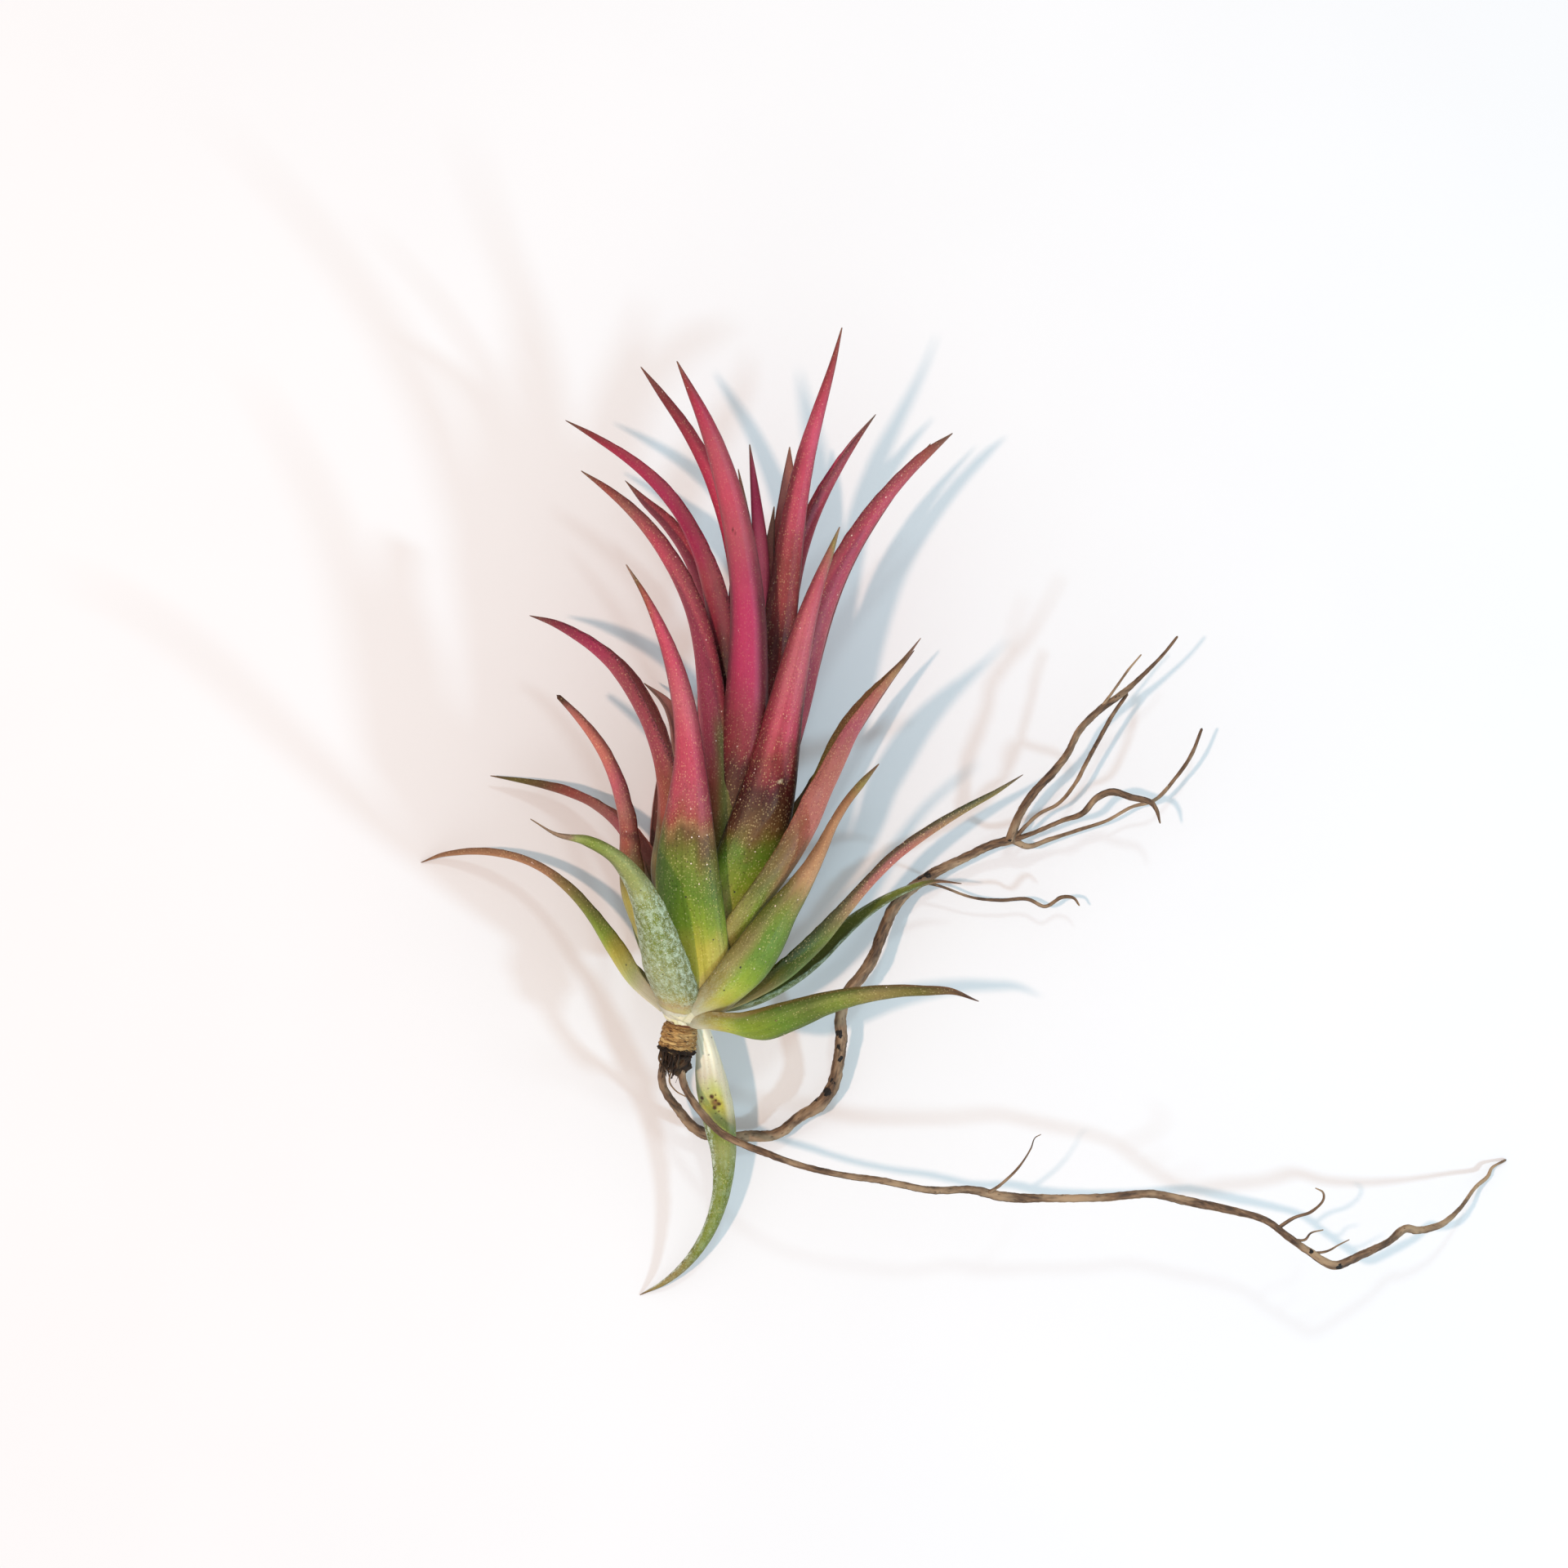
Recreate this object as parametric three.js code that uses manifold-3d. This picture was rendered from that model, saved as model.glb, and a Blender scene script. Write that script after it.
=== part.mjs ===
// A small air plant lying on its side: a rosette of channelled leaves on a short
// stem, a brown ringed stump below it, and two long wiry roots with side roots.
// Millimetres, +Z up. The plant lies in the XY plane with the rosette pointing
// to +Y; the origin is under the middle of the whole plant, on the surface it
// lies on.
import * as THREE from "three";
import { mergeVertices } from "three/addons/utils/BufferGeometryUtils.js";
import Module from "manifold-3d";

// ---- driving dimensions, in millimetres and degrees ----
const GAP = 0.3; // clearance between neighbouring pieces
const LEAF_WALL = 0.75; // thickness of a leaf along its keel
const MARGIN = 0.3; // thickness of a leaf at its margins
const MARGIN_SHARE = 0.3; // the same as a share of the half width, near the tip
const KEEL_SHARE = 0.12; // smallest hollow of the channel, as a share of its depth
const ARC_POINTS = 5; // points across the outer and the inner face of a leaf
const ROOT_SIDES = 6; // sides of a root's cross-section
const CORE_RADIUS = 2.3; // stem inside the rosette, at its foot
const CORE_LENGTH = 13; // height of the stem inside the rosette
const NECK_RADIUS = 3.1; // pale neck between the leaves and the stump
const STUMP_RADIUS = 2.05; // ringed stump, at its top
const STUMP_FLARE = 1.14; // its lower end against its top
const STUMP_LENGTH = 3.1;
const RING_HEIGHT = 0.12; // how far the rings of the stump stand out
const STRAND_RADIUS = 0.42; // dead strands at the end of the stump

// The rosette's own frame: foot of the rosette, its axis, and the direction
// that azimuth 0 (towards the viewer) points to.
const FOOT = new THREE.Vector3(...[-11.41650, -27.38025, 13.00000]);
const AXIS = new THREE.Vector3(...[0.14550, 0.97475, 0.16940]);
const FRONT = new THREE.Vector3(...[-0.02501, -0.16755, 0.98555]);
const SIDE = new THREE.Vector3(...[0.98904, -0.14763, -0.00000]);
const STUMP_TOP = new THREE.Vector3(-12.25, -28.6, 12.6);
const STUMP_END = new THREE.Vector3(-12.75, -31.6, 12.2);

// One row per leaf, outermost first. A station is the middle of the leaf's
// section there: x, y, z, half width, depth of the channel, twist in degrees.
const LEAVES = [
  { name: "leaf_01", azimuth: -14, colour: "#93a878", stations: [[-12.19, -27.3, 16.14, 2.6, 1.2, -0], [-12.8, -24.56, 20.62, 2.96, 1.34, -0.01], [-13.59, -21.61, 24.83, 3.04, 1.53, 0.02], [-14.28, -18.46, 28.71, 2.64, 1.45, -0.72], [-14.98, -15.19, 32.18, 2.11, 1.29, -5.07], [-16.12, -11.94, 35.19, 1.54, 1.06, -15.24], [-17.96, -8.92, 37.69, 1, 0.78, -32.65], [-20.81, -6.67, 39.55, 0.68, 0.53, -58.25], [-24.53, -5.69, 40.38, 0.29, 0.24, -65.6], [-27.9, -3.87, 40, 0.06, 0.08, -60]] },
  { name: "leaf_02", azimuth: 28, colour: "#9aa04a", stations: [[-9.8, -27.34, 16.09, 2.8, 1.3, 0], [-7.53, -25.08, 20.43, 2.96, 1.64, 0], [-4.43, -21.96, 23.22, 3.13, 2.21, 0], [-1.62, -17.69, 23.73, 2.64, 2.16, 0], [0.91, -13.47, 24.02, 1.82, 1.67, 0], [3.3, -9.55, 24.98, 1.13, 1.14, 0], [5.11, -5.9, 26.73, 0.71, 0.76, 0], [6.74, -2.77, 29.03, 0.58, 0.59, 0], [8.64, -0.16, 31.49, 0.51, 0.49, 0], [10.61, 2.2, 34, 0.08, 0.1, 0]] },
  { name: "leaf_03", azimuth: 38, colour: "#9aa43c", stations: [[-9.81, -28.3, 15.12, 2.2, 1.2, -0], [-6.97, -28.26, 18.81, 2.24, 1.46, 26.56], [-2.33, -28.14, 20.95, 2.2, 1.59, 45.16], [2.1, -26.51, 22.59, 1.71, 1.39, 53.16], [6.47, -25.01, 23.65, 1.26, 1.15, 54.88], [10.84, -24.24, 24.04, 0.95, 0.93, 55.05], [15.02, -24, 23.79, 0.71, 0.72, 54.97], [18.94, -24.04, 22.97, 0.5, 0.53, 54.98], [22.49, -25.14, 22, 0.06, 0.1, 55]] },
  { name: "leaf_04", azimuth: -10, colour: "#a84a55", stations: [[-11.99, -27.27, 16.4, 3, 1.5, 0], [-10.27, -23.66, 20.79, 3.52, 1.63, 0], [-10.48, -18.47, 23.69, 3.95, 1.93, 0], [-11.11, -12.97, 25.55, 3.97, 2.2, 0], [-11.27, -7.49, 26.97, 3.41, 2.27, 0], [-11.04, -2.17, 28.17, 2.52, 2.14, 0], [-10.94, 2.94, 29.22, 1.77, 1.9, 0], [-11.36, 7.82, 30.19, 1.41, 1.61, 0], [-12.3, 12.43, 31.07, 1.13, 1.25, 0], [-13.7, 16.75, 31.83, 0.77, 0.85, 0], [-15.51, 20.8, 32.48, 0.4, 0.46, 0], [-17.71, 24.59, 33, 0.08, 0.1, 0]] },
  { name: "leaf_05", azimuth: 20, colour: "#a5484f", stations: [[-10.05, -25.61, 16.39, 3.2, 1.6, 0], [-8.35, -21.32, 19.72, 3.65, 1.81, 0], [-6.56, -16.16, 21.26, 3.97, 2.01, 0], [-4.58, -10.98, 21.94, 4.06, 2.18, 0], [-2.82, -5.84, 22.26, 3.84, 2.3, 0], [-1.51, -0.75, 22.56, 3.34, 2.36, 0], [-0.47, 4.2, 22.96, 2.74, 2.32, 0], [0.46, 8.94, 23.54, 2.18, 2.13, 0], [1.41, 13.45, 24.32, 1.74, 1.81, 0], [2.45, 17.72, 25.26, 1.34, 1.4, 0], [3.64, 21.77, 26.31, 0.92, 0.97, 0], [5.01, 25.58, 27.59, 0.53, 0.57, 0], [6.3, 29.08, 29.5, 0.08, 0.1, 0]] },
  { name: "leaf_06", azimuth: 66, colour: "#a8604f", stations: [[-8.15, -26.51, 14.64, 3, 1.5, -0], [-7.8, -22.42, 18.44, 3.2, 1.77, 0.07], [-5.75, -18.02, 21.14, 3.2, 1.99, -0.69], [-2.92, -13.6, 22.61, 3.05, 2.19, -2.79], [-0, -9.21, 22.92, 2.8, 2.42, -6.78], [2.42, -4.76, 22.41, 2.66, 2.69, -13.28], [4.26, -0.27, 22.13, 2.5, 2.74, -20.93], [6.21, 3.75, 23.46, 2.24, 2.51, -26.42], [8.26, 7.43, 24.94, 1.73, 1.97, -28.42], [10.62, 10.59, 26.65, 1.07, 1.26, -27.54], [13.09, 13.46, 28.44, 0.48, 0.6, -24.7], [15.45, 16.46, 30, 0.08, 0.1, -20]] },
  { name: "leaf_07", azimuth: -90, colour: "#7d8a3e", stations: [[-14.11, -26.48, 13.08, 2.2, 1.3, 0], [-17.73, -22.75, 12.99, 2.79, 2.18, -8.92], [-20.7, -18.65, 12.22, 1.74, 1.76, -20.58], [-23.57, -14.86, 10.75, 1.05, 1.26, -24.51], [-26.68, -11.77, 8.91, 0.82, 1.03, -25], [-30.2, -9.67, 7.01, 0.69, 0.85, -24.93], [-33.89, -8.52, 5.17, 0.7, 0.82, -24.34], [-37.54, -8.17, 3.39, 0.64, 0.74, -22.43], [-41.04, -8.49, 1.65, 0.45, 0.52, -20.56], [-44.36, -9.59, 0.08, 0.08, 0.1, -20]] },
  { name: "leaf_08", azimuth: -50, colour: "#9a5a4a", stations: [[-13.77, -24.44, 15.79, 3, 1.5, 0], [-14.39, -20.61, 19.18, 3.23, 1.83, 0], [-16.4, -16.24, 21.03, 2.85, 1.86, 0], [-17.87, -11.61, 22.15, 2.18, 1.71, 0], [-18.21, -6.86, 22.6, 1.52, 1.49, 0], [-18.73, -2.36, 22.41, 1.11, 1.33, 0], [-20.07, 1.62, 21.5, 0.92, 1.22, 0], [-21.87, 4.92, 19.92, 0.73, 1.03, 0], [-24.01, 7.7, 18.14, 0.53, 0.77, 0], [-26.46, 10.16, 16.5, 0.3, 0.45, 0]] },
  { name: "leaf_09", azimuth: 80, colour: "#8c7a4a", stations: [[-8.1, -26.48, 13.8, 2.8, 1.4, -0], [-3.66, -24.38, 16.13, 3, 1.79, 0.05], [0.76, -21.32, 16.61, 2.85, 2.35, 0.39], [4.53, -17.69, 16.05, 2.07, 2.1, 0.33], [7.79, -13.92, 15.03, 1.26, 1.5, 0.33], [11, -10.44, 13.94, 1.09, 1.38, 1.08], [14.44, -7.49, 12.99, 1.04, 1.33, 1.99], [17.99, -5.02, 12.12, 0.92, 1.18, 2.86], [21.54, -2.91, 11.24, 0.73, 0.91, 3.54], [25.09, -1.03, 10.46, 0.53, 0.61, 3.15], [28.47, 1.07, 10, 0.08, 0.1, 0]] },
  { name: "leaf_10", azimuth: 125, colour: "#6f8248", stations: [[-8.77, -26.29, 11.51, 2.6, 1.3, -0], [-3.93, -25.22, 11.96, 2.74, 1.67, -0.35], [0.4, -23.06, 11.14, 2.33, 1.73, -4.11], [4.07, -20.33, 9.93, 1.82, 1.49, -10.62], [7.35, -17.45, 8.91, 1.18, 1.06, -14.88], [10.67, -14.91, 8.32, 0.77, 0.75, -14.9], [14.12, -12.96, 8.07, 0.56, 0.55, -11.5], [17.71, -11.77, 8, 0.39, 0.38, -5.54], [21.29, -11.97, 7.5, 0.06, 0.1, 0]] },
  { name: "leaf_11", azimuth: 165, colour: "#8d9a4c", stations: [[-10.94, -26.99, 11.51, 1.19, 0.5, 0], [-9.39, -31.77, 9.9, 1.41, 0.63, 0], [-8.63, -36.78, 8.53, 2.13, 0.93, 0], [-7.77, -41.68, 7.48, 1.95, 1, 0], [-7.4, -46.44, 6.53, 1.38, 0.91, 0], [-8.03, -50.87, 5.38, 1.01, 0.8, 0], [-9.52, -54.78, 4.09, 0.78, 0.67, 0], [-11.68, -58.07, 2.74, 0.6, 0.52, 0], [-14.4, -60.68, 1.38, 0.38, 0.33, 0], [-17.59, -62.54, 0.05, 0.06, 0.1, 0]] },
  { name: "leaf_12", azimuth: -6, colour: "#a3324f", stations: [[-10.39, -18.94, 16.68, 3.4, 1.6, 0], [-7.84, -13.14, 19.32, 3.37, 1.93, 0], [-6.76, -6.51, 20.67, 3.21, 2.17, 0], [-5.65, 0.09, 21.54, 2.97, 2.31, 0], [-4.74, 6.5, 22.62, 2.68, 2.36, 0], [-4.34, 12.63, 24.2, 2.38, 2.31, 0], [-4.23, 18.51, 25.9, 2.09, 2.19, 0], [-4.67, 24.1, 27.62, 1.85, 1.98, 0], [-5.52, 29.36, 29.47, 1.64, 1.71, 0], [-6.72, 34.25, 31.49, 1.4, 1.39, 0], [-8.23, 38.76, 33.7, 1.07, 1.03, 0], [-10.03, 42.9, 36.12, 0.63, 0.61, 0], [-11.82, 46.66, 39, 0.08, 0.1, 0]] },
  { name: "leaf_13", azimuth: -50, colour: "#a53a4e", stations: [[-12.41, -20.54, 15.83, 3.4, 1.6, 0], [-9.41, -15.85, 18.68, 3.39, 1.8, 0], [-8.42, -9.83, 19.99, 3.31, 2.05, 0], [-8.28, -3.68, 20.38, 3.12, 2.23, 0], [-8.28, 2.32, 20.62, 2.75, 2.26, 0], [-8.55, 8.11, 20.98, 2.23, 2.12, 0], [-9.15, 13.66, 21.05, 1.73, 1.89, 0], [-10.18, 18.91, 20.61, 1.4, 1.68, 0], [-11.99, 23.68, 19.94, 1.23, 1.57, 0], [-14.45, 27.86, 18.95, 1.07, 1.41, 0], [-17.36, 31.39, 17.52, 0.85, 1.12, 0], [-20.56, 34.34, 15.78, 0.56, 0.7, 0], [-23.93, 36.96, 14, 0.08, 0.1, 0]] },
  { name: "leaf_14", azimuth: 25, colour: "#a63a50", stations: [[-9.24, -19.08, 16.49, 3.01, 1.59, 0], [-7.1, -12.3, 17.65, 2.89, 1.82, 0], [-5.35, -5.41, 18.41, 2.75, 1.97, 0], [-3.57, 1.35, 18.93, 2.59, 2.04, 0], [-1.94, 7.98, 19.35, 2.4, 2.04, 0], [-0.74, 14.46, 19.82, 2.19, 1.97, 0], [0.08, 20.74, 20.49, 1.96, 1.83, 0], [0.77, 26.73, 21.48, 1.71, 1.64, 0], [1.6, 32.39, 22.8, 1.44, 1.41, 0], [2.68, 37.57, 24.73, 1.14, 1.13, 0], [3.95, 42.13, 27.46, 0.82, 0.82, 0], [5.31, 46.63, 29.98, 0.47, 0.48, 0], [6.53, 51.34, 32, 0.08, 0.1, 0]] },
  { name: "leaf_15", azimuth: -68, colour: "#9c4048", stations: [[-13.98, -23.23, 14.93, 3.2, 1.6, 0], [-12.61, -18.41, 17.84, 3.6, 1.89, -0.01], [-13.67, -13.35, 20.3, 3.51, 2.15, 0.06], [-13.89, -8.01, 21.92, 3.23, 2.37, 0.07], [-13.28, -2.66, 22.81, 2.79, 2.48, 4.08], [-13.87, 2.55, 22.87, 2.06, 2.28, 19.69], [-15.46, 7.26, 22.11, 1.48, 2.04, 34.71], [-17.69, 11.25, 20.61, 1.36, 2.02, 28.96], [-20.34, 14.45, 18.61, 1.19, 1.79, 16.5], [-23.31, 16.92, 16.42, 0.96, 1.42, 6.6], [-26.57, 18.75, 14.26, 0.67, 0.94, 1.03], [-30.14, 19.97, 12.3, 0.08, 0.1, 0]] },
  { name: "leaf_16", azimuth: 60, colour: "#a83a55", stations: [[-8.2, -21.11, 15.47, 3, 1.6, 0], [-7.7, -14.46, 16.3, 2.97, 1.67, 0], [-5.7, -8.12, 16.79, 2.89, 1.82, 0], [-2.94, -2.19, 16.95, 2.77, 1.98, 0], [-0.15, 3.56, 16.92, 2.62, 2.12, 0], [1.79, 9.41, 17.21, 2.42, 2.21, 0], [3.12, 15.16, 17.92, 2.2, 2.22, 0], [4.73, 20.55, 18.88, 1.94, 2.13, 0], [6.85, 25.51, 19.86, 1.66, 1.93, 0], [9.51, 30.02, 20.45, 1.37, 1.62, 0], [12.6, 34.08, 20.52, 1.09, 1.28, 0], [16, 37.68, 19.99, 0.85, 0.96, 0], [19.62, 40.86, 19, 0.08, 0.1, 0]] },
  { name: "leaf_17", azimuth: -105, colour: "#8f5446", stations: [[-13.87, -22.89, 12.86, 2.6, 1.4, 0], [-13.04, -17.44, 12.95, 2.99, 1.74, -0], [-15.24, -12.41, 12.08, 2.62, 1.91, 0.12], [-17.49, -7.88, 10.31, 2.06, 1.89, -0.85], [-20.27, -4.28, 8.07, 1.43, 1.51, -6.97], [-23.78, -1.89, 5.89, 1.1, 1.2, -14.94], [-27.67, -0.52, 4.11, 1.02, 1.08, -13.04], [-31.67, 0.32, 2.79, 0.61, 0.67, -8.5], [-35.72, 0.99, 2, 0.08, 0.1, -0]] },
  { name: "leaf_18", azimuth: -70, colour: "#a52c4c", stations: [[-11.98, -18.45, 15.2, 2.8, 1.5, 0], [-9.12, -12.52, 16.55, 2.8, 1.67, -0], [-7.96, -6, 17.37, 2.72, 1.89, 0.01], [-7.57, 0.52, 17.98, 2.6, 2.12, 0.01], [-7.28, 6.89, 18.55, 2.47, 2.32, -0.02], [-7.2, 13.06, 18.91, 2.35, 2.47, 0.03], [-7.59, 19.01, 18.98, 2.19, 2.5, 2.07], [-8.73, 24.6, 18.8, 1.87, 2.31, 9.06], [-10.81, 29.66, 18.39, 1.44, 1.93, 11.67], [-13.79, 33.97, 17.83, 1.12, 1.62, 2.08], [-17.4, 37.52, 17.2, 0.84, 1.26, -0.08], [-21.45, 40.36, 16.51, 0.6, 0.82, 0.03], [-25.66, 42.76, 15.6, 0.08, 0.1, -0]] },
  { name: "leaf_19", azimuth: -35, colour: "#a8304f", stations: [[-10.76, -16.74, 16.16, 2.4, 1.2, 0], [-8.16, -10.7, 16.88, 2.4, 1.36, 0], [-6.88, -4.26, 17.13, 2.37, 1.5, 0], [-6.04, 2.14, 17.46, 2.31, 1.6, 0], [-5.2, 8.34, 18.13, 2.21, 1.65, 0], [-4.73, 14.37, 18.85, 2.07, 1.66, 0], [-4.83, 20.19, 19.49, 1.89, 1.61, 0], [-5.53, 25.75, 20, 1.67, 1.5, 0], [-6.8, 30.98, 20.39, 1.42, 1.35, 0], [-8.64, 35.82, 20.85, 1.14, 1.15, 0], [-10.97, 40.19, 21.72, 0.91, 0.93, 0], [-13.66, 44.17, 22.74, 0.66, 0.64, 0], [-16.45, 47.94, 24, 0.08, 0.1, 0]] },
  { name: "leaf_20", azimuth: 105, colour: "#8a6a48", stations: [[-7.76, -23.8, 12.86, 2.81, 1.5, 0], [-6.82, -18.52, 13.04, 2.87, 1.73, 0], [-4.29, -13.85, 12.78, 2.76, 1.85, 0], [-1.5, -9.48, 12.3, 2.52, 1.87, 0], [1.1, -5.24, 11.69, 2.21, 1.81, 0], [3.58, -1.19, 10.99, 1.87, 1.68, 0], [5.99, 2.62, 10.23, 1.53, 1.48, 0], [8.36, 6.19, 9.53, 1.19, 1.22, 0], [10.73, 9.58, 9.01, 0.85, 0.91, 0], [13.12, 12.81, 8.8, 0.48, 0.54, 0], [15.54, 15.93, 9, 0.08, 0.1, 0]] },
  { name: "leaf_21", azimuth: 62, colour: "#8a5a44", stations: [[-8.33, -21.06, 15.3, 2.81, 1.4, 0], [-7.11, -14.74, 15.53, 2.75, 1.57, 0], [-4.77, -8.79, 15.2, 2.64, 1.71, 0], [-2.2, -3.08, 14.66, 2.5, 1.83, 0], [0.02, 2.62, 14.22, 2.32, 1.9, 0], [1.75, 8.28, 14.08, 2.12, 1.92, 0], [3.2, 13.8, 14.18, 1.9, 1.89, 0], [4.7, 19.07, 14.33, 1.67, 1.79, 0], [6.52, 24, 14.4, 1.44, 1.64, 0], [8.84, 28.49, 14.28, 1.19, 1.43, 0], [11.55, 32.57, 14.2, 0.92, 1.13, 0], [14.42, 36.37, 14.63, 0.56, 0.7, 0], [17.19, 39.94, 16, 0.08, 0.1, 0]] },
  { name: "leaf_22", azimuth: 100, colour: "#9a3c48", stations: [[-8.15, -18.84, 14.18, 2.6, 1.4, 0], [-7.52, -12.55, 14.21, 2.58, 1.52, 0], [-6.22, -6.42, 14.48, 2.53, 1.64, 0], [-4.56, -0.5, 14.91, 2.45, 1.77, 0], [-2.84, 5.23, 15.41, 2.33, 1.87, 0], [-1.32, 10.81, 15.93, 2.2, 1.96, 0], [-0.17, 16.26, 16.4, 2.04, 2.01, 0], [0.72, 21.54, 16.77, 1.85, 2, 0], [1.66, 26.59, 17.08, 1.63, 1.9, 0], [3.2, 31.28, 17.51, 1.34, 1.69, 0], [5.34, 35.52, 18.15, 0.99, 1.34, 0], [7.87, 39.38, 18.97, 0.58, 0.82, 0], [10.64, 42.94, 20, 0.08, 0.1, 0]] },
  { name: "leaf_23", azimuth: -85, colour: "#8e3444", stations: [[-12.08, -18.34, 14.7, 2.4, 1.4, 0], [-9.87, -13.1, 14.81, 2.37, 1.43, 0], [-8.53, -7.62, 15.07, 2.32, 1.54, 0], [-7.89, -2.13, 15.41, 2.25, 1.68, 0], [-7.71, 3.27, 15.74, 2.16, 1.82, 0], [-7.77, 8.49, 15.97, 2.06, 1.96, 0], [-7.93, 13.52, 16.07, 1.93, 2.05, 0], [-8.36, 18.33, 15.91, 1.79, 2.1, 0], [-9.3, 22.84, 15.4, 1.64, 2.09, 0], [-10.92, 26.89, 14.48, 1.46, 2, 0], [-13.21, 30.35, 13.32, 1.21, 1.75, 0], [-16.08, 33.22, 12.18, 0.78, 1.16, 0], [-18.87, 36.08, 11, 0.08, 0.1, 0]] },
  { name: "leaf_24", azimuth: -140, colour: "#7c4a4c", stations: [[-12, -19.98, 12.22, 2.4, 1.4, 0], [-11.13, -15.08, 11.66, 2.46, 1.47, 0], [-10.71, -10.23, 11.07, 2.4, 1.58, 0], [-10.75, -5.57, 10.38, 2.26, 1.67, 0], [-11.22, -1.2, 9.54, 2.04, 1.7, 0], [-12, 2.81, 8.57, 1.75, 1.62, 0], [-12.82, 6.57, 7.59, 1.31, 1.32, 0], [-14.36, 9.8, 6.49, 0.7, 0.77, 0], [-16.88, 12.14, 5.2, 0.08, 0.1, 0]] },
  { name: "leaf_25", azimuth: 10, colour: "#a02c52", stations: [[-9.39, -14.88, 16.08, 1.6, 0.9, 0], [-7.88, -9.44, 17.49, 1.54, 0.88, 0], [-6.63, -3.93, 18.56, 1.51, 0.91, 0], [-5.61, 1.56, 19.32, 1.49, 0.95, 0], [-4.75, 6.94, 19.8, 1.46, 1, 0], [-3.99, 12.14, 20.05, 1.4, 1.03, 0], [-3.29, 17.13, 20.14, 1.31, 1.02, 0], [-2.69, 21.91, 20.08, 1.17, 0.96, 0], [-2.6, 26.51, 19.83, 0.98, 0.84, 0], [-3, 30.94, 19.8, 0.74, 0.66, 0], [-3.49, 35.18, 20.41, 0.44, 0.42, 0], [-3.97, 39.27, 21.5, 0.08, 0.1, 0]] },
  { name: "leaf_26", azimuth: 170, colour: "#93404a", stations: [[-9.5, -16.44, 13.31, 2.2, 1.2, 0], [-8.18, -10.65, 14.37, 2.21, 1.24, 0], [-6.86, -4.88, 15.1, 2.2, 1.31, 0], [-5.58, 0.8, 15.55, 2.15, 1.38, 0], [-4.38, 6.33, 15.81, 2.08, 1.43, 0], [-3.28, 11.66, 15.95, 1.97, 1.46, 0], [-2.27, 16.79, 16.02, 1.83, 1.45, 0], [-1.33, 21.69, 16.05, 1.65, 1.38, 0], [-0.47, 26.39, 16.02, 1.44, 1.27, 0], [0.18, 30.94, 15.79, 1.2, 1.09, 0], [0.55, 35.37, 15.28, 0.81, 0.76, 0], [0.67, 39.71, 14.5, 0.08, 0.1, 0]] },
  { name: "leaf_27", azimuth: -60, colour: "#97304a", stations: [[-10.39, -14.66, 15.69, 1.6, 0.9, 0], [-8.96, -8.84, 16.59, 1.53, 0.84, 0], [-7.45, -3.09, 17.3, 1.5, 0.87, 0], [-6.04, 2.55, 17.81, 1.47, 0.95, 0], [-4.86, 8.05, 18.15, 1.43, 1.03, 0], [-4.02, 13.36, 18.32, 1.35, 1.08, 0], [-3.58, 18.46, 18.34, 1.23, 1.07, 0], [-3.57, 23.34, 18.35, 1.05, 0.98, 0], [-3.98, 27.99, 18.63, 0.81, 0.8, 0], [-4.63, 32.39, 19.43, 0.49, 0.52, 0], [-5.31, 36.48, 21, 0.08, 0.1, 0]] },
  { name: "leaf_28", azimuth: 150, colour: "#86323f", stations: [[-9.01, -14.64, 14.35, 1.6, 0.9, 0], [-8, -9.49, 16.2, 1.49, 0.82, 0], [-6.89, -4.28, 17.54, 1.47, 0.84, 0], [-5.76, 0.87, 18.45, 1.48, 0.91, 0], [-4.69, 5.89, 19.02, 1.48, 0.99, 0], [-3.73, 10.73, 19.32, 1.45, 1.03, 0], [-2.92, 15.36, 19.47, 1.35, 1.03, 0], [-2.27, 19.79, 19.51, 1.18, 0.94, 0], [-1.81, 24.05, 19.51, 0.92, 0.77, 0], [-1.49, 28.19, 19.5, 0.56, 0.49, 0], [-1.14, 32.25, 19.5, 0.08, 0.1, 0]] },
  { name: "leaf_29", azimuth: 190, colour: "#8a7448", stations: [[-11.77, -26.23, 10.19, 2.4, 1.2, 0], [-11.26, -24.27, 6.9, 2.54, 1.48, 0], [-11.68, -20.98, 4.96, 2.36, 1.48, 0], [-12.13, -17.58, 3.64, 2, 1.32, 0], [-12.4, -14.33, 2.54, 1.58, 1.09, 0], [-12.51, -11.26, 1.59, 1.14, 0.83, 0], [-12.55, -8.34, 0.77, 0.65, 0.51, 0], [-12.58, -5.49, 0.05, 0.08, 0.1, 0]] },
  { name: "leaf_30", azimuth: 180, colour: "#8a7448", stations: [[-10.82, -23.4, 10.23, 3, 1.5, 0], [-10.78, -18.98, 7.37, 3.11, 1.8, 0], [-10.61, -14.07, 5.67, 2.9, 1.82, 0], [-10.26, -9.17, 4.54, 2.57, 1.72, 0], [-9.77, -4.44, 3.64, 2.21, 1.57, 0], [-9.16, 0.04, 2.86, 1.85, 1.39, 0], [-8.53, 4.28, 2.14, 1.48, 1.18, 0], [-7.93, 8.31, 1.46, 1.08, 0.91, 0], [-7.4, 12.18, 0.76, 0.62, 0.56, 0], [-6.99, 15.98, 0.05, 0.08, 0.1, 0]] },
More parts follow.
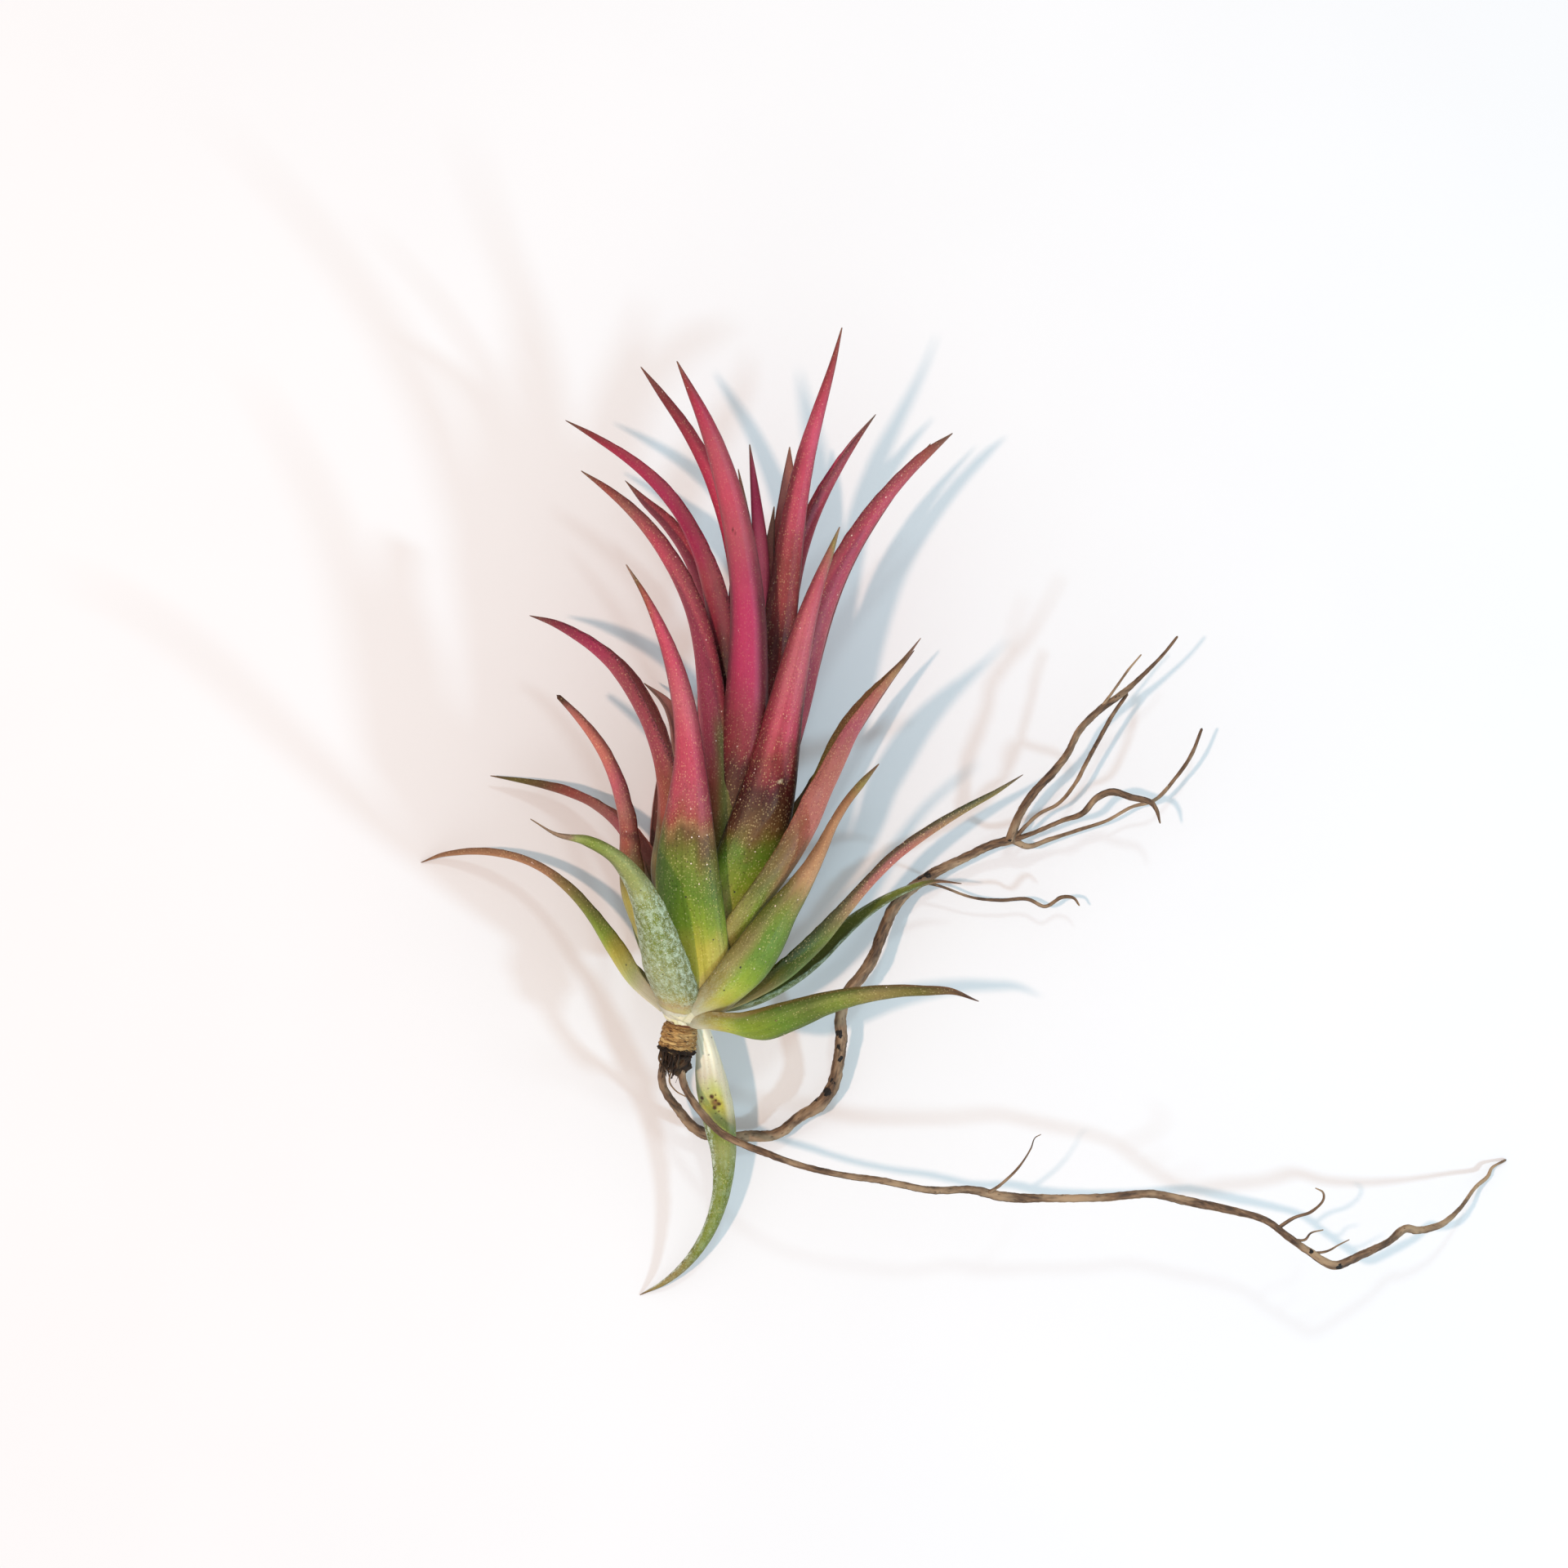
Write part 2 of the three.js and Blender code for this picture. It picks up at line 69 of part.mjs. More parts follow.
  { name: "leaf_31", azimuth: 232, colour: "#8a7448", stations: [[-13.69, -25.51, 11.26, 2.6, 1.3, 0], [-14.23, -23.98, 8.09, 2.65, 1.54, 0], [-15.46, -21.3, 6.17, 2.48, 1.59, 0], [-16.67, -18.47, 4.81, 2.16, 1.5, 0], [-17.65, -15.74, 3.53, 1.75, 1.29, 0], [-18.36, -13.13, 2.33, 1.26, 0.99, 0], [-18.85, -10.63, 1.18, 0.71, 0.6, 0], [-19.18, -8.19, 0.05, 0.08, 0.1, 0]] },
  { name: "leaf_32", azimuth: 130, colour: "#8a7448", stations: [[-8.77, -26.23, 11.17, 2.6, 1.3, 0], [-7.08, -24.68, 8.36, 2.66, 1.53, 0], [-5.15, -22.46, 6.37, 2.5, 1.59, 0], [-3.25, -20.08, 4.88, 2.19, 1.51, 0], [-1.5, -17.76, 3.56, 1.77, 1.3, 0], [0.07, -15.54, 2.35, 1.27, 0.99, 0], [1.44, -13.37, 1.19, 0.7, 0.59, 0], [2.6, -11.19, 0.05, 0.08, 0.1, 0]] },
  { name: "leaf_33", azimuth: 212, colour: "#8a7448", stations: [[-12.76, -24.2, 10.58, 2.8, 1.4, 0], [-12.78, -20.53, 7.42, 2.92, 1.68, 0], [-13.61, -16.24, 5.53, 2.68, 1.68, 0], [-14.43, -11.96, 4.29, 2.29, 1.55, 0], [-14.93, -7.87, 3.27, 1.83, 1.33, 0], [-15.12, -4.03, 2.29, 1.33, 1.04, 0], [-15.1, -0.43, 1.24, 0.75, 0.64, 0], [-14.98, 3, 0.05, 0.08, 0.1, 0]] },
  { name: "leaf_34", azimuth: 150, colour: "#8a7448", stations: [[-9.22, -24.22, 10.6, 2.8, 1.4, 0], [-7.73, -20.56, 7.55, 2.93, 1.69, 0], [-6.19, -16.22, 5.86, 2.77, 1.74, 0], [-4.68, -11.86, 4.8, 2.49, 1.66, 0], [-3.22, -7.7, 3.91, 2.13, 1.5, 0], [-1.9, -3.78, 3.02, 1.73, 1.27, 0], [-0.77, -0.07, 2.1, 1.27, 0.96, 0], [0.13, 3.5, 1.11, 0.73, 0.58, 0], [0.8, 6.99, 0.05, 0.08, 0.1, 0]] },
  { name: "leaf_35", azimuth: 215, colour: "#8a7448", stations: [[-11.56, -19.05, 12.42, 2.6, 1.4, 0], [-9.71, -13.96, 12.11, 2.58, 1.52, 0], [-8.91, -8.66, 11.88, 2.49, 1.62, 0], [-8.75, -3.43, 11.67, 2.35, 1.67, 0], [-8.81, 1.61, 11.43, 2.18, 1.68, 0], [-8.89, 6.43, 11.13, 1.98, 1.65, 0], [-9.03, 11.01, 10.74, 1.76, 1.56, 0], [-9.33, 15.35, 10.26, 1.51, 1.42, 0], [-9.93, 19.46, 9.71, 1.18, 1.16, 0], [-10.96, 23.33, 9.08, 0.72, 0.74, 0], [-12.53, 26.92, 8.4, 0.08, 0.1, 0]] },
  { name: "leaf_36", azimuth: 145, colour: "#8a7448", stations: [[-8.85, -19.45, 12.42, 2.6, 1.4, 0], [-7.34, -13.8, 11.91, 2.58, 1.5, 0], [-5.78, -8.25, 11.38, 2.51, 1.6, 0], [-4.19, -2.86, 10.82, 2.39, 1.67, 0], [-2.58, 2.31, 10.24, 2.23, 1.7, 0], [-0.98, 7.23, 9.63, 2.01, 1.66, 0], [0.6, 11.89, 9.01, 1.76, 1.56, 0], [2.17, 16.3, 8.36, 1.45, 1.37, 0], [3.75, 20.49, 7.68, 1.09, 1.08, 0], [5.37, 24.49, 6.97, 0.63, 0.67, 0], [7.09, 28.35, 6.2, 0.08, 0.1, 0]] },
  { name: "leaf_37", azimuth: 178, colour: "#8a7448", stations: [[-10.23, -20.14, 11.62, 2.8, 1.4, 0], [-8.78, -14.83, 10.59, 2.74, 1.61, 0], [-7.89, -9.4, 9.93, 2.63, 1.73, 0], [-7.32, -4.02, 9.48, 2.47, 1.77, 0], [-6.87, 1.22, 9.11, 2.29, 1.75, 0], [-6.47, 6.26, 8.73, 2.08, 1.68, 0], [-6.09, 11.08, 8.29, 1.85, 1.57, 0], [-5.77, 15.68, 7.81, 1.6, 1.42, 0], [-5.58, 20.09, 7.3, 1.31, 1.2, 0], [-5.54, 24.34, 6.79, 0.96, 0.92, 0], [-5.71, 28.47, 6.29, 0.56, 0.56, 0], [-6.11, 32.52, 5.8, 0.08, 0.1, 0]] },
];

// Roots: x, y, z and radius along each strand.
const ROOTS = [
  {
    name: "root_1", colour: "#6f5a4c",
    strands: [
      [[-13.22, -31.88, 11.2, 0.55], [-14.12, -32.82, 10.4, 0.5], [-14.67, -35.19, 9, 0.48], [-14.14, -37.13, 7.5, 0.47], [-12.78, -39.25, 5.5, 0.54], [-11.07, -41.6, 3.6, 0.65], [-9.35, -42.65, 2.6, 0.69], [-6.96, -43.02, 2.4, 0.68], [-4.48, -42.88, 2.3, 0.68], [-0.96, -42.63, 2.3, 0.67], [1.86, -40.55, 2.6, 0.68], [4.38, -38.91, 3, 0.79], [5.87, -36.74, 3.5, 0.78], [6.57, -33.63, 4.5, 0.73], [6.93, -30.57, 5.5, 0.72], [6.84, -28.08, 6, 0.71], [7.61, -25.2, 6.3, 0.72], [9.15, -23.34, 6.2, 0.74], [10.83, -20.79, 5.6, 0.69], [12.1, -17.39, 5, 0.69], [13.59, -14.5, 4.4, 0.72], [15.53, -12.6, 4, 0.68], [18.46, -10.65, 3.8, 0.62], [21.91, -8.96, 3.8, 0.55], [25.31, -7.32, 4, 0.53], [27.74, -6.73, 4.4, 0.53]],
      [[27.32, -6.82, 4.4, 0.63], [28.28, -4.1, 5, 0.52], [30.02, -1.2, 6, 0.52], [32.67, 1.75, 7, 0.47], [34.12, 3.75, 7.5, 0.41], [35.37, 6.3, 8, 0.41], [37.81, 8.87, 8.5, 0.43], [40.56, 10.88, 9, 0.37], [43, 13.12, 9.6, 0.26], [45.44, 15.68, 10.2, 0.2], [46.87, 17.53, 10.5, 0.15]],
      [[37.81, 8.87, 8.5, 0.21], [39.71, 11.59, 9.5, 0.16], [41.06, 13.56, 10, 0.14], [42.56, 15.39, 10.5, 0.1]],
      [[27.74, -6.73, 4.4, 0.32], [29.26, -5.08, 4.6, 0.24], [30.89, -3.61, 4.8, 0.23], [33.21, -2.34, 5, 0.22], [35.2, 0.08, 5.4, 0.24], [36.33, 2.28, 5.8, 0.27], [38.16, 5.75, 6.4, 0.26], [39.49, 8.23, 7, 0.26], [41.19, 10.76, 7.6, 0.2]],
      [[27.74, -6.73, 4.4, 0.35], [30.2, -5.91, 4.8, 0.28], [33.55, -4.41, 6, 0.28], [35.83, -3.59, 7, 0.35], [37.56, -1.63, 8, 0.4], [39.37, -0.94, 8.5, 0.44], [41.48, -1.55, 8.6, 0.4], [43.9, -2.19, 8.5, 0.36], [44.69, -3.2, 8.4, 0.26], [45.1, -4.64, 8.2, 0.12]],
      [[27.67, -6.75, 4.2, 0.46], [29.53, -7.57, 3.6, 0.35], [32.18, -6.76, 3.2, 0.28], [35.66, -5.61, 3.2, 0.23], [39.16, -4.46, 3.4, 0.21], [42.12, -2.82, 3.8, 0.21], [44.97, -1.9, 4.2, 0.23], [47.37, 0.73, 4.8, 0.22], [49.16, 3.43, 5.4, 0.23], [50.37, 6.59, 6, 0.18]],
      [[16.6, -11.88, 4, 0.22], [18.83, -12.36, 3.8, 0.17], [22.82, -13.77, 3.2, 0.18], [26.3, -14.13, 3, 0.22], [29.55, -13.98, 3, 0.22], [31.74, -14.87, 3.2, 0.22], [33.71, -13.75, 3.6, 0.25], [35.12, -13.83, 4, 0.18], [35.78, -14.7, 4, 0.11]],
    ],
  },
  {
    name: "root_2", colour: "#75604f",
    strands: [
      [[-12.03, -32.98, 12, 0.5], [-12.17, -34.44, 12, 0.5], [-11.56, -36.44, 12, 0.44], [-9.79, -39.06, 12, 0.45], [-7.61, -41.25, 12.5, 0.44], [-5.34, -42.39, 13.5, 0.44], [-1.94, -43.51, 15.5, 0.41], [1.86, -44.78, 16.5, 0.38], [6.67, -45.81, 17, 0.38], [11.49, -46.52, 17, 0.4], [17.28, -47.74, 16, 0.43], [22.13, -47.85, 15, 0.49], [26.04, -48.72, 14.5, 0.6], [30.88, -48.95, 14, 0.47], [37.64, -48.87, 14, 0.47], [43.42, -48.43, 14, 0.5], [48.17, -49.41, 14, 0.54], [53.02, -50.41, 14, 0.46], [56.85, -51.53, 14, 0.41], [59.53, -53.48, 14, 0.42], [62.19, -55.35, 13.8, 0.46], [65.04, -56.94, 13.5, 0.52], [68.32, -55.95, 12.5, 0.48], [71.99, -54.5, 11, 0.43], [74.13, -53.14, 10, 0.5], [76.04, -53.43, 9, 0.46], [78.94, -52.91, 7.5, 0.38], [81.66, -51.32, 5.2, 0.25], [84.15, -49.07, 2.5, 0.23], [85.94, -47.86, 1.2, 0.24], [86.46, -46.94, 0.9, 0.18], [88.29, -46.03, 0.17, 0.15]],
      [[24, -48.24, 15, 0.25], [25.51, -47.15, 15.5, 0.18], [27.56, -45.08, 16, 0.14], [28.98, -42.79, 16.5, 0.09], [29.42, -41.53, 16.8, 0.07], [30.1, -41.1, 17, 0.05]],
      [[58.26, -52.55, 14, 0.24], [60.31, -51.24, 14, 0.2], [62.21, -50.54, 14.2, 0.18], [63.61, -49.15, 14.5, 0.15], [63.56, -48.15, 14.8, 0.12], [62.66, -47.64, 15, 0.08]],
      [[60.14, -53.9, 14, 0.2], [61.6, -53.87, 13.8, 0.16], [62.27, -53.1, 13.8, 0.12], [63.72, -52.72, 13.8, 0.08]],
      [[62.42, -55.48, 13.8, 0.2], [64.24, -55.26, 13.6, 0.14], [65.72, -54.51, 13.4, 0.1], [66.88, -53.93, 13.4, 0.06]],
    ],
  },
  {
    name: "root_3", colour: "#54453c",
    strands: [
      [[-13.46, -34.12, 10, 0.12], [-13.67, -35.63, 9.5, 0.1], [-12.89, -36.71, 9.5, 0.09], [-11.7, -37.34, 10, 0.07]],
    ],
  },
];

// Dead strands that hang out of the stump: start, middle and end points with
// their radii.
const STRANDS = [
  [[-12.6, -31.2, 12.1, 1.75], [-12.5, -32.4, 12.0, 1.7], [-12.4, -33.6, 11.8, 1.35], [-12.3, -34.5, 11.6, 0.75], [-12.2, -35.0, 11.5, 0.25]],
  [[-13.6, -31.3, 12.3, 0.6], [-14.2, -32.3, 12.2, 0.5], [-14.3, -33.3, 11.9, 0.34], [-14.2, -34.2, 11.6, 0.14]],
  [[-11.6, -31.4, 12.8, 0.6], [-11.0, -32.9, 12.7, 0.52], [-10.9, -34.3, 12.4, 0.42], [-11.1, -35.1, 12.0, 0.15]],
  [[-12.8, -31.6, 13.1, 0.6], [-13.3, -33.0, 13.0, 0.5], [-13.1, -34.2, 12.7, 0.36], [-12.6, -35.1, 12.3, 0.13]],
  [[-12.2, -31.6, 11.0, 0.6], [-12.0, -33.0, 10.6, 0.5], [-12.4, -34.4, 10.5, 0.36], [-12.9, -35.3, 10.5, 0.13]],
  [[-13.5, -31.4, 11.2, 0.5], [-14.0, -32.6, 11.0, 0.42], [-13.9, -33.8, 10.9, 0.32], [-13.4, -34.8, 10.9, 0.13]],
];

const wasm = await Module();
wasm.setup();

// ---- helpers ----
const toSolid = (geometry) => {
  const g = geometry.clone();
  for (const key of Object.keys(g.attributes)) if (key !== "position") g.deleteAttribute(key);
  const merged = mergeVertices(g, 1e-4);
  return new wasm.Manifold(
    new wasm.Mesh({
      numProp: 3,
      vertProperties: new Float32Array(merged.attributes.position.array),
      triVerts: new Uint32Array(merged.index.array),
    }),
  );
};

const toGeometry = (solid, origin) => {
  const mesh = solid.getMesh();
  const g = new THREE.BufferGeometry();
  const count = mesh.vertProperties.length / mesh.numProp;
  const position = new Float32Array(count * 3);
  for (let i = 0; i < count; i++)
    for (let k = 0; k < 3; k++) position[3 * i + k] = mesh.vertProperties[mesh.numProp * i + k] - origin.getComponent(k);
  g.setAttribute("position", new THREE.BufferAttribute(position, 3));
  g.setIndex(new THREE.BufferAttribute(new Uint32Array(mesh.triVerts), 1));
  g.computeVertexNormals();
  return g;
};

const largest = (solid) => solid.decompose().sort((a, b) => b.volume() - a.volume())[0];

// Rings of points joined into one closed surface. Each ring is an outer row
// followed by an inner row back, so the ends close as strips between the rows.
const loft = (rings, half) => {
  const n = rings[0].length;
  const index = [];
  for (let i = 0; i < rings.length - 1; i++)
    for (let j = 0; j < n; j++) {
      const a = i * n + j, b = i * n + ((j + 1) % n);
      index.push(a, b, b + n, a, b + n, a + n);
    }
  const last = (rings.length - 1) * n;
  for (let j = 0; j < half - 1; j++) {
    const p = j, q = j + 1, r = n - 2 - j, s = n - 1 - j;
    index.push(p, r, q, p, s, r);
    index.push(last + p, last + q, last + r, last + p, last + r, last + s);
  }
  const g = new THREE.BufferGeometry();
  g.setAttribute("position", new THREE.Float32BufferAttribute(rings.flat().flatMap((v) => [v.x, v.y, v.z]), 3));
  g.setIndex(index);
  return g;
};

const facingOut = (geometry) => {
  const solid = toSolid(geometry);
  if (solid.volume() > 0) return solid;
  const index = Array.from(geometry.index.array);
  for (let i = 0; i < index.length; i += 3) [index[i + 1], index[i + 2]] = [index[i + 2], index[i + 1]];
  const turned = geometry.clone();
  turned.setIndex(index);
  return toSolid(turned);
};

// ---- a leaf: a channel that opens towards the stem and closes to a point ----
const leafSolid = ({ azimuth, stations }, grow = 0) => {
  const a = THREE.MathUtils.degToRad(azimuth);
  const out = FRONT.clone().multiplyScalar(Math.cos(a)).addScaledVector(SIDE, Math.sin(a));
  const across0 = AXIS.clone().cross(out);
  const points = stations.map(([x, y, z]) => new THREE.Vector3(x, y, z));
  const curve = new THREE.CatmullRomCurve3(points, false, "centripetal");
  const rings = stations.map(([, , , half, depth, twist], i) => {
    const t = curve.getTangent(i / (stations.length - 1));
    const across = across0.clone().addScaledVector(t, -across0.dot(t)).normalize();
    const normal = across.clone().cross(t);
    const turn = THREE.MathUtils.degToRad(twist);
    const b = across.clone().multiplyScalar(Math.cos(turn)).addScaledVector(normal, Math.sin(turn));
    const n = normal.clone().multiplyScalar(Math.cos(turn)).addScaledVector(across, -Math.sin(turn));
    const centre = points[i].clone();
    if (i === 0) centre.addScaledVector(t, -grow);
    if (i === stations.length - 1) centre.addScaledVector(t, grow);
    const outHalf = half + grow, outDepth = depth + 2 * grow;
    const inHalf = Math.max(half - Math.min(MARGIN_SHARE * half, MARGIN) - grow, 0.3 * half);
    const inDepth = Math.max(depth - LEAF_WALL, KEEL_SHARE * depth);
    const at = (x, y) => centre.clone().addScaledVector(b, x).addScaledVector(n, y - depth / 2 - grow);
    const ring = [];
    for (let k = 0; k < ARC_POINTS; k++) {
      const phi = Math.PI * (k / (ARC_POINTS - 1) - 0.5);
      ring.push(at(outHalf * Math.sin(phi), outDepth * Math.cos(phi)));
    }
    for (let k = 0; k < ARC_POINTS; k++) {
      const phi = Math.PI * (0.5 - k / (ARC_POINTS - 1));
      ring.push(at(inHalf * Math.sin(phi), inDepth * Math.cos(phi)));
    }
    return ring;
  });
  return facingOut(loft(rings, ARC_POINTS));
};

// ---- a round strand with its own radius at each point ----
const strandSolid = (stations, sides = ROOT_SIDES, grow = 0) => {
  const points = stations.map(([x, y, z]) => new THREE.Vector3(x, y, z));
  const curve = new THREE.CatmullRomCurve3(points, false, "centripetal");
  const rings = stations.map(([, , , radius], i) => {
    const t = curve.getTangent(i / (stations.length - 1));
    const up = Math.abs(t.z) > 0.9 ? new THREE.Vector3(0, 1, 0) : new THREE.Vector3(0, 0, 1);
    const b = up.clone().cross(t).normalize();
    const n = t.clone().cross(b);
    const centre = points[i].clone();
    if (i === 0) centre.addScaledVector(t, -grow);
    if (i === stations.length - 1) centre.addScaledVector(t, grow);
    const ring = [];
    for (let k = 0; k < sides; k++) {
      const phi = (2 * Math.PI * (k + 0.5)) / sides;
      ring.push(centre.clone().addScaledVector(b, (radius + grow) * Math.cos(phi)).addScaledVector(n, (radius + grow) * Math.sin(phi)));
    }
    return ring;
  });
  return facingOut(loft(rings, sides / 2));
};

// ---- turned pieces: a profile of [radius, height] set along a direction ----
const turned = (profile, foot, direction, segments) => {
  const g = new THREE.LatheGeometry(profile.map(([r, h]) => new THREE.Vector2(r, h)), segments);
  const q = new THREE.Quaternion().setFromUnitVectors(new THREE.Vector3(0, 1, 0), direction.clone().normalize());
  g.applyMatrix4(new THREE.Matrix4().compose(foot, q, new THREE.Vector3(1, 1, 1)));
  return facingOut(g);
};

const coreProfile = (grow) => [
  [0, -1.15 - grow],
  [STUMP_RADIUS + 0.1 + grow, -1.15 - grow],
  [STUMP_RADIUS + 0.45 + grow, -0.7],
  [NECK_RADIUS + grow, 0.1],
  [CORE_RADIUS + 0.5 + grow, 1.0],
  [CORE_RADIUS + grow, 2.2],
  [CORE_RADIUS * 0.8 + grow, CORE_LENGTH * 0.42],
  [CORE_RADIUS * 0.5 + grow, CORE_LENGTH * 0.75],
  [CORE_RADIUS * 0.2 + grow, CORE_LENGTH],
  [0, CORE_LENGTH + 0.4 + grow],
];

const stumpDirection = STUMP_END.clone().sub(STUMP_TOP).normalize();
const stumpProfile = (grow) => {
  const rows = [[0, -grow], [STUMP_RADIUS * 0.93 + grow, -grow]];
  const rings = 5;
  for (let i = 0; i < rings; i++) {
    const h = (STUMP_LENGTH * (i + 0.5)) / rings;
    const waist = STUMP_RADIUS * (1 + ((STUMP_FLARE - 1) * i) / (rings - 1));
    rows.push([waist - RING_HEIGHT + grow, h - 0.2], [waist + RING_HEIGHT + grow, h + 0.1]);
  }
  rows.push([STUMP_RADIUS * STUMP_FLARE * 0.9 + grow, STUMP_LENGTH + grow], [0, STUMP_LENGTH + grow]);
  return rows;
};

// ---- assembly ----
const plant = new THREE.Group();
plant.name = "air_plant";

const add = (name, solid, origin, colour, roughness) => {
  const mesh = new THREE.Mesh(
    toGeometry(solid, origin),
    new THREE.MeshStandardMaterial({ color: colour, roughness, metalness: 0 }),
  );
  mesh.name = name;
  mesh.position.copy(origin);
  plant.add(mesh);
  return mesh;
};

const SMALL = 0.04; // edges shorter than this are merged after a cut
const placed = []; // grown copies of what is already there, for the cuts

const meets = (a, b) => {
  const p = a.boundingBox(), q = b.boundingBox();
  for (let k = 0; k < 3; k++) if (p.min[k] > q.max[k] || q.min[k] > p.max[k]) return false;
  return true;
};
const cutBack = (solid) => {
  const cutters = placed.filter((c) => meets(c, solid));
  if (!cutters.length) return solid;
  return largest(largest(solid.subtract(wasm.Manifold.union(cutters))).simplify(SMALL));
};

// Stem with its pale neck, then the ringed stump under it.
add("stem", turned(coreProfile(0), FOOT, AXIS, 14), FOOT, "#c9c99a", 0.6);
placed.push(turned(coreProfile(GAP), FOOT, AXIS, 14));

const stump = cutBack(turned(stumpProfile(0), STUMP_TOP, stumpDirection, 16));
add("stump", stump, STUMP_TOP, "#7a5a35", 0.9);
placed.push(turned(stumpProfile(GAP), STUMP_TOP, stumpDirection, 16));

// Dead strands under the stump grow from one knot.
const strands = wasm.Manifold.union(STRANDS.map((s) => strandSolid(s, 6)));
add("stump_strands", cutBack(strands), STUMP_END, "#2a211b", 0.95);
for (const s of STRANDS) placed.push(strandSolid(s, 6, GAP));

// Leaves, outermost first: each one is cut back where a leaf that lies over it passes.
for (const leaf of LEAVES) {
  const origin = new THREE.Vector3(...leaf.stations[0].slice(0, 3));
  add(leaf.name, cutBack(leafSolid(leaf)), origin, leaf.colour, 0.55);
  placed.push(leafSolid(leaf, GAP));
}

// Roots last: strands of one root are one growth.
for (const root of ROOTS) {
  const origin = new THREE.Vector3(...root.strands[0][0].slice(0, 3));
  const whole = wasm.Manifold.union(root.strands.map((s) => strandSolid(s)));
  add(root.name, cutBack(whole), origin, root.colour, 0.85);
  for (const s of root.strands) placed.push(strandSolid(s, ROOT_SIDES, GAP));
}

// The origin sits under the middle of the plant, on the surface it lies on.
const box = new THREE.Box3().setFromObject(plant);
plant.position.set(-(box.min.x + box.max.x) / 2, -(box.min.y + box.max.y) / 2, -box.min.z);

export default plant;
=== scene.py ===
import math

import bpy
import numpy as np
from mathutils import Matrix, Vector, noise


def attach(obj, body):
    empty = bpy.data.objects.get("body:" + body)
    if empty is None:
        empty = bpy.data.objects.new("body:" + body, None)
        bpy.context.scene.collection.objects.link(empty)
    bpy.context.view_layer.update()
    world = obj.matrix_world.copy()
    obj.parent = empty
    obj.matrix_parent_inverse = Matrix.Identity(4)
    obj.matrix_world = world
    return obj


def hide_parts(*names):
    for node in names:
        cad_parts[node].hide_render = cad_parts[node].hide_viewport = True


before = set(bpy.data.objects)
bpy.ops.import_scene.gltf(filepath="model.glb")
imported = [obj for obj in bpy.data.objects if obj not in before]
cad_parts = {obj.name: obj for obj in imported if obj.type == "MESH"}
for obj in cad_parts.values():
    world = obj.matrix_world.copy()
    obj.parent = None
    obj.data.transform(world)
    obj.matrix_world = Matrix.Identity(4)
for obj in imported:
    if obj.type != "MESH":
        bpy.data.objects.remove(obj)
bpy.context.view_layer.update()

# ---------------------------------------------------------------- the frame
# The tables below are in millimetres, before the shift that puts the origin
# under the middle of the plant.
SHIFT = np.array([-21.991544, 5.609783, 0.001164])
MM = 0.001
AXIS = np.array([0.14550, 0.97475, 0.16940])       # along the stem, from the neck to the tips
FRONT = np.array([-0.02501, -0.16755, 0.98555])     # out of the rosette, up from the surface
SIDE = np.array([0.98904, -0.14763, 0.0])       # out of the rosette, to the right
FOOT = np.array([-11.41650, -27.38025, 13.00000])       # the neck of the stem
CAMERA_HEIGHT = 0.400
SKIN_LEVEL = np.array([0.79, 0.655, 0.615])   # how much of the light the palest skin gives back

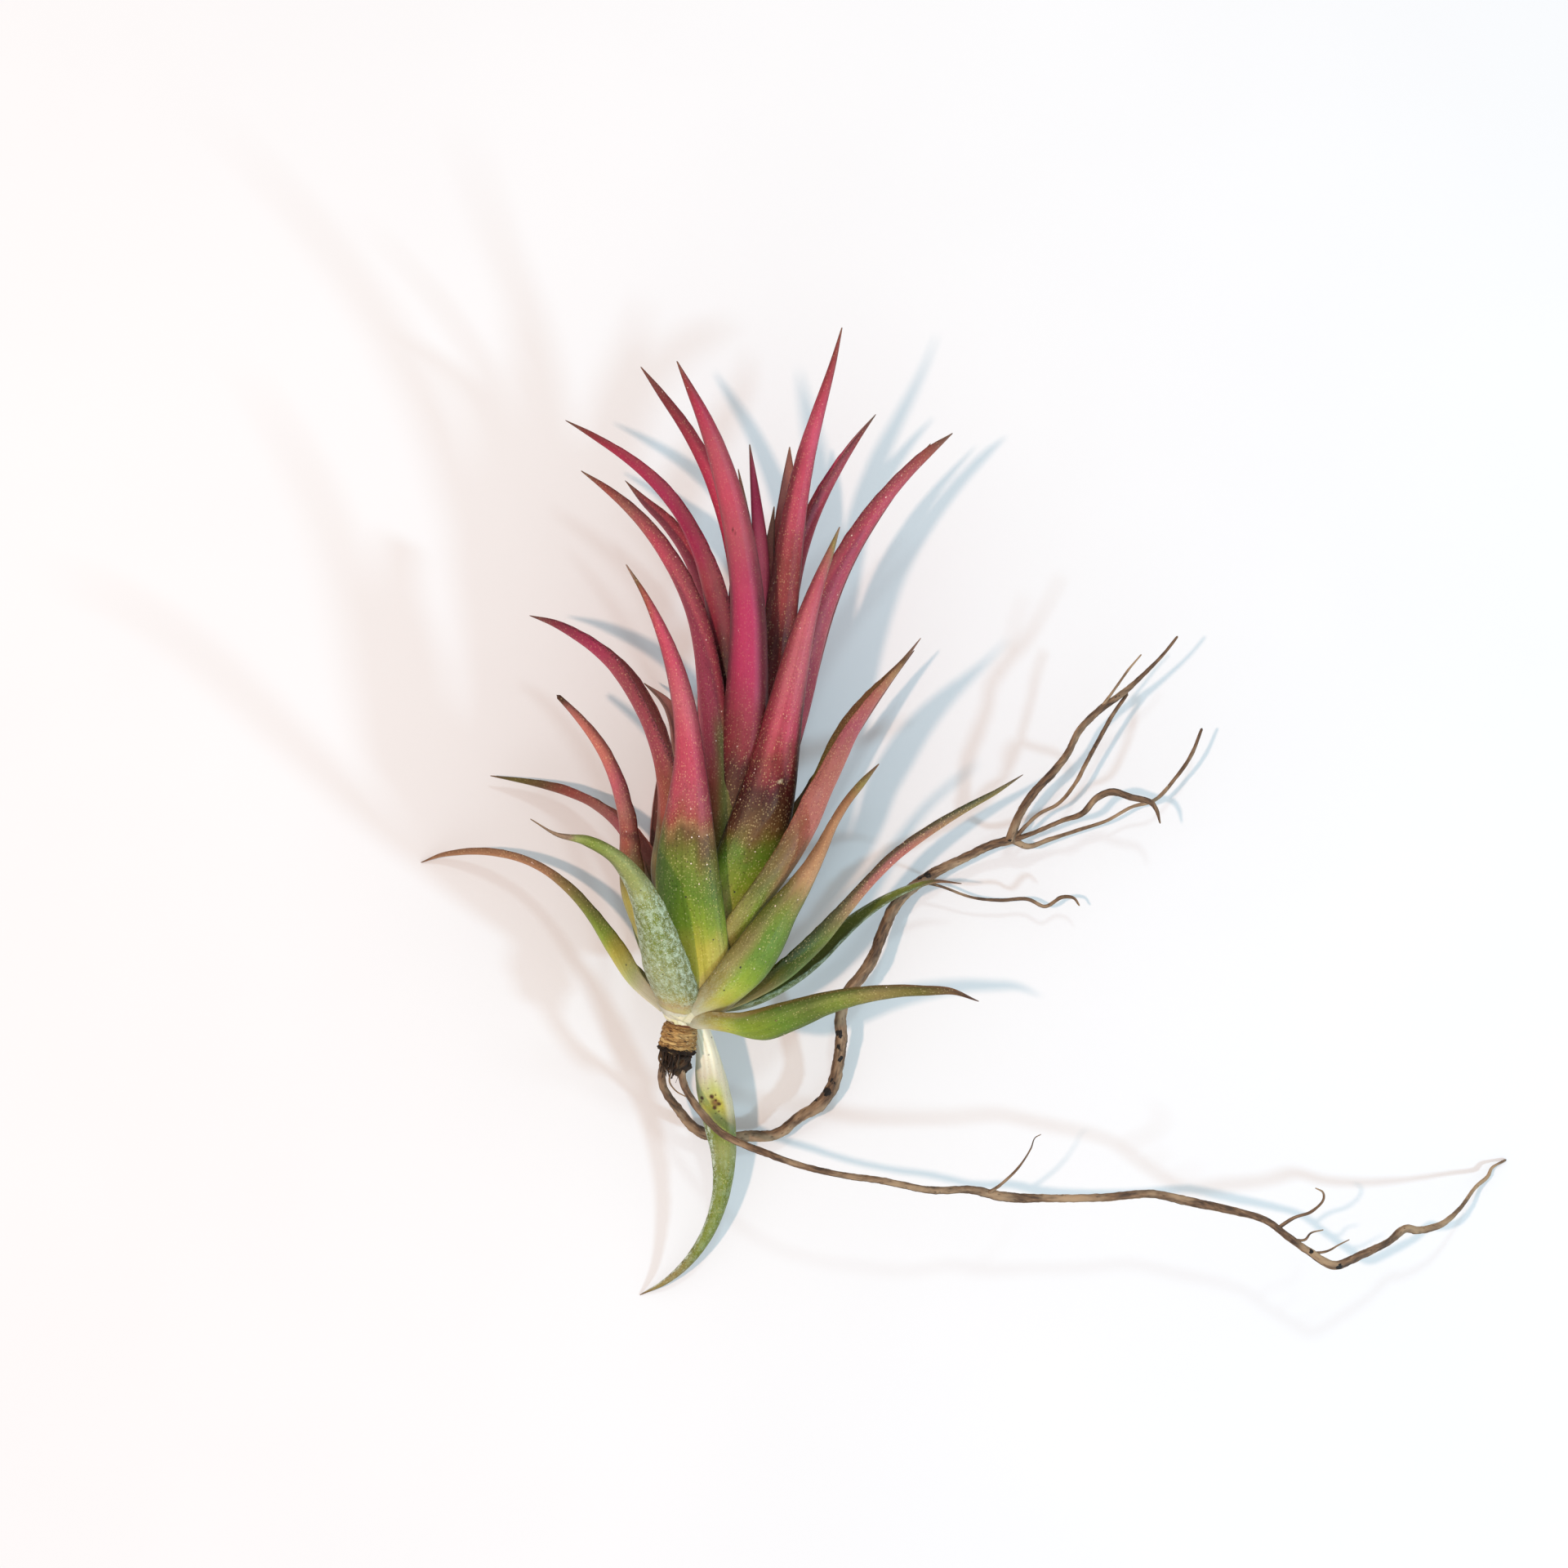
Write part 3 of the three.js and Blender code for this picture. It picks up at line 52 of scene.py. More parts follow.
# name: azimuth, then rows of x, y, z, half width, depth, twist
LEAVES = {
    "leaf_01": ("leaf_01", -14.0, [
        (-12.19, -27.3, 16.14, 2.6, 1.2, 0), (-12.72, -24.84, 20.19, 2.92, 1.31, 0), (-13.43, -22.22, 24.02, 3.07, 1.52, 0), (-14.09, -19.43, 27.58, 2.78, 1.49, -0.25),
        (-14.67, -16.5, 30.84, 2.33, 1.36, -2.72), (-15.48, -13.55, 33.74, 1.83, 1.18, -9.34), (-16.76, -10.68, 36.25, 1.32, 0.96, -21.16), (-18.7, -8.13, 38.33, 0.86, 0.68, -39.83),
        (-21.52, -6.39, 39.82, 0.64, 0.49, -62.41), (-24.91, -5.58, 40.39, 0.24, 0.2, -64.88), (-27.9, -3.87, 40, 0.06, 0.08, -60),
    ]),
    "leaf_02": ("leaf_02", 28.0, [
        (-9.8, -27.34, 16.09, 2.8, 1.3, 0), (-7.73, -25.34, 20.01, 2.93, 1.58, 0), (-5.16, -22.66, 22.92, 3.13, 2.13, 0), (-2.34, -19.04, 23.68, 2.85, 2.25, 0),
        (-0.15, -15.09, 23.83, 2.15, 1.89, 0), (2.18, -11.49, 24.41, 1.44, 1.39, 0), (4.09, -8.04, 25.59, 0.93, 0.96, 0), (5.58, -4.9, 27.39, 0.64, 0.68, 0),
        (7.1, -2.21, 29.52, 0.57, 0.58, 0), (8.84, 0.09, 31.73, 0.49, 0.47, 0), (10.61, 2.2, 34, 0.08, 0.1, 0),
    ]),
    "leaf_03": ("leaf_03", 38.0, [
        (-9.81, -28.3, 15.12, 2.2, 1.2, 0), (-7.45, -28.05, 18.54, 2.23, 1.42, 22.78), (-3.36, -28.41, 20.52, 2.25, 1.6, 42.71), (0.64, -27.09, 22.1, 1.89, 1.48, 51.2),
        (4.52, -25.6, 23.26, 1.44, 1.25, 54.57), (8.42, -24.59, 23.91, 1.11, 1.05, 55.02), (12.26, -24.11, 24.02, 0.86, 0.86, 55.03), (15.92, -23.99, 23.65, 0.67, 0.68, 54.95),
        (19.36, -24.07, 22.85, 0.47, 0.5, 54.99), (22.49, -25.14, 22, 0.06, 0.1, 55),
    ]),
    "leaf_04": ("leaf_04", -10.0, [
        (-11.99, -27.27, 16.4, 3, 1.5, 0), (-10.38, -24.37, 20.2, 3.44, 1.59, 0), (-10.31, -20.13, 22.94, 3.85, 1.83, 0), (-10.84, -15.52, 24.78, 4.02, 2.09, 0),
        (-11.25, -10.85, 26.13, 3.82, 2.26, 0), (-11.23, -6.25, 27.26, 3.22, 2.25, 0), (-11.02, -1.77, 28.25, 2.46, 2.12, 0), (-10.93, 2.56, 29.15, 1.81, 1.92, 0),
        (-11.21, 6.72, 29.98, 1.47, 1.68, 0), (-11.88, 10.69, 30.74, 1.25, 1.4, 0), (-12.89, 14.46, 31.43, 0.97, 1.06, 0), (-14.21, 18.03, 32.04, 0.66, 0.73, 0),
        (-15.82, 21.4, 32.57, 0.35, 0.4, 0), (-17.71, 24.59, 33, 0.08, 0.1, 0),
    ]),
    "leaf_05": ("leaf_05", 20.0, [
        (-10.05, -25.61, 16.39, 3.2, 1.6, 0), (-8.59, -22.02, 19.37, 3.59, 1.78, 0), (-7.1, -17.65, 20.94, 3.9, 1.96, 0), (-5.43, -13.19, 21.72, 4.06, 2.11, 0),
        (-3.78, -8.77, 22.09, 4.01, 2.23, 0), (-2.41, -4.38, 22.34, 3.72, 2.33, 0), (-1.34, -0.03, 22.61, 3.26, 2.36, 0), (-0.47, 4.2, 22.96, 2.74, 2.32, 0),
        (0.33, 8.28, 23.45, 2.25, 2.16, 0), (1.14, 12.19, 24.08, 1.86, 1.91, 0), (1.99, 15.92, 24.84, 1.51, 1.58, 0), (2.94, 19.48, 25.7, 1.16, 1.22, 0),
        (4.02, 22.89, 26.63, 0.8, 0.84, 0), (5.22, 26.1, 27.83, 0.48, 0.52, 0), (6.3, 29.08, 29.5, 0.08, 0.1, 0),
    ]),
    "leaf_06": ("leaf_06", 66.0, [
        (-8.15, -26.51, 14.64, 3, 1.5, 0), (-7.98, -23.08, 17.91, 3.18, 1.74, 0.1), (-6.51, -19.38, 20.44, 3.22, 1.93, -0.33), (-4.28, -15.64, 22.08, 3.13, 2.09, -1.62),
        (-1.77, -11.91, 22.86, 2.96, 2.27, -4.07), (0.62, -8.19, 22.85, 2.75, 2.49, -8.05), (2.58, -4.41, 22.36, 2.65, 2.71, -13.86), (4.11, -0.6, 22.08, 2.52, 2.75, -20.38),
        (5.77, 2.85, 23.13, 2.31, 2.59, -25.44), (7.43, 6.08, 24.35, 1.96, 2.21, -28.08), (9.32, 8.95, 25.7, 1.43, 1.65, -28.27), (11.38, 11.49, 27.2, 0.88, 1.05, -26.86),
        (13.47, 13.91, 28.7, 0.41, 0.51, -24.09), (15.45, 16.46, 30, 0.08, 0.1, -20),
    ]),
    "leaf_07": ("leaf_07", -90.0, [
        (-14.11, -26.48, 13.08, 2.2, 1.3, 0), (-17.41, -23.16, 13.02, 2.84, 2.15, -7.17), (-20.13, -19.46, 12.44, 1.97, 1.91, -19.02), (-22.69, -15.94, 11.25, 1.16, 1.34, -23.9),
        (-25.39, -12.91, 9.67, 0.91, 1.13, -24.96), (-28.4, -10.59, 7.95, 0.74, 0.92, -24.99), (-31.67, -9.1, 6.26, 0.68, 0.83, -24.8), (-35, -8.34, 4.63, 0.7, 0.82, -23.92),
        (-38.26, -8.18, 3.04, 0.61, 0.7, -21.96), (-41.38, -8.56, 1.48, 0.42, 0.5, -20.45), (-44.36, -9.59, 0.08, 0.08, 0.1, -20),
    ]),
    "leaf_08": ("leaf_08", -50.0, [
        (-13.77, -24.44, 15.79, 3, 1.5, 0), (-14.23, -21.04, 18.93, 3.24, 1.81, 0), (-15.99, -17.13, 20.73, 2.96, 1.88, 0), (-17.58, -13.04, 21.88, 2.39, 1.77, 0),
        (-18.12, -8.74, 22.5, 1.76, 1.58, 0), (-18.37, -4.56, 22.58, 1.27, 1.39, 0), (-19.19, -0.69, 22.15, 1.02, 1.29, 0), (-20.57, 2.67, 21.07, 0.86, 1.17, 0),
        (-22.27, 5.51, 19.57, 0.69, 0.98, 0), (-24.24, 7.96, 17.97, 0.51, 0.74, 0), (-26.46, 10.16, 16.5, 0.3, 0.45, 0),
    ]),
    "leaf_09": ("leaf_09", 80.0, [
        (-8.1, -26.48, 13.8, 2.8, 1.4, 0), (-4.08, -24.61, 16.01, 2.99, 1.73, 0.02), (-0.01, -21.93, 16.62, 2.92, 2.29, 0.34), (3.57, -18.72, 16.27, 2.34, 2.25, 0.38),
        (6.63, -15.28, 15.43, 1.49, 1.68, 0.25), (9.52, -11.97, 14.42, 1.12, 1.39, 0.68), (12.54, -9.03, 13.49, 1.07, 1.37, 1.5), (15.73, -6.54, 12.67, 1, 1.29, 2.32),
        (18.96, -4.41, 11.88, 0.87, 1.11, 3.09), (22.19, -2.56, 11.09, 0.69, 0.86, 3.59), (25.41, -0.86, 10.4, 0.5, 0.58, 3.01), (28.47, 1.07, 10, 0.08, 0.1, 0),
    ]),
    "leaf_10": ("leaf_10", 125.0, [
        (-8.77, -26.29, 11.51, 2.6, 1.3, 0), (-4.45, -25.4, 11.99, 2.77, 1.65, -0.18), (-0.5, -23.61, 11.38, 2.43, 1.75, -2.91), (2.91, -21.28, 10.33, 2.01, 1.61, -8.41),
        (5.91, -18.71, 9.32, 1.46, 1.25, -13.55), (8.81, -16.26, 8.59, 0.96, 0.89, -15.36), (11.8, -14.18, 8.21, 0.69, 0.67, -14.12), (14.91, -12.62, 8.05, 0.52, 0.51, -10.33),
        (18.12, -11.7, 7.99, 0.36, 0.35, -4.82), (21.29, -11.97, 7.5, 0.06, 0.1, 0),
    ]),
    "leaf_11": ("leaf_11", 165.0, [
        (-10.94, -26.99, 11.51, 1.19, 0.5, 0), (-9.48, -31.26, 10.03, 1.33, 0.6, 0), (-8.79, -35.79, 8.79, 2.04, 0.88, 0), (-8.02, -40.23, 7.75, 2.09, 1.01, 0),
        (-7.43, -44.56, 6.93, 1.59, 0.95, 0), (-7.6, -48.71, 5.97, 1.17, 0.86, 0), (-8.53, -52.5, 4.87, 0.91, 0.75, 0), (-10.1, -55.84, 3.68, 0.73, 0.63, 0),
        (-12.18, -58.65, 2.47, 0.56, 0.48, 0), (-14.7, -60.9, 1.24, 0.35, 0.31, 0), (-17.59, -62.54, 0.05, 0.06, 0.1, 0),
    ]),
    "leaf_12": ("leaf_12", -6.0, [
        (-10.39, -18.94, 16.68, 3.4, 1.6, 0), (-8.27, -14.73, 18.8, 3.39, 1.85, 0), (-7.24, -9.84, 20.1, 3.3, 2.06, 0), (-6.5, -4.84, 20.9, 3.16, 2.21, 0),
        (-5.65, 0.09, 21.54, 2.97, 2.31, 0), (-4.92, 4.91, 22.29, 2.76, 2.35, 0), (-4.49, 9.6, 23.37, 2.53, 2.35, 0), (-4.27, 14.13, 24.63, 2.3, 2.29, 0),
        (-4.23, 18.51, 25.9, 2.09, 2.19, 0), (-4.52, 22.74, 27.18, 1.9, 2.04, 0), (-5.05, 26.78, 28.53, 1.74, 1.86, 0), (-5.79, 30.61, 29.96, 1.58, 1.64, 0),
        (-6.72, 34.25, 31.49, 1.4, 1.39, 0), (-7.82, 37.67, 33.13, 1.16, 1.13, 0), (-9.1, 40.88, 34.87, 0.86, 0.83, 0), (-10.5, 43.88, 36.79, 0.5, 0.49, 0),
        (-11.82, 46.66, 39, 0.08, 0.1, 0),
    ]),
    "leaf_13": ("leaf_13", -50.0, [
        (-12.41, -20.54, 15.83, 3.4, 1.6, 0), (-9.83, -16.96, 18.24, 3.39, 1.75, 0), (-8.64, -12.29, 19.62, 3.35, 1.95, 0), (-8.34, -7.36, 20.2, 3.26, 2.13, 0),
        (-8.27, -2.47, 20.41, 3.06, 2.25, 0), (-8.28, 2.32, 20.62, 2.75, 2.26, 0), (-8.48, 6.97, 20.92, 2.34, 2.16, 0), (-8.87, 11.47, 21.08, 1.92, 1.99, 0),
        (-9.48, 15.81, 20.92, 1.58, 1.8, 0), (-10.48, 19.91, 20.49, 1.36, 1.65, 0), (-11.99, 23.68, 19.94, 1.23, 1.57, 0), (-13.91, 27.08, 19.18, 1.11, 1.45, 0),
        (-16.15, 30.06, 18.15, 0.94, 1.25, 0), (-18.61, 32.63, 16.85, 0.74, 0.97, 0), (-21.22, 34.89, 15.42, 0.48, 0.6, 0), (-23.93, 36.96, 14, 0.08, 0.1, 0),
    ]),
    "leaf_14": ("leaf_14", 25.0, [
        (-9.24, -19.08, 16.49, 3.01, 1.59, 0), (-7.58, -14.01, 17.4, 2.92, 1.77, 0), (-6.21, -8.85, 18.07, 2.82, 1.91, 0), (-4.91, -3.71, 18.56, 2.71, 2, 0),
        (-3.57, 1.35, 18.93, 2.59, 2.04, 0), (-2.32, 6.33, 19.24, 2.45, 2.05, 0), (-1.28, 11.24, 19.57, 2.3, 2.01, 0), (-0.51, 16.06, 19.96, 2.14, 1.94, 0),
        (0.08, 20.74, 20.49, 1.96, 1.83, 0), (0.59, 25.26, 21.2, 1.77, 1.7, 0), (1.15, 29.6, 22.1, 1.57, 1.53, 0), (1.85, 33.74, 23.2, 1.36, 1.34, 0),
        (2.68, 37.57, 24.73, 1.14, 1.13, 0), (3.62, 41.01, 26.77, 0.9, 0.9, 0), (4.63, 44.36, 28.77, 0.65, 0.65, 0), (5.64, 47.78, 30.54, 0.38, 0.39, 0),
        (6.53, 51.34, 32, 0.08, 0.1, 0),
    ]),
    "leaf_15": ("leaf_15", -68.0, [
        (-13.98, -23.23, 14.93, 3.2, 1.6, 0), (-12.7, -19.15, 17.36, 3.57, 1.84, -0.02), (-13.2, -14.93, 19.67, 3.57, 2.07, 0.06), (-14.12, -10.49, 21.25, 3.37, 2.28, -0.03),
        (-13.56, -5.96, 22.35, 3.09, 2.43, 0.77), (-13.31, -1.43, 22.89, 2.64, 2.47, 6.37), (-13.97, 2.94, 22.84, 1.99, 2.25, 21.36), (-15.31, 6.92, 22.2, 1.5, 2.04, 34.36),
        (-17.13, 10.4, 21.01, 1.38, 2.04, 31.57), (-19.28, 13.31, 19.41, 1.27, 1.91, 21.16), (-21.67, 15.67, 17.61, 1.09, 1.63, 11.46), (-24.28, 17.55, 15.75, 0.88, 1.29, 4.38),
        (-27.1, 18.98, 13.94, 0.61, 0.84, 0.58), (-30.14, 19.97, 12.3, 0.08, 0.1, 0),
    ]),
    "leaf_16": ("leaf_16", 60.0, [
        (-8.2, -21.11, 15.47, 3, 1.6, 0), (-8, -16.11, 16.12, 2.98, 1.65, 0), (-6.84, -11.24, 16.59, 2.93, 1.74, 0), (-5.06, -6.61, 16.86, 2.87, 1.86, 0),
        (-2.94, -2.19, 16.95, 2.77, 1.98, 0), (-0.8, 2.12, 16.92, 2.66, 2.09, 0), (0.97, 6.47, 17, 2.52, 2.17, 0), (2.14, 10.87, 17.35, 2.37, 2.22, 0),
        (3.12, 15.16, 17.92, 2.2, 2.22, 0), (4.29, 19.24, 18.63, 2.01, 2.16, 0), (5.72, 23.09, 19.39, 1.81, 2.04, 0), (7.46, 26.68, 20.05, 1.59, 1.86, 0),
        (9.51, 30.02, 20.45, 1.37, 1.62, 0), (11.79, 33.11, 20.56, 1.16, 1.36, 0), (14.27, 35.94, 20.33, 0.97, 1.12, 0), (16.89, 38.51, 19.78, 0.75, 0.84, 0),
        (19.62, 40.86, 19, 0.08, 0.1, 0),
    ]),
    "leaf_17": ("leaf_17", -105.0, [
        (-13.87, -22.89, 12.86, 2.6, 1.4, 0), (-12.83, -18.55, 13.01, 2.99, 1.69, -0.06), (-14.26, -14.34, 12.54, 2.82, 1.87, 0.14), (-16.15, -10.53, 11.46, 2.39, 1.92, -0.08),
        (-17.98, -7.07, 9.88, 1.96, 1.87, -1.32), (-20.27, -4.28, 8.07, 1.43, 1.51, -6.97), (-23.03, -2.27, 6.3, 1.07, 1.18, -14.36), (-26.09, -0.98, 4.77, 1.12, 1.18, -14.42),
        (-29.27, -0.14, 3.52, 0.88, 0.94, -11.46), (-32.48, 0.46, 2.59, 0.51, 0.56, -7.24), (-35.72, 0.99, 2, 0.08, 0.1, 0),
    ]),
    "leaf_18": ("leaf_18", -70.0, [
        (-11.98, -18.45, 15.2, 2.8, 1.5, 0), (-9.65, -14.1, 16.27, 2.81, 1.62, -0.01), (-8.38, -9.29, 17.01, 2.77, 1.78, 0), (-7.83, -4.36, 17.53, 2.7, 1.95, 0.01),
        (-7.57, 0.52, 17.98, 2.6, 2.12, 0.01), (-7.34, 5.31, 18.42, 2.5, 2.27, 0), (-7.2, 10, 18.77, 2.41, 2.4, -0.05), (-7.24, 14.57, 18.95, 2.32, 2.49, 0.23),
        (-7.59, 19.01, 18.98, 2.19, 2.5, 2.07), (-8.36, 23.25, 18.86, 1.97, 2.39, 6.76), (-9.64, 27.21, 18.62, 1.66, 2.13, 12.71), (-11.48, 30.81, 18.26, 1.34, 1.83, 9.44),
        (-13.79, 33.97, 17.83, 1.12, 1.62, 2.08), (-16.45, 36.71, 17.36, 0.91, 1.36, -0.12), (-19.39, 39.02, 16.87, 0.73, 1.05, 0), (-22.49, 40.99, 16.31, 0.52, 0.68, 0.02),
        (-25.66, 42.76, 15.6, 0.08, 0.1, 0),
    ]),
    "leaf_19": ("leaf_19", -35.0, [
        (-10.76, -16.74, 16.16, 2.4, 1.2, 0), (-8.66, -12.28, 16.76, 2.4, 1.32, 0), (-7.41, -7.49, 17.03, 2.39, 1.44, 0), (-6.66, -2.65, 17.19, 2.36, 1.53, 0),
        (-6.04, 2.14, 17.46, 2.31, 1.6, 0), (-5.39, 6.81, 17.94, 2.24, 1.64, 0), (-4.89, 11.37, 18.5, 2.14, 1.66, 0), (-4.7, 15.84, 19.02, 2.03, 1.65, 0),
        (-4.83, 20.19, 19.49, 1.89, 1.61, 0), (-5.3, 24.39, 19.89, 1.73, 1.53, 0), (-6.09, 28.41, 20.21, 1.55, 1.43, 0), (-7.21, 32.23, 20.47, 1.35, 1.3, 0),
        (-8.64, 35.82, 20.85, 1.14, 1.15, 0), (-10.35, 39.14, 21.48, 0.97, 0.99, 0), (-12.28, 42.22, 22.22, 0.8, 0.8, 0), (-14.36, 45.13, 23.02, 0.56, 0.54, 0),
        (-16.45, 47.94, 24, 0.08, 0.1, 0),
    ]),
    "leaf_20": ("leaf_20", 105.0, [
        (-7.76, -23.8, 12.86, 2.81, 1.5, 0), (-6.99, -18.98, 13.05, 2.88, 1.71, 0), (-4.8, -14.66, 12.85, 2.79, 1.83, 0), (-2.24, -10.66, 12.44, 2.6, 1.88, 0),
        (0.17, -6.76, 11.92, 2.33, 1.84, 0), (2.47, -3, 11.32, 2.02, 1.75, 0), (4.68, 0.57, 10.65, 1.71, 1.59, 0), (6.85, 3.94, 9.96, 1.4, 1.39, 0),
        (9.01, 7.13, 9.36, 1.1, 1.14, 0), (11.16, 10.18, 8.95, 0.78, 0.85, 0), (13.33, 13.1, 8.8, 0.45, 0.5, 0), (15.54, 15.93, 9, 0.08, 0.1, 0),
    ]),
    "leaf_21": ("leaf_21", 62.0, [
        (-8.33, -21.06, 15.3, 2.81, 1.4, 0), (-7.47, -15.97, 15.54, 2.76, 1.53, 0), (-5.78, -11.13, 15.38, 2.69, 1.66, 0), (-3.73, -6.49, 14.99, 2.59, 1.76, 0),
        (-1.72, -1.94, 14.56, 2.47, 1.85, 0), (0.02, 2.62, 14.22, 2.32, 1.9, 0), (1.44, 7.16, 14.08, 2.16, 1.92, 0), (2.63, 11.62, 14.12, 1.99, 1.91, 0),
        (3.78, 15.95, 14.24, 1.81, 1.86, 0), (5.03, 20.09, 14.36, 1.63, 1.77, 0), (6.52, 24, 14.4, 1.44, 1.64, 0), (8.34, 27.63, 14.31, 1.24, 1.47, 0),
        (10.44, 30.98, 14.2, 1.04, 1.26, 0), (12.69, 34.12, 14.29, 0.79, 0.98, 0), (14.99, 37.1, 14.82, 0.48, 0.6, 0), (17.19, 39.94, 16, 0.08, 0.1, 0),
    ]),
    "leaf_22": ("leaf_22", 100.0, [
        (-8.15, -18.84, 14.18, 2.6, 1.4, 0), (-7.71, -13.79, 14.19, 2.59, 1.49, 0), (-6.8, -8.84, 14.35, 2.56, 1.59, 0), (-5.58, -4.03, 14.64, 2.5, 1.69, 0),
        (-4.21, 0.66, 15.01, 2.43, 1.79, 0), (-2.84, 5.23, 15.41, 2.33, 1.87, 0), (-1.6, 9.7, 15.83, 2.23, 1.94, 0), (-0.58, 14.1, 16.22, 2.1, 1.99, 0),
        (0.21, 18.39, 16.56, 1.97, 2.01, 0), (0.88, 22.57, 16.83, 1.81, 1.99, 0), (1.66, 26.59, 17.08, 1.63, 1.9, 0), (2.84, 30.38, 17.41, 1.4, 1.74, 0),
        (4.43, 33.88, 17.87, 1.14, 1.5, 0), (6.31, 37.11, 18.45, 0.83, 1.16, 0), (8.41, 40.11, 19.16, 0.48, 0.7, 0), (10.64, 42.94, 20, 0.08, 0.1, 0),
    ]),
    "leaf_23": ("leaf_23", -85.0, [
        (-12.08, -18.34, 14.7, 2.4, 1.4, 0), (-10.13, -13.87, 14.78, 2.38, 1.43, 0), (-8.83, -9.2, 14.99, 2.34, 1.5, 0), (-8.09, -4.47, 15.27, 2.28, 1.61, 0),
        (-7.77, 0.2, 15.56, 2.22, 1.74, 0), (-7.71, 4.78, 15.82, 2.14, 1.86, 0), (-7.79, 9.22, 16, 2.04, 1.97, 0), (-7.93, 13.52, 16.07, 1.93, 2.05, 0),
        (-8.27, 17.66, 15.95, 1.82, 2.1, 0), (-8.96, 21.59, 15.59, 1.68, 2.1, 0), (-10.14, 25.22, 14.92, 1.54, 2.05, 0), (-11.82, 28.45, 13.99, 1.37, 1.92, 0),
        (-13.98, 31.23, 12.99, 1.11, 1.62, 0), (-16.51, 33.61, 12.02, 0.7, 1.04, 0), (-18.87, 36.08, 11, 0.08, 0.1, 0),
    ]),
    "leaf_24": ("leaf_24", -140.0, [
        (-12, -19.98, 12.22, 2.4, 1.4, 0), (-11.2, -15.63, 11.72, 2.46, 1.46, 0), (-10.76, -11.3, 11.21, 2.42, 1.56, 0), (-10.69, -7.1, 10.62, 2.31, 1.64, 0),
        (-10.96, -3.1, 9.93, 2.14, 1.69, 0), (-11.54, 0.62, 9.12, 1.92, 1.68, 0), (-12.28, 4.09, 8.24, 1.63, 1.55, 0), (-13.05, 7.36, 7.36, 1.19, 1.22, 0),
        (-14.62, 10.09, 6.35, 0.62, 0.7, 0), (-16.88, 12.14, 5.2, 0.08, 0.1, 0),
    ]),
    "leaf_25": ("leaf_25", 10.0, [
        (-9.39, -14.88, 16.08, 1.6, 0.9, 0), (-8.09, -10.29, 17.3, 1.55, 0.88, 0), (-6.99, -5.63, 18.27, 1.52, 0.89, 0), (-6.06, -0.96, 19.01, 1.5, 0.93, 0),
        (-5.26, 3.65, 19.53, 1.48, 0.97, 0), (-4.56, 8.16, 19.87, 1.45, 1.01, 0), (-3.93, 12.53, 20.07, 1.39, 1.03, 0), (-3.34, 16.76, 20.14, 1.32, 1.02, 0),
        (-2.8, 20.82, 20.1, 1.21, 0.98, 0), (-2.56, 24.77, 19.95, 1.06, 0.89, 0), (-2.76, 28.57, 19.74, 0.88, 0.77, 0), (-3.14, 32.26, 19.92, 0.66, 0.6, 0),
        (-3.56, 35.82, 20.56, 0.39, 0.38, 0), (-3.97, 39.27, 21.5, 0.08, 0.1, 0),
    ]),
    "leaf_26": ("leaf_26", 170.0, [
        (-9.5, -16.44, 13.31, 2.2, 1.2, 0), (-8.38, -11.54, 14.23, 2.21, 1.23, 0), (-7.26, -6.65, 14.91, 2.2, 1.28, 0), (-6.16, -1.81, 15.37, 2.18, 1.34, 0),
        (-5.11, 2.95, 15.67, 2.13, 1.4, 0), (-4.12, 7.58, 15.85, 2.06, 1.44, 0), (-3.2, 12.06, 15.96, 1.96, 1.46, 0), (-2.35, 16.4, 16.01, 1.84, 1.45, 0),
        (-1.55, 20.58, 16.05, 1.69, 1.4, 0), (-0.78, 24.6, 16.05, 1.53, 1.32, 0), (-0.13, 28.5, 15.95, 1.33, 1.19, 0), (0.32, 32.31, 15.67, 1.1, 1.01, 0),
        (0.58, 36.04, 15.18, 0.72, 0.68, 0), (0.67, 39.71, 14.5, 0.08, 0.1, 0),
    ]),
    "leaf_27": ("leaf_27", -60.0, [
        (-10.39, -14.66, 15.69, 1.6, 0.9, 0), (-9.3, -10.18, 16.4, 1.55, 0.84, 0), (-8.14, -5.73, 17, 1.51, 0.85, 0), (-7, -1.34, 17.48, 1.49, 0.89, 0),
        (-5.94, 2.98, 17.85, 1.47, 0.96, 0), (-5.03, 7.21, 18.11, 1.44, 1.02, 0), (-4.3, 11.34, 18.27, 1.38, 1.07, 0), (-3.8, 15.35, 18.34, 1.31, 1.09, 0),
        (-3.55, 19.23, 18.33, 1.2, 1.06, 0), (-3.55, 22.98, 18.35, 1.06, 0.99, 0), (-3.82, 26.58, 18.5, 0.89, 0.87, 0), (-4.26, 30.05, 18.92, 0.67, 0.69, 0),
        (-4.79, 33.36, 19.72, 0.4, 0.43, 0), (-5.31, 36.48, 21, 0.08, 0.1, 0),
    ]),
    "leaf_28": ("leaf_28", 150.0, [
        (-9.01, -14.64, 14.35, 1.6, 0.9, 0), (-8.18, -10.35, 15.93, 1.51, 0.82, 0), (-7.27, -6.02, 17.15, 1.47, 0.82, 0), (-6.32, -1.69, 18.05, 1.47, 0.87, 0),
        (-5.4, 2.56, 18.67, 1.48, 0.93, 0), (-4.52, 6.71, 19.08, 1.48, 1, 0), (-3.73, 10.73, 19.32, 1.45, 1.03, 0), (-3.04, 14.6, 19.45, 1.37, 1.03, 0),
        (-2.47, 18.33, 19.5, 1.25, 0.98, 0), (-2.02, 21.94, 19.51, 1.06, 0.87, 0), (-1.69, 25.44, 19.5, 0.81, 0.69, 0), (-1.44, 28.87, 19.49, 0.49, 0.44, 0),
        (-1.14, 32.25, 19.5, 0.08, 0.1, 0),
    ]),
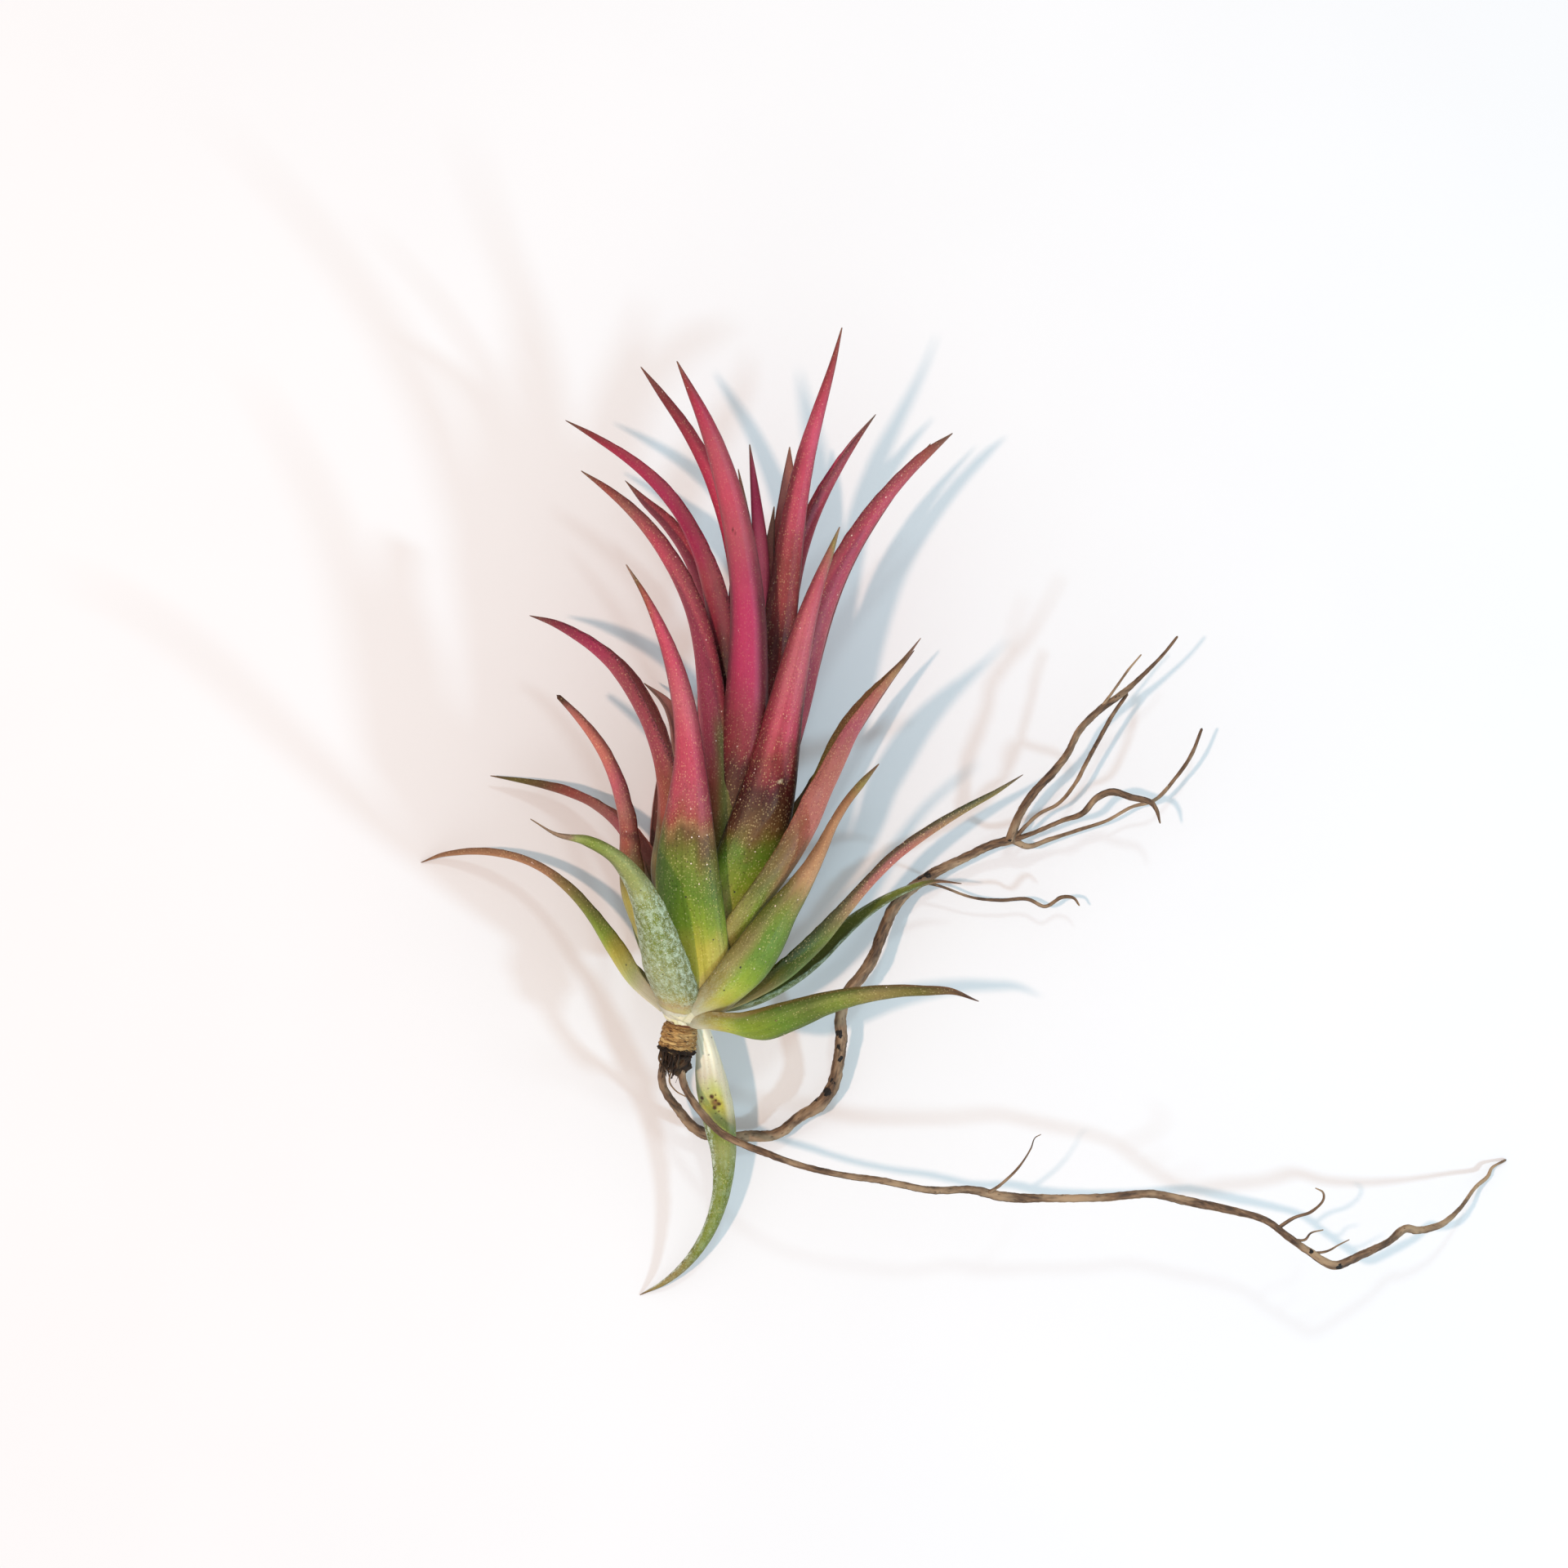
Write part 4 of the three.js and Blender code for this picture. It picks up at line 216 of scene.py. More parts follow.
    "leaf_29": ("leaf_29", 190.0, [
        (-11.77, -26.23, 10.19, 2.4, 1.2, 0), (-11.26, -24.63, 7.23, 2.54, 1.46, 0), (-11.55, -21.83, 5.35, 2.42, 1.5, 0), (-11.98, -18.85, 4.1, 2.15, 1.39, 0),
        (-12.28, -15.93, 3.07, 1.8, 1.21, 0), (-12.46, -13.16, 2.16, 1.42, 1, 0), (-12.53, -10.52, 1.37, 1.02, 0.76, 0), (-12.56, -7.98, 0.67, 0.58, 0.47, 0),
        (-12.58, -5.49, 0.05, 0.08, 0.1, 0),
    ]),
    "leaf_30": ("leaf_30", 180.0, [
        (-10.82, -23.4, 10.23, 3, 1.5, 0), (-10.79, -19.46, 7.6, 3.12, 1.79, 0), (-10.65, -15.06, 5.95, 2.96, 1.83, 0), (-10.39, -10.62, 4.85, 2.68, 1.76, 0),
        (-9.98, -6.31, 3.98, 2.35, 1.63, 0), (-9.47, -2.17, 3.24, 2.03, 1.48, 0), (-8.91, 1.76, 2.57, 1.71, 1.32, 0), (-8.34, 5.51, 1.94, 1.37, 1.11, 0),
        (-7.81, 9.09, 1.32, 0.99, 0.85, 0), (-7.36, 12.57, 0.7, 0.57, 0.52, 0), (-6.99, 15.98, 0.05, 0.08, 0.1, 0),
    ]),
    "leaf_31": ("leaf_31", 232.0, [
        (-13.69, -25.51, 11.26, 2.6, 1.3, 0), (-14.11, -24.27, 8.42, 2.65, 1.52, 0), (-15.14, -22.01, 6.56, 2.54, 1.6, 0), (-16.24, -19.52, 5.31, 2.3, 1.55, 0),
        (-17.19, -17.09, 4.16, 1.97, 1.4, 0), (-17.94, -14.75, 3.08, 1.57, 1.18, 0), (-18.5, -12.5, 2.04, 1.13, 0.9, 0), (-18.9, -10.32, 1.04, 0.64, 0.54, 0),
        (-19.18, -8.19, 0.05, 0.08, 0.1, 0),
    ]),
    "leaf_32": ("leaf_32", 130.0, [
        (-8.77, -26.23, 11.17, 2.6, 1.3, 0), (-7.31, -24.92, 8.66, 2.66, 1.51, 0), (-5.64, -23.04, 6.81, 2.56, 1.59, 0), (-3.95, -20.97, 5.41, 2.33, 1.56, 0),
        (-2.35, -18.91, 4.21, 1.99, 1.42, 0), (-0.89, -16.92, 3.1, 1.59, 1.2, 0), (0.43, -15, 2.06, 1.13, 0.9, 0), (1.59, -13.1, 1.05, 0.63, 0.53, 0),
        (2.6, -11.19, 0.05, 0.08, 0.1, 0),
    ]),
    "leaf_33": ("leaf_33", 212.0, [
        (-12.76, -24.2, 10.58, 2.8, 1.4, 0), (-12.71, -21.04, 7.73, 2.93, 1.67, 0), (-13.38, -17.33, 5.91, 2.76, 1.7, 0), (-14.15, -13.55, 4.72, 2.44, 1.61, 0),
        (-14.72, -9.88, 3.77, 2.06, 1.45, 0), (-15.03, -6.4, 2.9, 1.65, 1.23, 0), (-15.13, -3.11, 2.04, 1.19, 0.95, 0), (-15.09, 0.01, 1.1, 0.67, 0.58, 0),
        (-14.98, 3, 0.05, 0.08, 0.1, 0),
    ]),
    "leaf_34": ("leaf_34", 150.0, [
        (-9.22, -24.22, 10.6, 2.8, 1.4, 0), (-7.9, -21.02, 7.81, 2.93, 1.67, 0), (-6.53, -17.2, 6.15, 2.82, 1.75, 0), (-5.18, -13.29, 5.12, 2.59, 1.7, 0),
        (-3.86, -9.52, 4.29, 2.3, 1.58, 0), (-2.62, -5.93, 3.52, 1.96, 1.4, 0), (-1.5, -2.52, 2.72, 1.59, 1.17, 0), (-0.55, 0.73, 1.88, 1.16, 0.89, 0),
        (0.22, 3.89, 0.99, 0.66, 0.53, 0), (0.8, 6.99, 0.05, 0.08, 0.1, 0),
    ]),
    "leaf_35": ("leaf_35", 215.0, [
        (-11.56, -19.05, 12.42, 2.6, 1.4, 0), (-9.83, -14.43, 12.13, 2.58, 1.51, 0), (-8.99, -9.62, 11.91, 2.51, 1.6, 0), (-8.76, -4.84, 11.72, 2.4, 1.66, 0),
        (-8.79, -0.2, 11.52, 2.25, 1.69, 0), (-8.85, 4.27, 11.27, 2.07, 1.67, 0), (-8.94, 8.54, 10.96, 1.88, 1.62, 0), (-9.12, 12.62, 10.58, 1.67, 1.52, 0),
        (-9.46, 16.49, 10.12, 1.43, 1.37, 0), (-10.08, 20.18, 9.6, 1.11, 1.1, 0), (-11.08, 23.67, 9.02, 0.67, 0.69, 0), (-12.53, 26.92, 8.4, 0.08, 0.1, 0),
    ]),
    "leaf_36": ("leaf_36", 145.0, [
        (-8.85, -19.45, 12.42, 2.6, 1.4, 0), (-7.6, -14.74, 12, 2.58, 1.48, 0), (-6.31, -10.08, 11.56, 2.54, 1.57, 0), (-4.99, -5.53, 11.1, 2.46, 1.64, 0),
        (-3.65, -1.11, 10.63, 2.34, 1.69, 0), (-2.31, 3.15, 10.14, 2.19, 1.7, 0), (-0.98, 7.23, 9.63, 2.01, 1.66, 0), (0.34, 11.14, 9.11, 1.8, 1.58, 0),
        (1.64, 14.86, 8.58, 1.56, 1.45, 0), (2.95, 18.42, 8.02, 1.28, 1.24, 0), (4.28, 21.84, 7.45, 0.95, 0.96, 0), (5.65, 25.14, 6.84, 0.55, 0.58, 0),
        (7.09, 28.35, 6.2, 0.08, 0.1, 0),
    ]),
    "leaf_37": ("leaf_37", 178.0, [
        (-10.23, -20.14, 11.62, 2.8, 1.4, 0), (-8.96, -15.66, 10.72, 2.75, 1.59, 0), (-8.12, -11.07, 10.1, 2.67, 1.7, 0), (-7.56, -6.48, 9.67, 2.55, 1.76, 0),
        (-7.14, -1.98, 9.34, 2.41, 1.77, 0), (-6.78, 2.4, 9.02, 2.24, 1.74, 0), (-6.44, 6.63, 8.7, 2.06, 1.67, 0), (-6.12, 10.71, 8.33, 1.87, 1.58, 0),
        (-5.84, 14.64, 7.92, 1.66, 1.46, 0), (-5.64, 18.42, 7.5, 1.43, 1.29, 0), (-5.54, 22.07, 7.07, 1.16, 1.08, 0), (-5.57, 25.62, 6.63, 0.85, 0.82, 0),
        (-5.75, 29.1, 6.21, 0.49, 0.49, 0), (-6.11, 32.52, 5.8, 0.08, 0.1, 0),
    ]),
}

# name: strands, each of rows x, y, z, radius
ROOTS = {
    "root_1": [
        [
            (-13.22, -31.88, 11.2, 0.55), (-14.12, -32.82, 10.4, 0.5), (-14.67, -35.19, 9, 0.48), (-14.14, -37.13, 7.5, 0.47), (-12.78, -39.25, 5.5, 0.54), (-11.07, -41.6, 3.6, 0.65),
            (-9.35, -42.65, 2.6, 0.69), (-6.96, -43.02, 2.4, 0.68), (-4.48, -42.88, 2.3, 0.68), (-0.96, -42.63, 2.3, 0.67), (1.86, -40.55, 2.6, 0.68), (4.38, -38.91, 3, 0.79),
            (5.87, -36.74, 3.5, 0.78), (6.57, -33.63, 4.5, 0.73), (6.93, -30.57, 5.5, 0.72), (6.84, -28.08, 6, 0.71), (7.61, -25.2, 6.3, 0.72), (9.15, -23.34, 6.2, 0.74),
            (10.83, -20.79, 5.6, 0.69), (12.1, -17.39, 5, 0.69), (13.59, -14.5, 4.4, 0.72), (15.53, -12.6, 4, 0.68), (18.46, -10.65, 3.8, 0.62), (21.91, -8.96, 3.8, 0.55),
            (25.31, -7.32, 4, 0.53), (27.74, -6.73, 4.4, 0.53),
        ],
        [
            (27.32, -6.82, 4.4, 0.63), (28.28, -4.1, 5, 0.52), (30.02, -1.2, 6, 0.52), (32.67, 1.75, 7, 0.47), (34.12, 3.75, 7.5, 0.41), (35.37, 6.3, 8, 0.41),
            (37.81, 8.87, 8.5, 0.43), (40.56, 10.88, 9, 0.37), (43, 13.12, 9.6, 0.26), (45.44, 15.68, 10.2, 0.2), (46.87, 17.53, 10.5, 0.15),
        ],
        [
            (37.81, 8.87, 8.5, 0.21), (39.71, 11.59, 9.5, 0.16), (41.06, 13.56, 10, 0.14), (42.56, 15.39, 10.5, 0.1),
        ],
        [
            (27.74, -6.73, 4.4, 0.32), (29.26, -5.08, 4.6, 0.24), (30.89, -3.61, 4.8, 0.23), (33.21, -2.34, 5, 0.22), (35.2, 0.08, 5.4, 0.24), (36.33, 2.28, 5.8, 0.27),
            (38.16, 5.75, 6.4, 0.26), (39.49, 8.23, 7, 0.26), (41.19, 10.76, 7.6, 0.2),
        ],
        [
            (27.74, -6.73, 4.4, 0.35), (30.2, -5.91, 4.8, 0.28), (33.55, -4.41, 6, 0.28), (35.83, -3.59, 7, 0.35), (37.56, -1.63, 8, 0.4), (39.37, -0.94, 8.5, 0.44),
            (41.48, -1.55, 8.6, 0.4), (43.9, -2.19, 8.5, 0.36), (44.69, -3.2, 8.4, 0.26), (45.1, -4.64, 8.2, 0.12),
        ],
        [
            (27.67, -6.75, 4.2, 0.46), (29.53, -7.57, 3.6, 0.35), (32.18, -6.76, 3.2, 0.28), (35.66, -5.61, 3.2, 0.23), (39.16, -4.46, 3.4, 0.21), (42.12, -2.82, 3.8, 0.21),
            (44.97, -1.9, 4.2, 0.23), (47.37, 0.73, 4.8, 0.22), (49.16, 3.43, 5.4, 0.23), (50.37, 6.59, 6, 0.18),
        ],
        [
            (16.6, -11.88, 4, 0.22), (18.83, -12.36, 3.8, 0.17), (22.82, -13.77, 3.2, 0.18), (26.3, -14.13, 3, 0.22), (29.55, -13.98, 3, 0.22), (31.74, -14.87, 3.2, 0.22),
            (33.71, -13.75, 3.6, 0.25), (35.12, -13.83, 4, 0.18), (35.78, -14.7, 4, 0.11),
        ],
    ],
    "root_2": [
        [
            (-12.03, -32.98, 12, 0.5), (-12.17, -34.44, 12, 0.5), (-11.56, -36.44, 12, 0.44), (-9.79, -39.06, 12, 0.45), (-7.61, -41.25, 12.5, 0.44), (-5.34, -42.39, 13.5, 0.44),
            (-1.94, -43.51, 15.5, 0.41), (1.86, -44.78, 16.5, 0.38), (6.67, -45.81, 17, 0.38), (11.49, -46.52, 17, 0.4), (17.28, -47.74, 16, 0.43), (22.13, -47.85, 15, 0.49),
            (26.04, -48.72, 14.5, 0.6), (30.88, -48.95, 14, 0.47), (37.64, -48.87, 14, 0.47), (43.42, -48.43, 14, 0.5), (48.17, -49.41, 14, 0.54), (53.02, -50.41, 14, 0.46),
            (56.85, -51.53, 14, 0.41), (59.53, -53.48, 14, 0.42), (62.19, -55.35, 13.8, 0.46), (65.04, -56.94, 13.5, 0.52), (68.32, -55.95, 12.5, 0.48), (71.99, -54.5, 11, 0.43),
            (74.13, -53.14, 10, 0.5), (76.04, -53.43, 9, 0.46), (78.94, -52.91, 7.5, 0.38), (81.66, -51.32, 5.2, 0.25), (84.15, -49.07, 2.5, 0.23), (85.94, -47.86, 1.2, 0.24),
            (86.46, -46.94, 0.9, 0.18), (88.29, -46.03, 0.17, 0.15),
        ],
        [
            (24, -48.24, 15, 0.25), (25.51, -47.15, 15.5, 0.18), (27.56, -45.08, 16, 0.14), (28.98, -42.79, 16.5, 0.09), (29.42, -41.53, 16.8, 0.07), (30.1, -41.1, 17, 0.05),
        ],
        [
            (58.26, -52.55, 14, 0.24), (60.31, -51.24, 14, 0.2), (62.21, -50.54, 14.2, 0.18), (63.61, -49.15, 14.5, 0.15), (63.56, -48.15, 14.8, 0.12), (62.66, -47.64, 15, 0.08),
        ],
        [
            (60.14, -53.9, 14, 0.2), (61.6, -53.87, 13.8, 0.16), (62.27, -53.1, 13.8, 0.12), (63.72, -52.72, 13.8, 0.08),
        ],
        [
            (62.42, -55.48, 13.8, 0.2), (64.24, -55.26, 13.6, 0.14), (65.72, -54.51, 13.4, 0.1), (66.88, -53.93, 13.4, 0.06),
        ],
    ],
    "root_3": [
        [
            (-13.46, -34.12, 10, 0.12), (-13.67, -35.63, 9.5, 0.1), (-12.89, -36.71, 9.5, 0.09), (-11.7, -37.34, 10, 0.07),
        ],
    ],
}

STUMP_TOP = np.array([-12.25, -28.6, 12.6])
STUMP_END = np.array([-12.75, -31.6, 12.2])


# ---------------------------------------------------------------- colours
def rgb(code):
    """A colour written as six hex digits of the display, made linear."""
    c = np.array([int(code[i:i + 2], 16) / 255 for i in (0, 2, 4)])
    return np.where(c <= 0.04045, c / 12.92, ((c + 0.055) / 1.055) ** 2.4)


PALETTE = {
    "cream": rgb("E4ECCB"), "straw": rgb("CACC88"), "sand": rgb("B8A86C"), "ochre": rgb("A5964A"),
    "mustard": rgb("917F3C"), "lime": rgb("B2C44A"), "yellow": rgb("BDB84F"), "moss": rgb("7A9628"),
    "leaf": rgb("748A32"), "green": rgb("5F7629"), "deep": rgb("46561F"), "olive": rgb("6E6A2A"),
    "khaki": rgb("8A8249"), "bronze": rgb("6C5230"), "tan": rgb("AC8561"), "clay": rgb("9C7450"),
    "umber": rgb("52351F"), "maroon": rgb("4C1C1B"), "brick": rgb("8E3A3C"), "rust": rgb("9C5046"),
    "rose": rgb("B84860"), "coral": rgb("B95E6D"), "pink": rgb("C85874"), "crimson": rgb("AE2F50"),
    "berry": rgb("AE325E"), "plum": rgb("94374B"), "wine": rgb("7A2D34"), "salmon": rgb("BE7468"),
    "dusk": rgb("A0675F"), "grey": rgb("8A7266"), "tip": rgb("705A4A"), "mint": rgb("A9BE8E"),
    "sage": rgb("8E9E5C"), "grass": rgb("648A28"), "pear": rgb("A6A548"), "fawn": rgb("B5926A"),
    "apple": rgb("88A832"), "dry": rgb("857560"), "cherry": rgb("AE5060"),
    # a pale base colour brighter than white: painted light on a leaf base that lies in the shade of the leaves above it
    "chalk": rgb("FFFFFF") * np.array([1.08, 1.28, 1.08]),
    "lemon": rgb("BEC04C"), "ivory": rgb("E0ECD6"), "celery": rgb("C2D68A"),
}

# Outer face of each leaf: colour names at their place along the leaf, 0 at the
# base and 1 at the tip. "in" is the channel, "fleck" the strength of the pale
# scales, "rim" the dark margin, "scurf" silver felt, "soot" black specks.
# "edge" is the strength of the painted shade toward the margins; "flank" recolours one side, partly with the leaf's own
# colour and partly with painted shade.
LOOKS = {
    "leaf_01": {
        "slot": "leaf_green",
        "dense": 1.5,
        "edge": 0.4,
        "out": [(0, "ivory"), (0.044, "ivory"), (0.05, "sand"), (0.056, "straw"), (0.085, "sand"), (0.12, "pear"), (0.18, "sage"), (0.28, "sage"), (0.4, "leaf"), (0.52, "leaf"), (0.62, "sage"), (0.72, "sage"), (0.83, "leaf"), (0.875, "sage"), (0.895, "dry"), (1, "dry")],
        "in": [(0, "straw"), (0.2, "leaf"), (0.6, "green"), (0.86, "sage"), (0.9, "dry"), (1, "dry")],
        "flank": [(-1, "cream", 0.3, 0.88, 0.8, 0.1), (1, "sage", 0.1, 0.5, 0.5, 0.5)],
        "scurf": [(0, 0.1, 0.58, 0.62, 1.0), (-1, 0.14, 0.66, 0.7, 0.6), (1, 0.06, 0.3, 0.4, 0.8)],
        "fleck": [(0, 0.4), (0.2, 0.9), (0.5, 0.9), (1, 0.8)],
        "soot": [(0, 0.3), (0.3, 0.4), (1, 0.2)],
        "rim": [(0, 0), (0.2, 0.0), (0.7, 0.1), (1, 0.3)],
        "frill": 0.06,
    },
    "leaf_02": {
        "slot": "leaf_green",
        "dense": 1.5,
        "edge": 0.4,
        "out": [(0, "cream"), (0.05, "cream"), (0.1, "straw"), (0.15, "lemon"), (0.19, "lime"), (0.25, "apple"), (0.31, "grass"), (0.38, "grass"), (0.44, "leaf"), (0.5, "khaki"), (0.58, "fawn"), (0.68, "tan"), (0.78, "tan"), (0.86, "clay"), (0.93, "khaki"), (1, "tip")],
        "flank": [(1, "grass", 0.16, 0.6, 0.75, 0.5), (1, "deep", 0.22, 0.6, 0.6, 0.2), (-1, "cream", 0.0, 0.16, 0.5, 0.5), (-1, "sand", 0.14, 0.4, 0.6, 0.6), (-1, "leaf", 0.36, 0.55, 0.4, 0.4), (1, "khaki", 0.58, 0.95, 0.7, 0.35)],
        "scurf": [(-1, 0.03, 0.22, 0.16, 0.9)],
        "fleck": [(0, 0.3), (0.25, 0.8), (0.45, 1.2), (0.6, 0.8), (1, 0.7)],
        "soot": [(0, 0.5), (0.2, 0.9), (0.38, 0.8), (0.5, 0.2), (1, 0.1)],
        "lines": [(0, 0.15), (1, 0.15)],
        "rim": [(0, 0.1), (0.2, 0.4), (0.6, 0.35), (1, 0.4)],
    },
    "leaf_03": {
        "slot": "leaf_green",
        "dense": 2,
        "edge": 0.4,
        "out": [(0, "cream"), (0.05, "cream"), (0.08, "straw"), (0.12, "lemon"), (0.16, "lime"), (0.2, "apple"), (0.26, "moss"), (0.34, "grass"), (0.44, "green"), (0.54, "leaf"), (0.66, "khaki"), (0.78, "olive"), (0.9, "bronze"), (0.96, "umber"), (1, "tip")],
        "flank": [(1, "moss", 0.3, 0.9, 0.5, 0.5), (-1, "clay", 0.1, 0.95, 0.6, 0.14), (-1, "green", 0.34, 0.7, 0.35, 0.3)],
        "scurf": [(-1, 0.02, 0.14, 0.22, 0.9)],
        "spots": [(0.085, 0.35, 0.26, "umber", 1), (0.1, 0.42, 0.2, "umber", 1), (0.118, 0.5, 0.18, "umber", 1), (0.108, 0.28, 0.12, "umber", 0.9), (0.075, 0.2, 0.12, "umber", 0.9), (0.16, -0.25, 0.13, "umber", 0.8), (0.175, -0.15, 0.1, "umber", 0.8), (0.33, -0.3, 0.16, "umber", 0.8)],
        "fleck": [(0, 0.3), (0.3, 0.7), (0.6, 0.9), (1, 0.7)],
        "soot": [(0, 0.7), (0.4, 0.3), (1, 0.1)],
        "rim": [(0, 0), (0.3, 0.15), (1, 0.3)],
    },
    "leaf_04": {
        "slot": "leaf_pink",
        "edge_t": [(0, 0), (0.25, 0.15), (0.4, 0.8), (0.5, 1), (1, 1)],
        "out": [(0, "cream"), (0.05, "cream"), (0.1, "straw"), (0.15, "lemon"), (0.2, "lemon"), (0.25, "apple"), (0.31, "grass"), (0.36, "leaf"), (0.39, "olive"), (0.415, "bronze"), (0.44, "clay"), (0.47, "rust"), (0.51, "cherry"), (0.56, "rose"), (0.64, "rose"), (0.72, "coral"), (0.8, "rose"), (0.88, "rose"), (0.93, "rust"), (0.965, "bronze"), (1, "grey")],
        "flank": [(-1, "grass", 0.08, 0.42, 0.85, 1.1), (-1, "green", 0.2, 0.44, 0.4, 0.35), (1, "straw", 0.02, 0.2, 0.5, 0.7), (1, "olive", 0.3, 0.44, 0.4, 0.3), (1, "wine", 0.5, 0.9, 0.4, 0.35), (-1, "wine", 0.5, 0.85, 0.5, 0.35)],
        "mix": 0.034,
        "fleck": [(0, 0.3), (0.2, 0.8), (0.33, 1.5), (0.45, 1.5), (0.6, 0.8), (1, 0.8)],
        "lines": [(0, 0.8), (0.25, 1.0), (0.42, 0.8), (0.55, 0.3), (1, 0.15)],
        "soot": [(0, 0.3), (0.3, 0.7), (0.45, 0.5), (0.5, 0), (1, 0)],
        "rim": [(0, 0), (0.18, 0), (0.3, 0.4), (0.5, 0.8), (1, 0.6)],
    },
    "leaf_05": {
        "slot": "leaf_pink",
        "edge_t": [(0, 0), (0.2, 0.2), (0.35, 0.9), (0.5, 1), (1, 1)],
        "out": [(0, "cream"), (0.05, "straw"), (0.1, "straw"), (0.15, "lemon"), (0.2, "sand"), (0.26, "apple"), (0.325, "grass"), (0.36, "olive"), (0.39, "bronze"), (0.42, "umber"), (0.455, "maroon"), (0.49, "wine"), (0.53, "brick"), (0.59, "rose"), (0.68, "coral"), (0.8, "coral"), (0.88, "cherry"), (0.93, "dusk"), (0.965, "khaki"), (1, "grey")],
        "flank": [(1, "maroon", 0.36, 0.68, 0.9, 0.6), (-1, "maroon", 0.38, 0.56, 0.5, 0.4), (-1, "wine", 0.52, 0.9, 0.45, 0.3), (1, "green", 0.18, 0.36, 0.6, 0.5)],
        "spots": [(0.487, 0.1, 0.14, "cream", 0.9)],
        "mix": 0.038,
        "scurf": [(1, 0.22, 0.4, 0.3, 0.25)],
        "fleck": [(0, 0.35), (0.2, 0.8), (0.33, 1.6), (0.48, 1.6), (0.65, 0.8), (1, 0.7)],
        "lines": [(0, 0.6), (0.3, 0.8), (0.5, 0.6), (1, 0.15)],
        "soot": [(0, 0.2), (0.3, 0.6), (0.42, 0.6), (0.5, 0), (1, 0)],
        "rim": [(0, 0), (0.15, 0.1), (0.3, 0.5), (0.5, 0.7), (1, 0.5)],
    },
    "leaf_06": {
        "slot": "leaf_pink",
        "out": [(0, "straw"), (0.06, "straw"), (0.12, "lemon"), (0.2, "pear"), (0.27, "apple"), (0.33, "leaf"), (0.38, "khaki"), (0.43, "clay"), (0.48, "salmon"), (0.56, "salmon"), (0.66, "salmon"), (0.76, "coral"), (0.84, "salmon"), (0.9, "fawn"), (0.95, "bronze"), (1, "grey")],
        "in": [(0, "straw"), (0.2, "leaf"), (0.35, "green"), (0.55, "olive"), (0.75, "bronze"), (0.9, "bronze"), (1, "tip")],
        "flank": [(1, "wine", 0.28, 0.44, 0.6, 0.5), (-1, "sand", 0.1, 0.3, 0.55, 0.5), (-1, "olive", 0.3, 0.5, 0.5, 0.3)],
        "mix": 0.035,
        "fleck": [(0, 0.4), (0.28, 1.4), (0.5, 1.1), (1, 0.7)],
        "soot": [(0, 0.3), (0.35, 0.3), (0.5, 0), (1, 0)],
        "rim": [(0, 0.1), (0.2, 0.5), (0.6, 0.6), (1, 0.5)],
    },
    "leaf_07": {
        "slot": "leaf_green",
        "edge": 0.4,
        "out": [(0, "cream"), (0.08, "cream"), (0.13, "celery"), (0.2, "lemon"), (0.27, "apple"), (0.36, "leaf"), (0.46, "khaki"), (0.54, "tan"), (0.6, "tan"), (0.7, "tan"), (0.8, "tan"), (0.9, "tan"), (0.96, "tan"), (1, "tip")],
        "in": [(0, "cream"), (0.2, "leaf"), (0.5, "green"), (0.72, "bronze"), (1, "tip")],
        "flank": [(-1, "olive", 0.3, 0.9, 0.8, 0.7), (1, "olive", 0.3, 0.5, 0.4, 0.3)],
        "fleck": [(0, 0.3), (0.3, 0.7), (0.6, 0.9), (1, 0.8)],
        "soot": [(0, 0.6), (0.25, 0.8), (0.5, 0.2), (1, 0)],
        "rim": [(0, 0), (0.15, 0.3), (0.35, 0.8), (0.8, 0.7), (1, 0.4)],
    },
    "leaf_08": {
        "slot": "leaf_pink",
        "out": [(0, "cream"), (0.1, "ivory"), (0.18, "celery"), (0.24, "pear"), (0.33, "pear"), (0.4, "olive"), (0.46, "bronze"), (0.52, "rust"), (0.58, "dusk"), (0.66, "coral"), (0.76, "salmon"), (0.88, "salmon"), (0.95, "dusk"), (0.98, "umber"), (1, "umber")],
        "flank": [(-1, "bronze", 0.5, 0.95, 0.4, 0.4), (1, "maroon", 0.45, 0.97, 0.45, 0.16)],
        "fleck": [(0, 0.4), (0.5, 0.8), (1, 1)],
        "soot": [(0, 0.3), (0.4, 0.3), (0.5, 0), (1, 0)],
        "frill": 0.05,
        "torn": 0.9,
    },
    "leaf_09": {
        "slot": "leaf_green",
        "edge": 0.45,
        "out": [(0, "lemon"), (0.08, "lemon"), (0.13, "pear"), (0.2, "grass"), (0.27, "grass"), (0.33, "leaf"), (0.39, "khaki"), (0.45, "fawn"), (0.53, "salmon"), (0.64, "salmon"), (0.74, "fawn"), (0.85, "khaki"), (0.94, "khaki"), (1, "tip")],
        "in": [(0, "straw"), (0.14, "pear"), (0.25, "grass"), (0.34, "leaf"), (0.41, "fawn"), (0.5, "fawn"), (0.6, "salmon"), (0.72, "fawn"), (0.84, "khaki"), (1, "tip")],
        "flank": [(-1, "deep", 0.2, 0.9, 0.7, 0.14), (1, "dusk", 0.45, 0.8, 0.4, 0.6)],
        "fleck": [(0, 0.4), (0.3, 1.3), (0.5, 1.5), (0.8, 1.4), (1, 0.8)],
        "soot": [(0, 0.5), (0.25, 0.6), (0.4, 0.2), (1, 0)],
        "rim": [(0, 0.2), (0.3, 0.7), (0.9, 0.8), (1, 0.4)],
    },
    "leaf_10": {
        "slot": "leaf_green",
        "edge": 0.45,
        "out": [(0, "khaki"), (0.2, "grass"), (0.35, "green"), (0.6, "green"), (0.85, "leaf"), (0.92, "tan"), (1, "tip")],
        "in": [(0, "khaki"), (0.2, "grass"), (0.32, "green"), (0.7, "green"), (0.86, "leaf"), (0.93, "umber"), (1, "tip")],
        "scurf": [(1, 0.12, 0.85, 0.85, 0.5), (-1, 0.12, 0.85, 0.4, 0.25)],
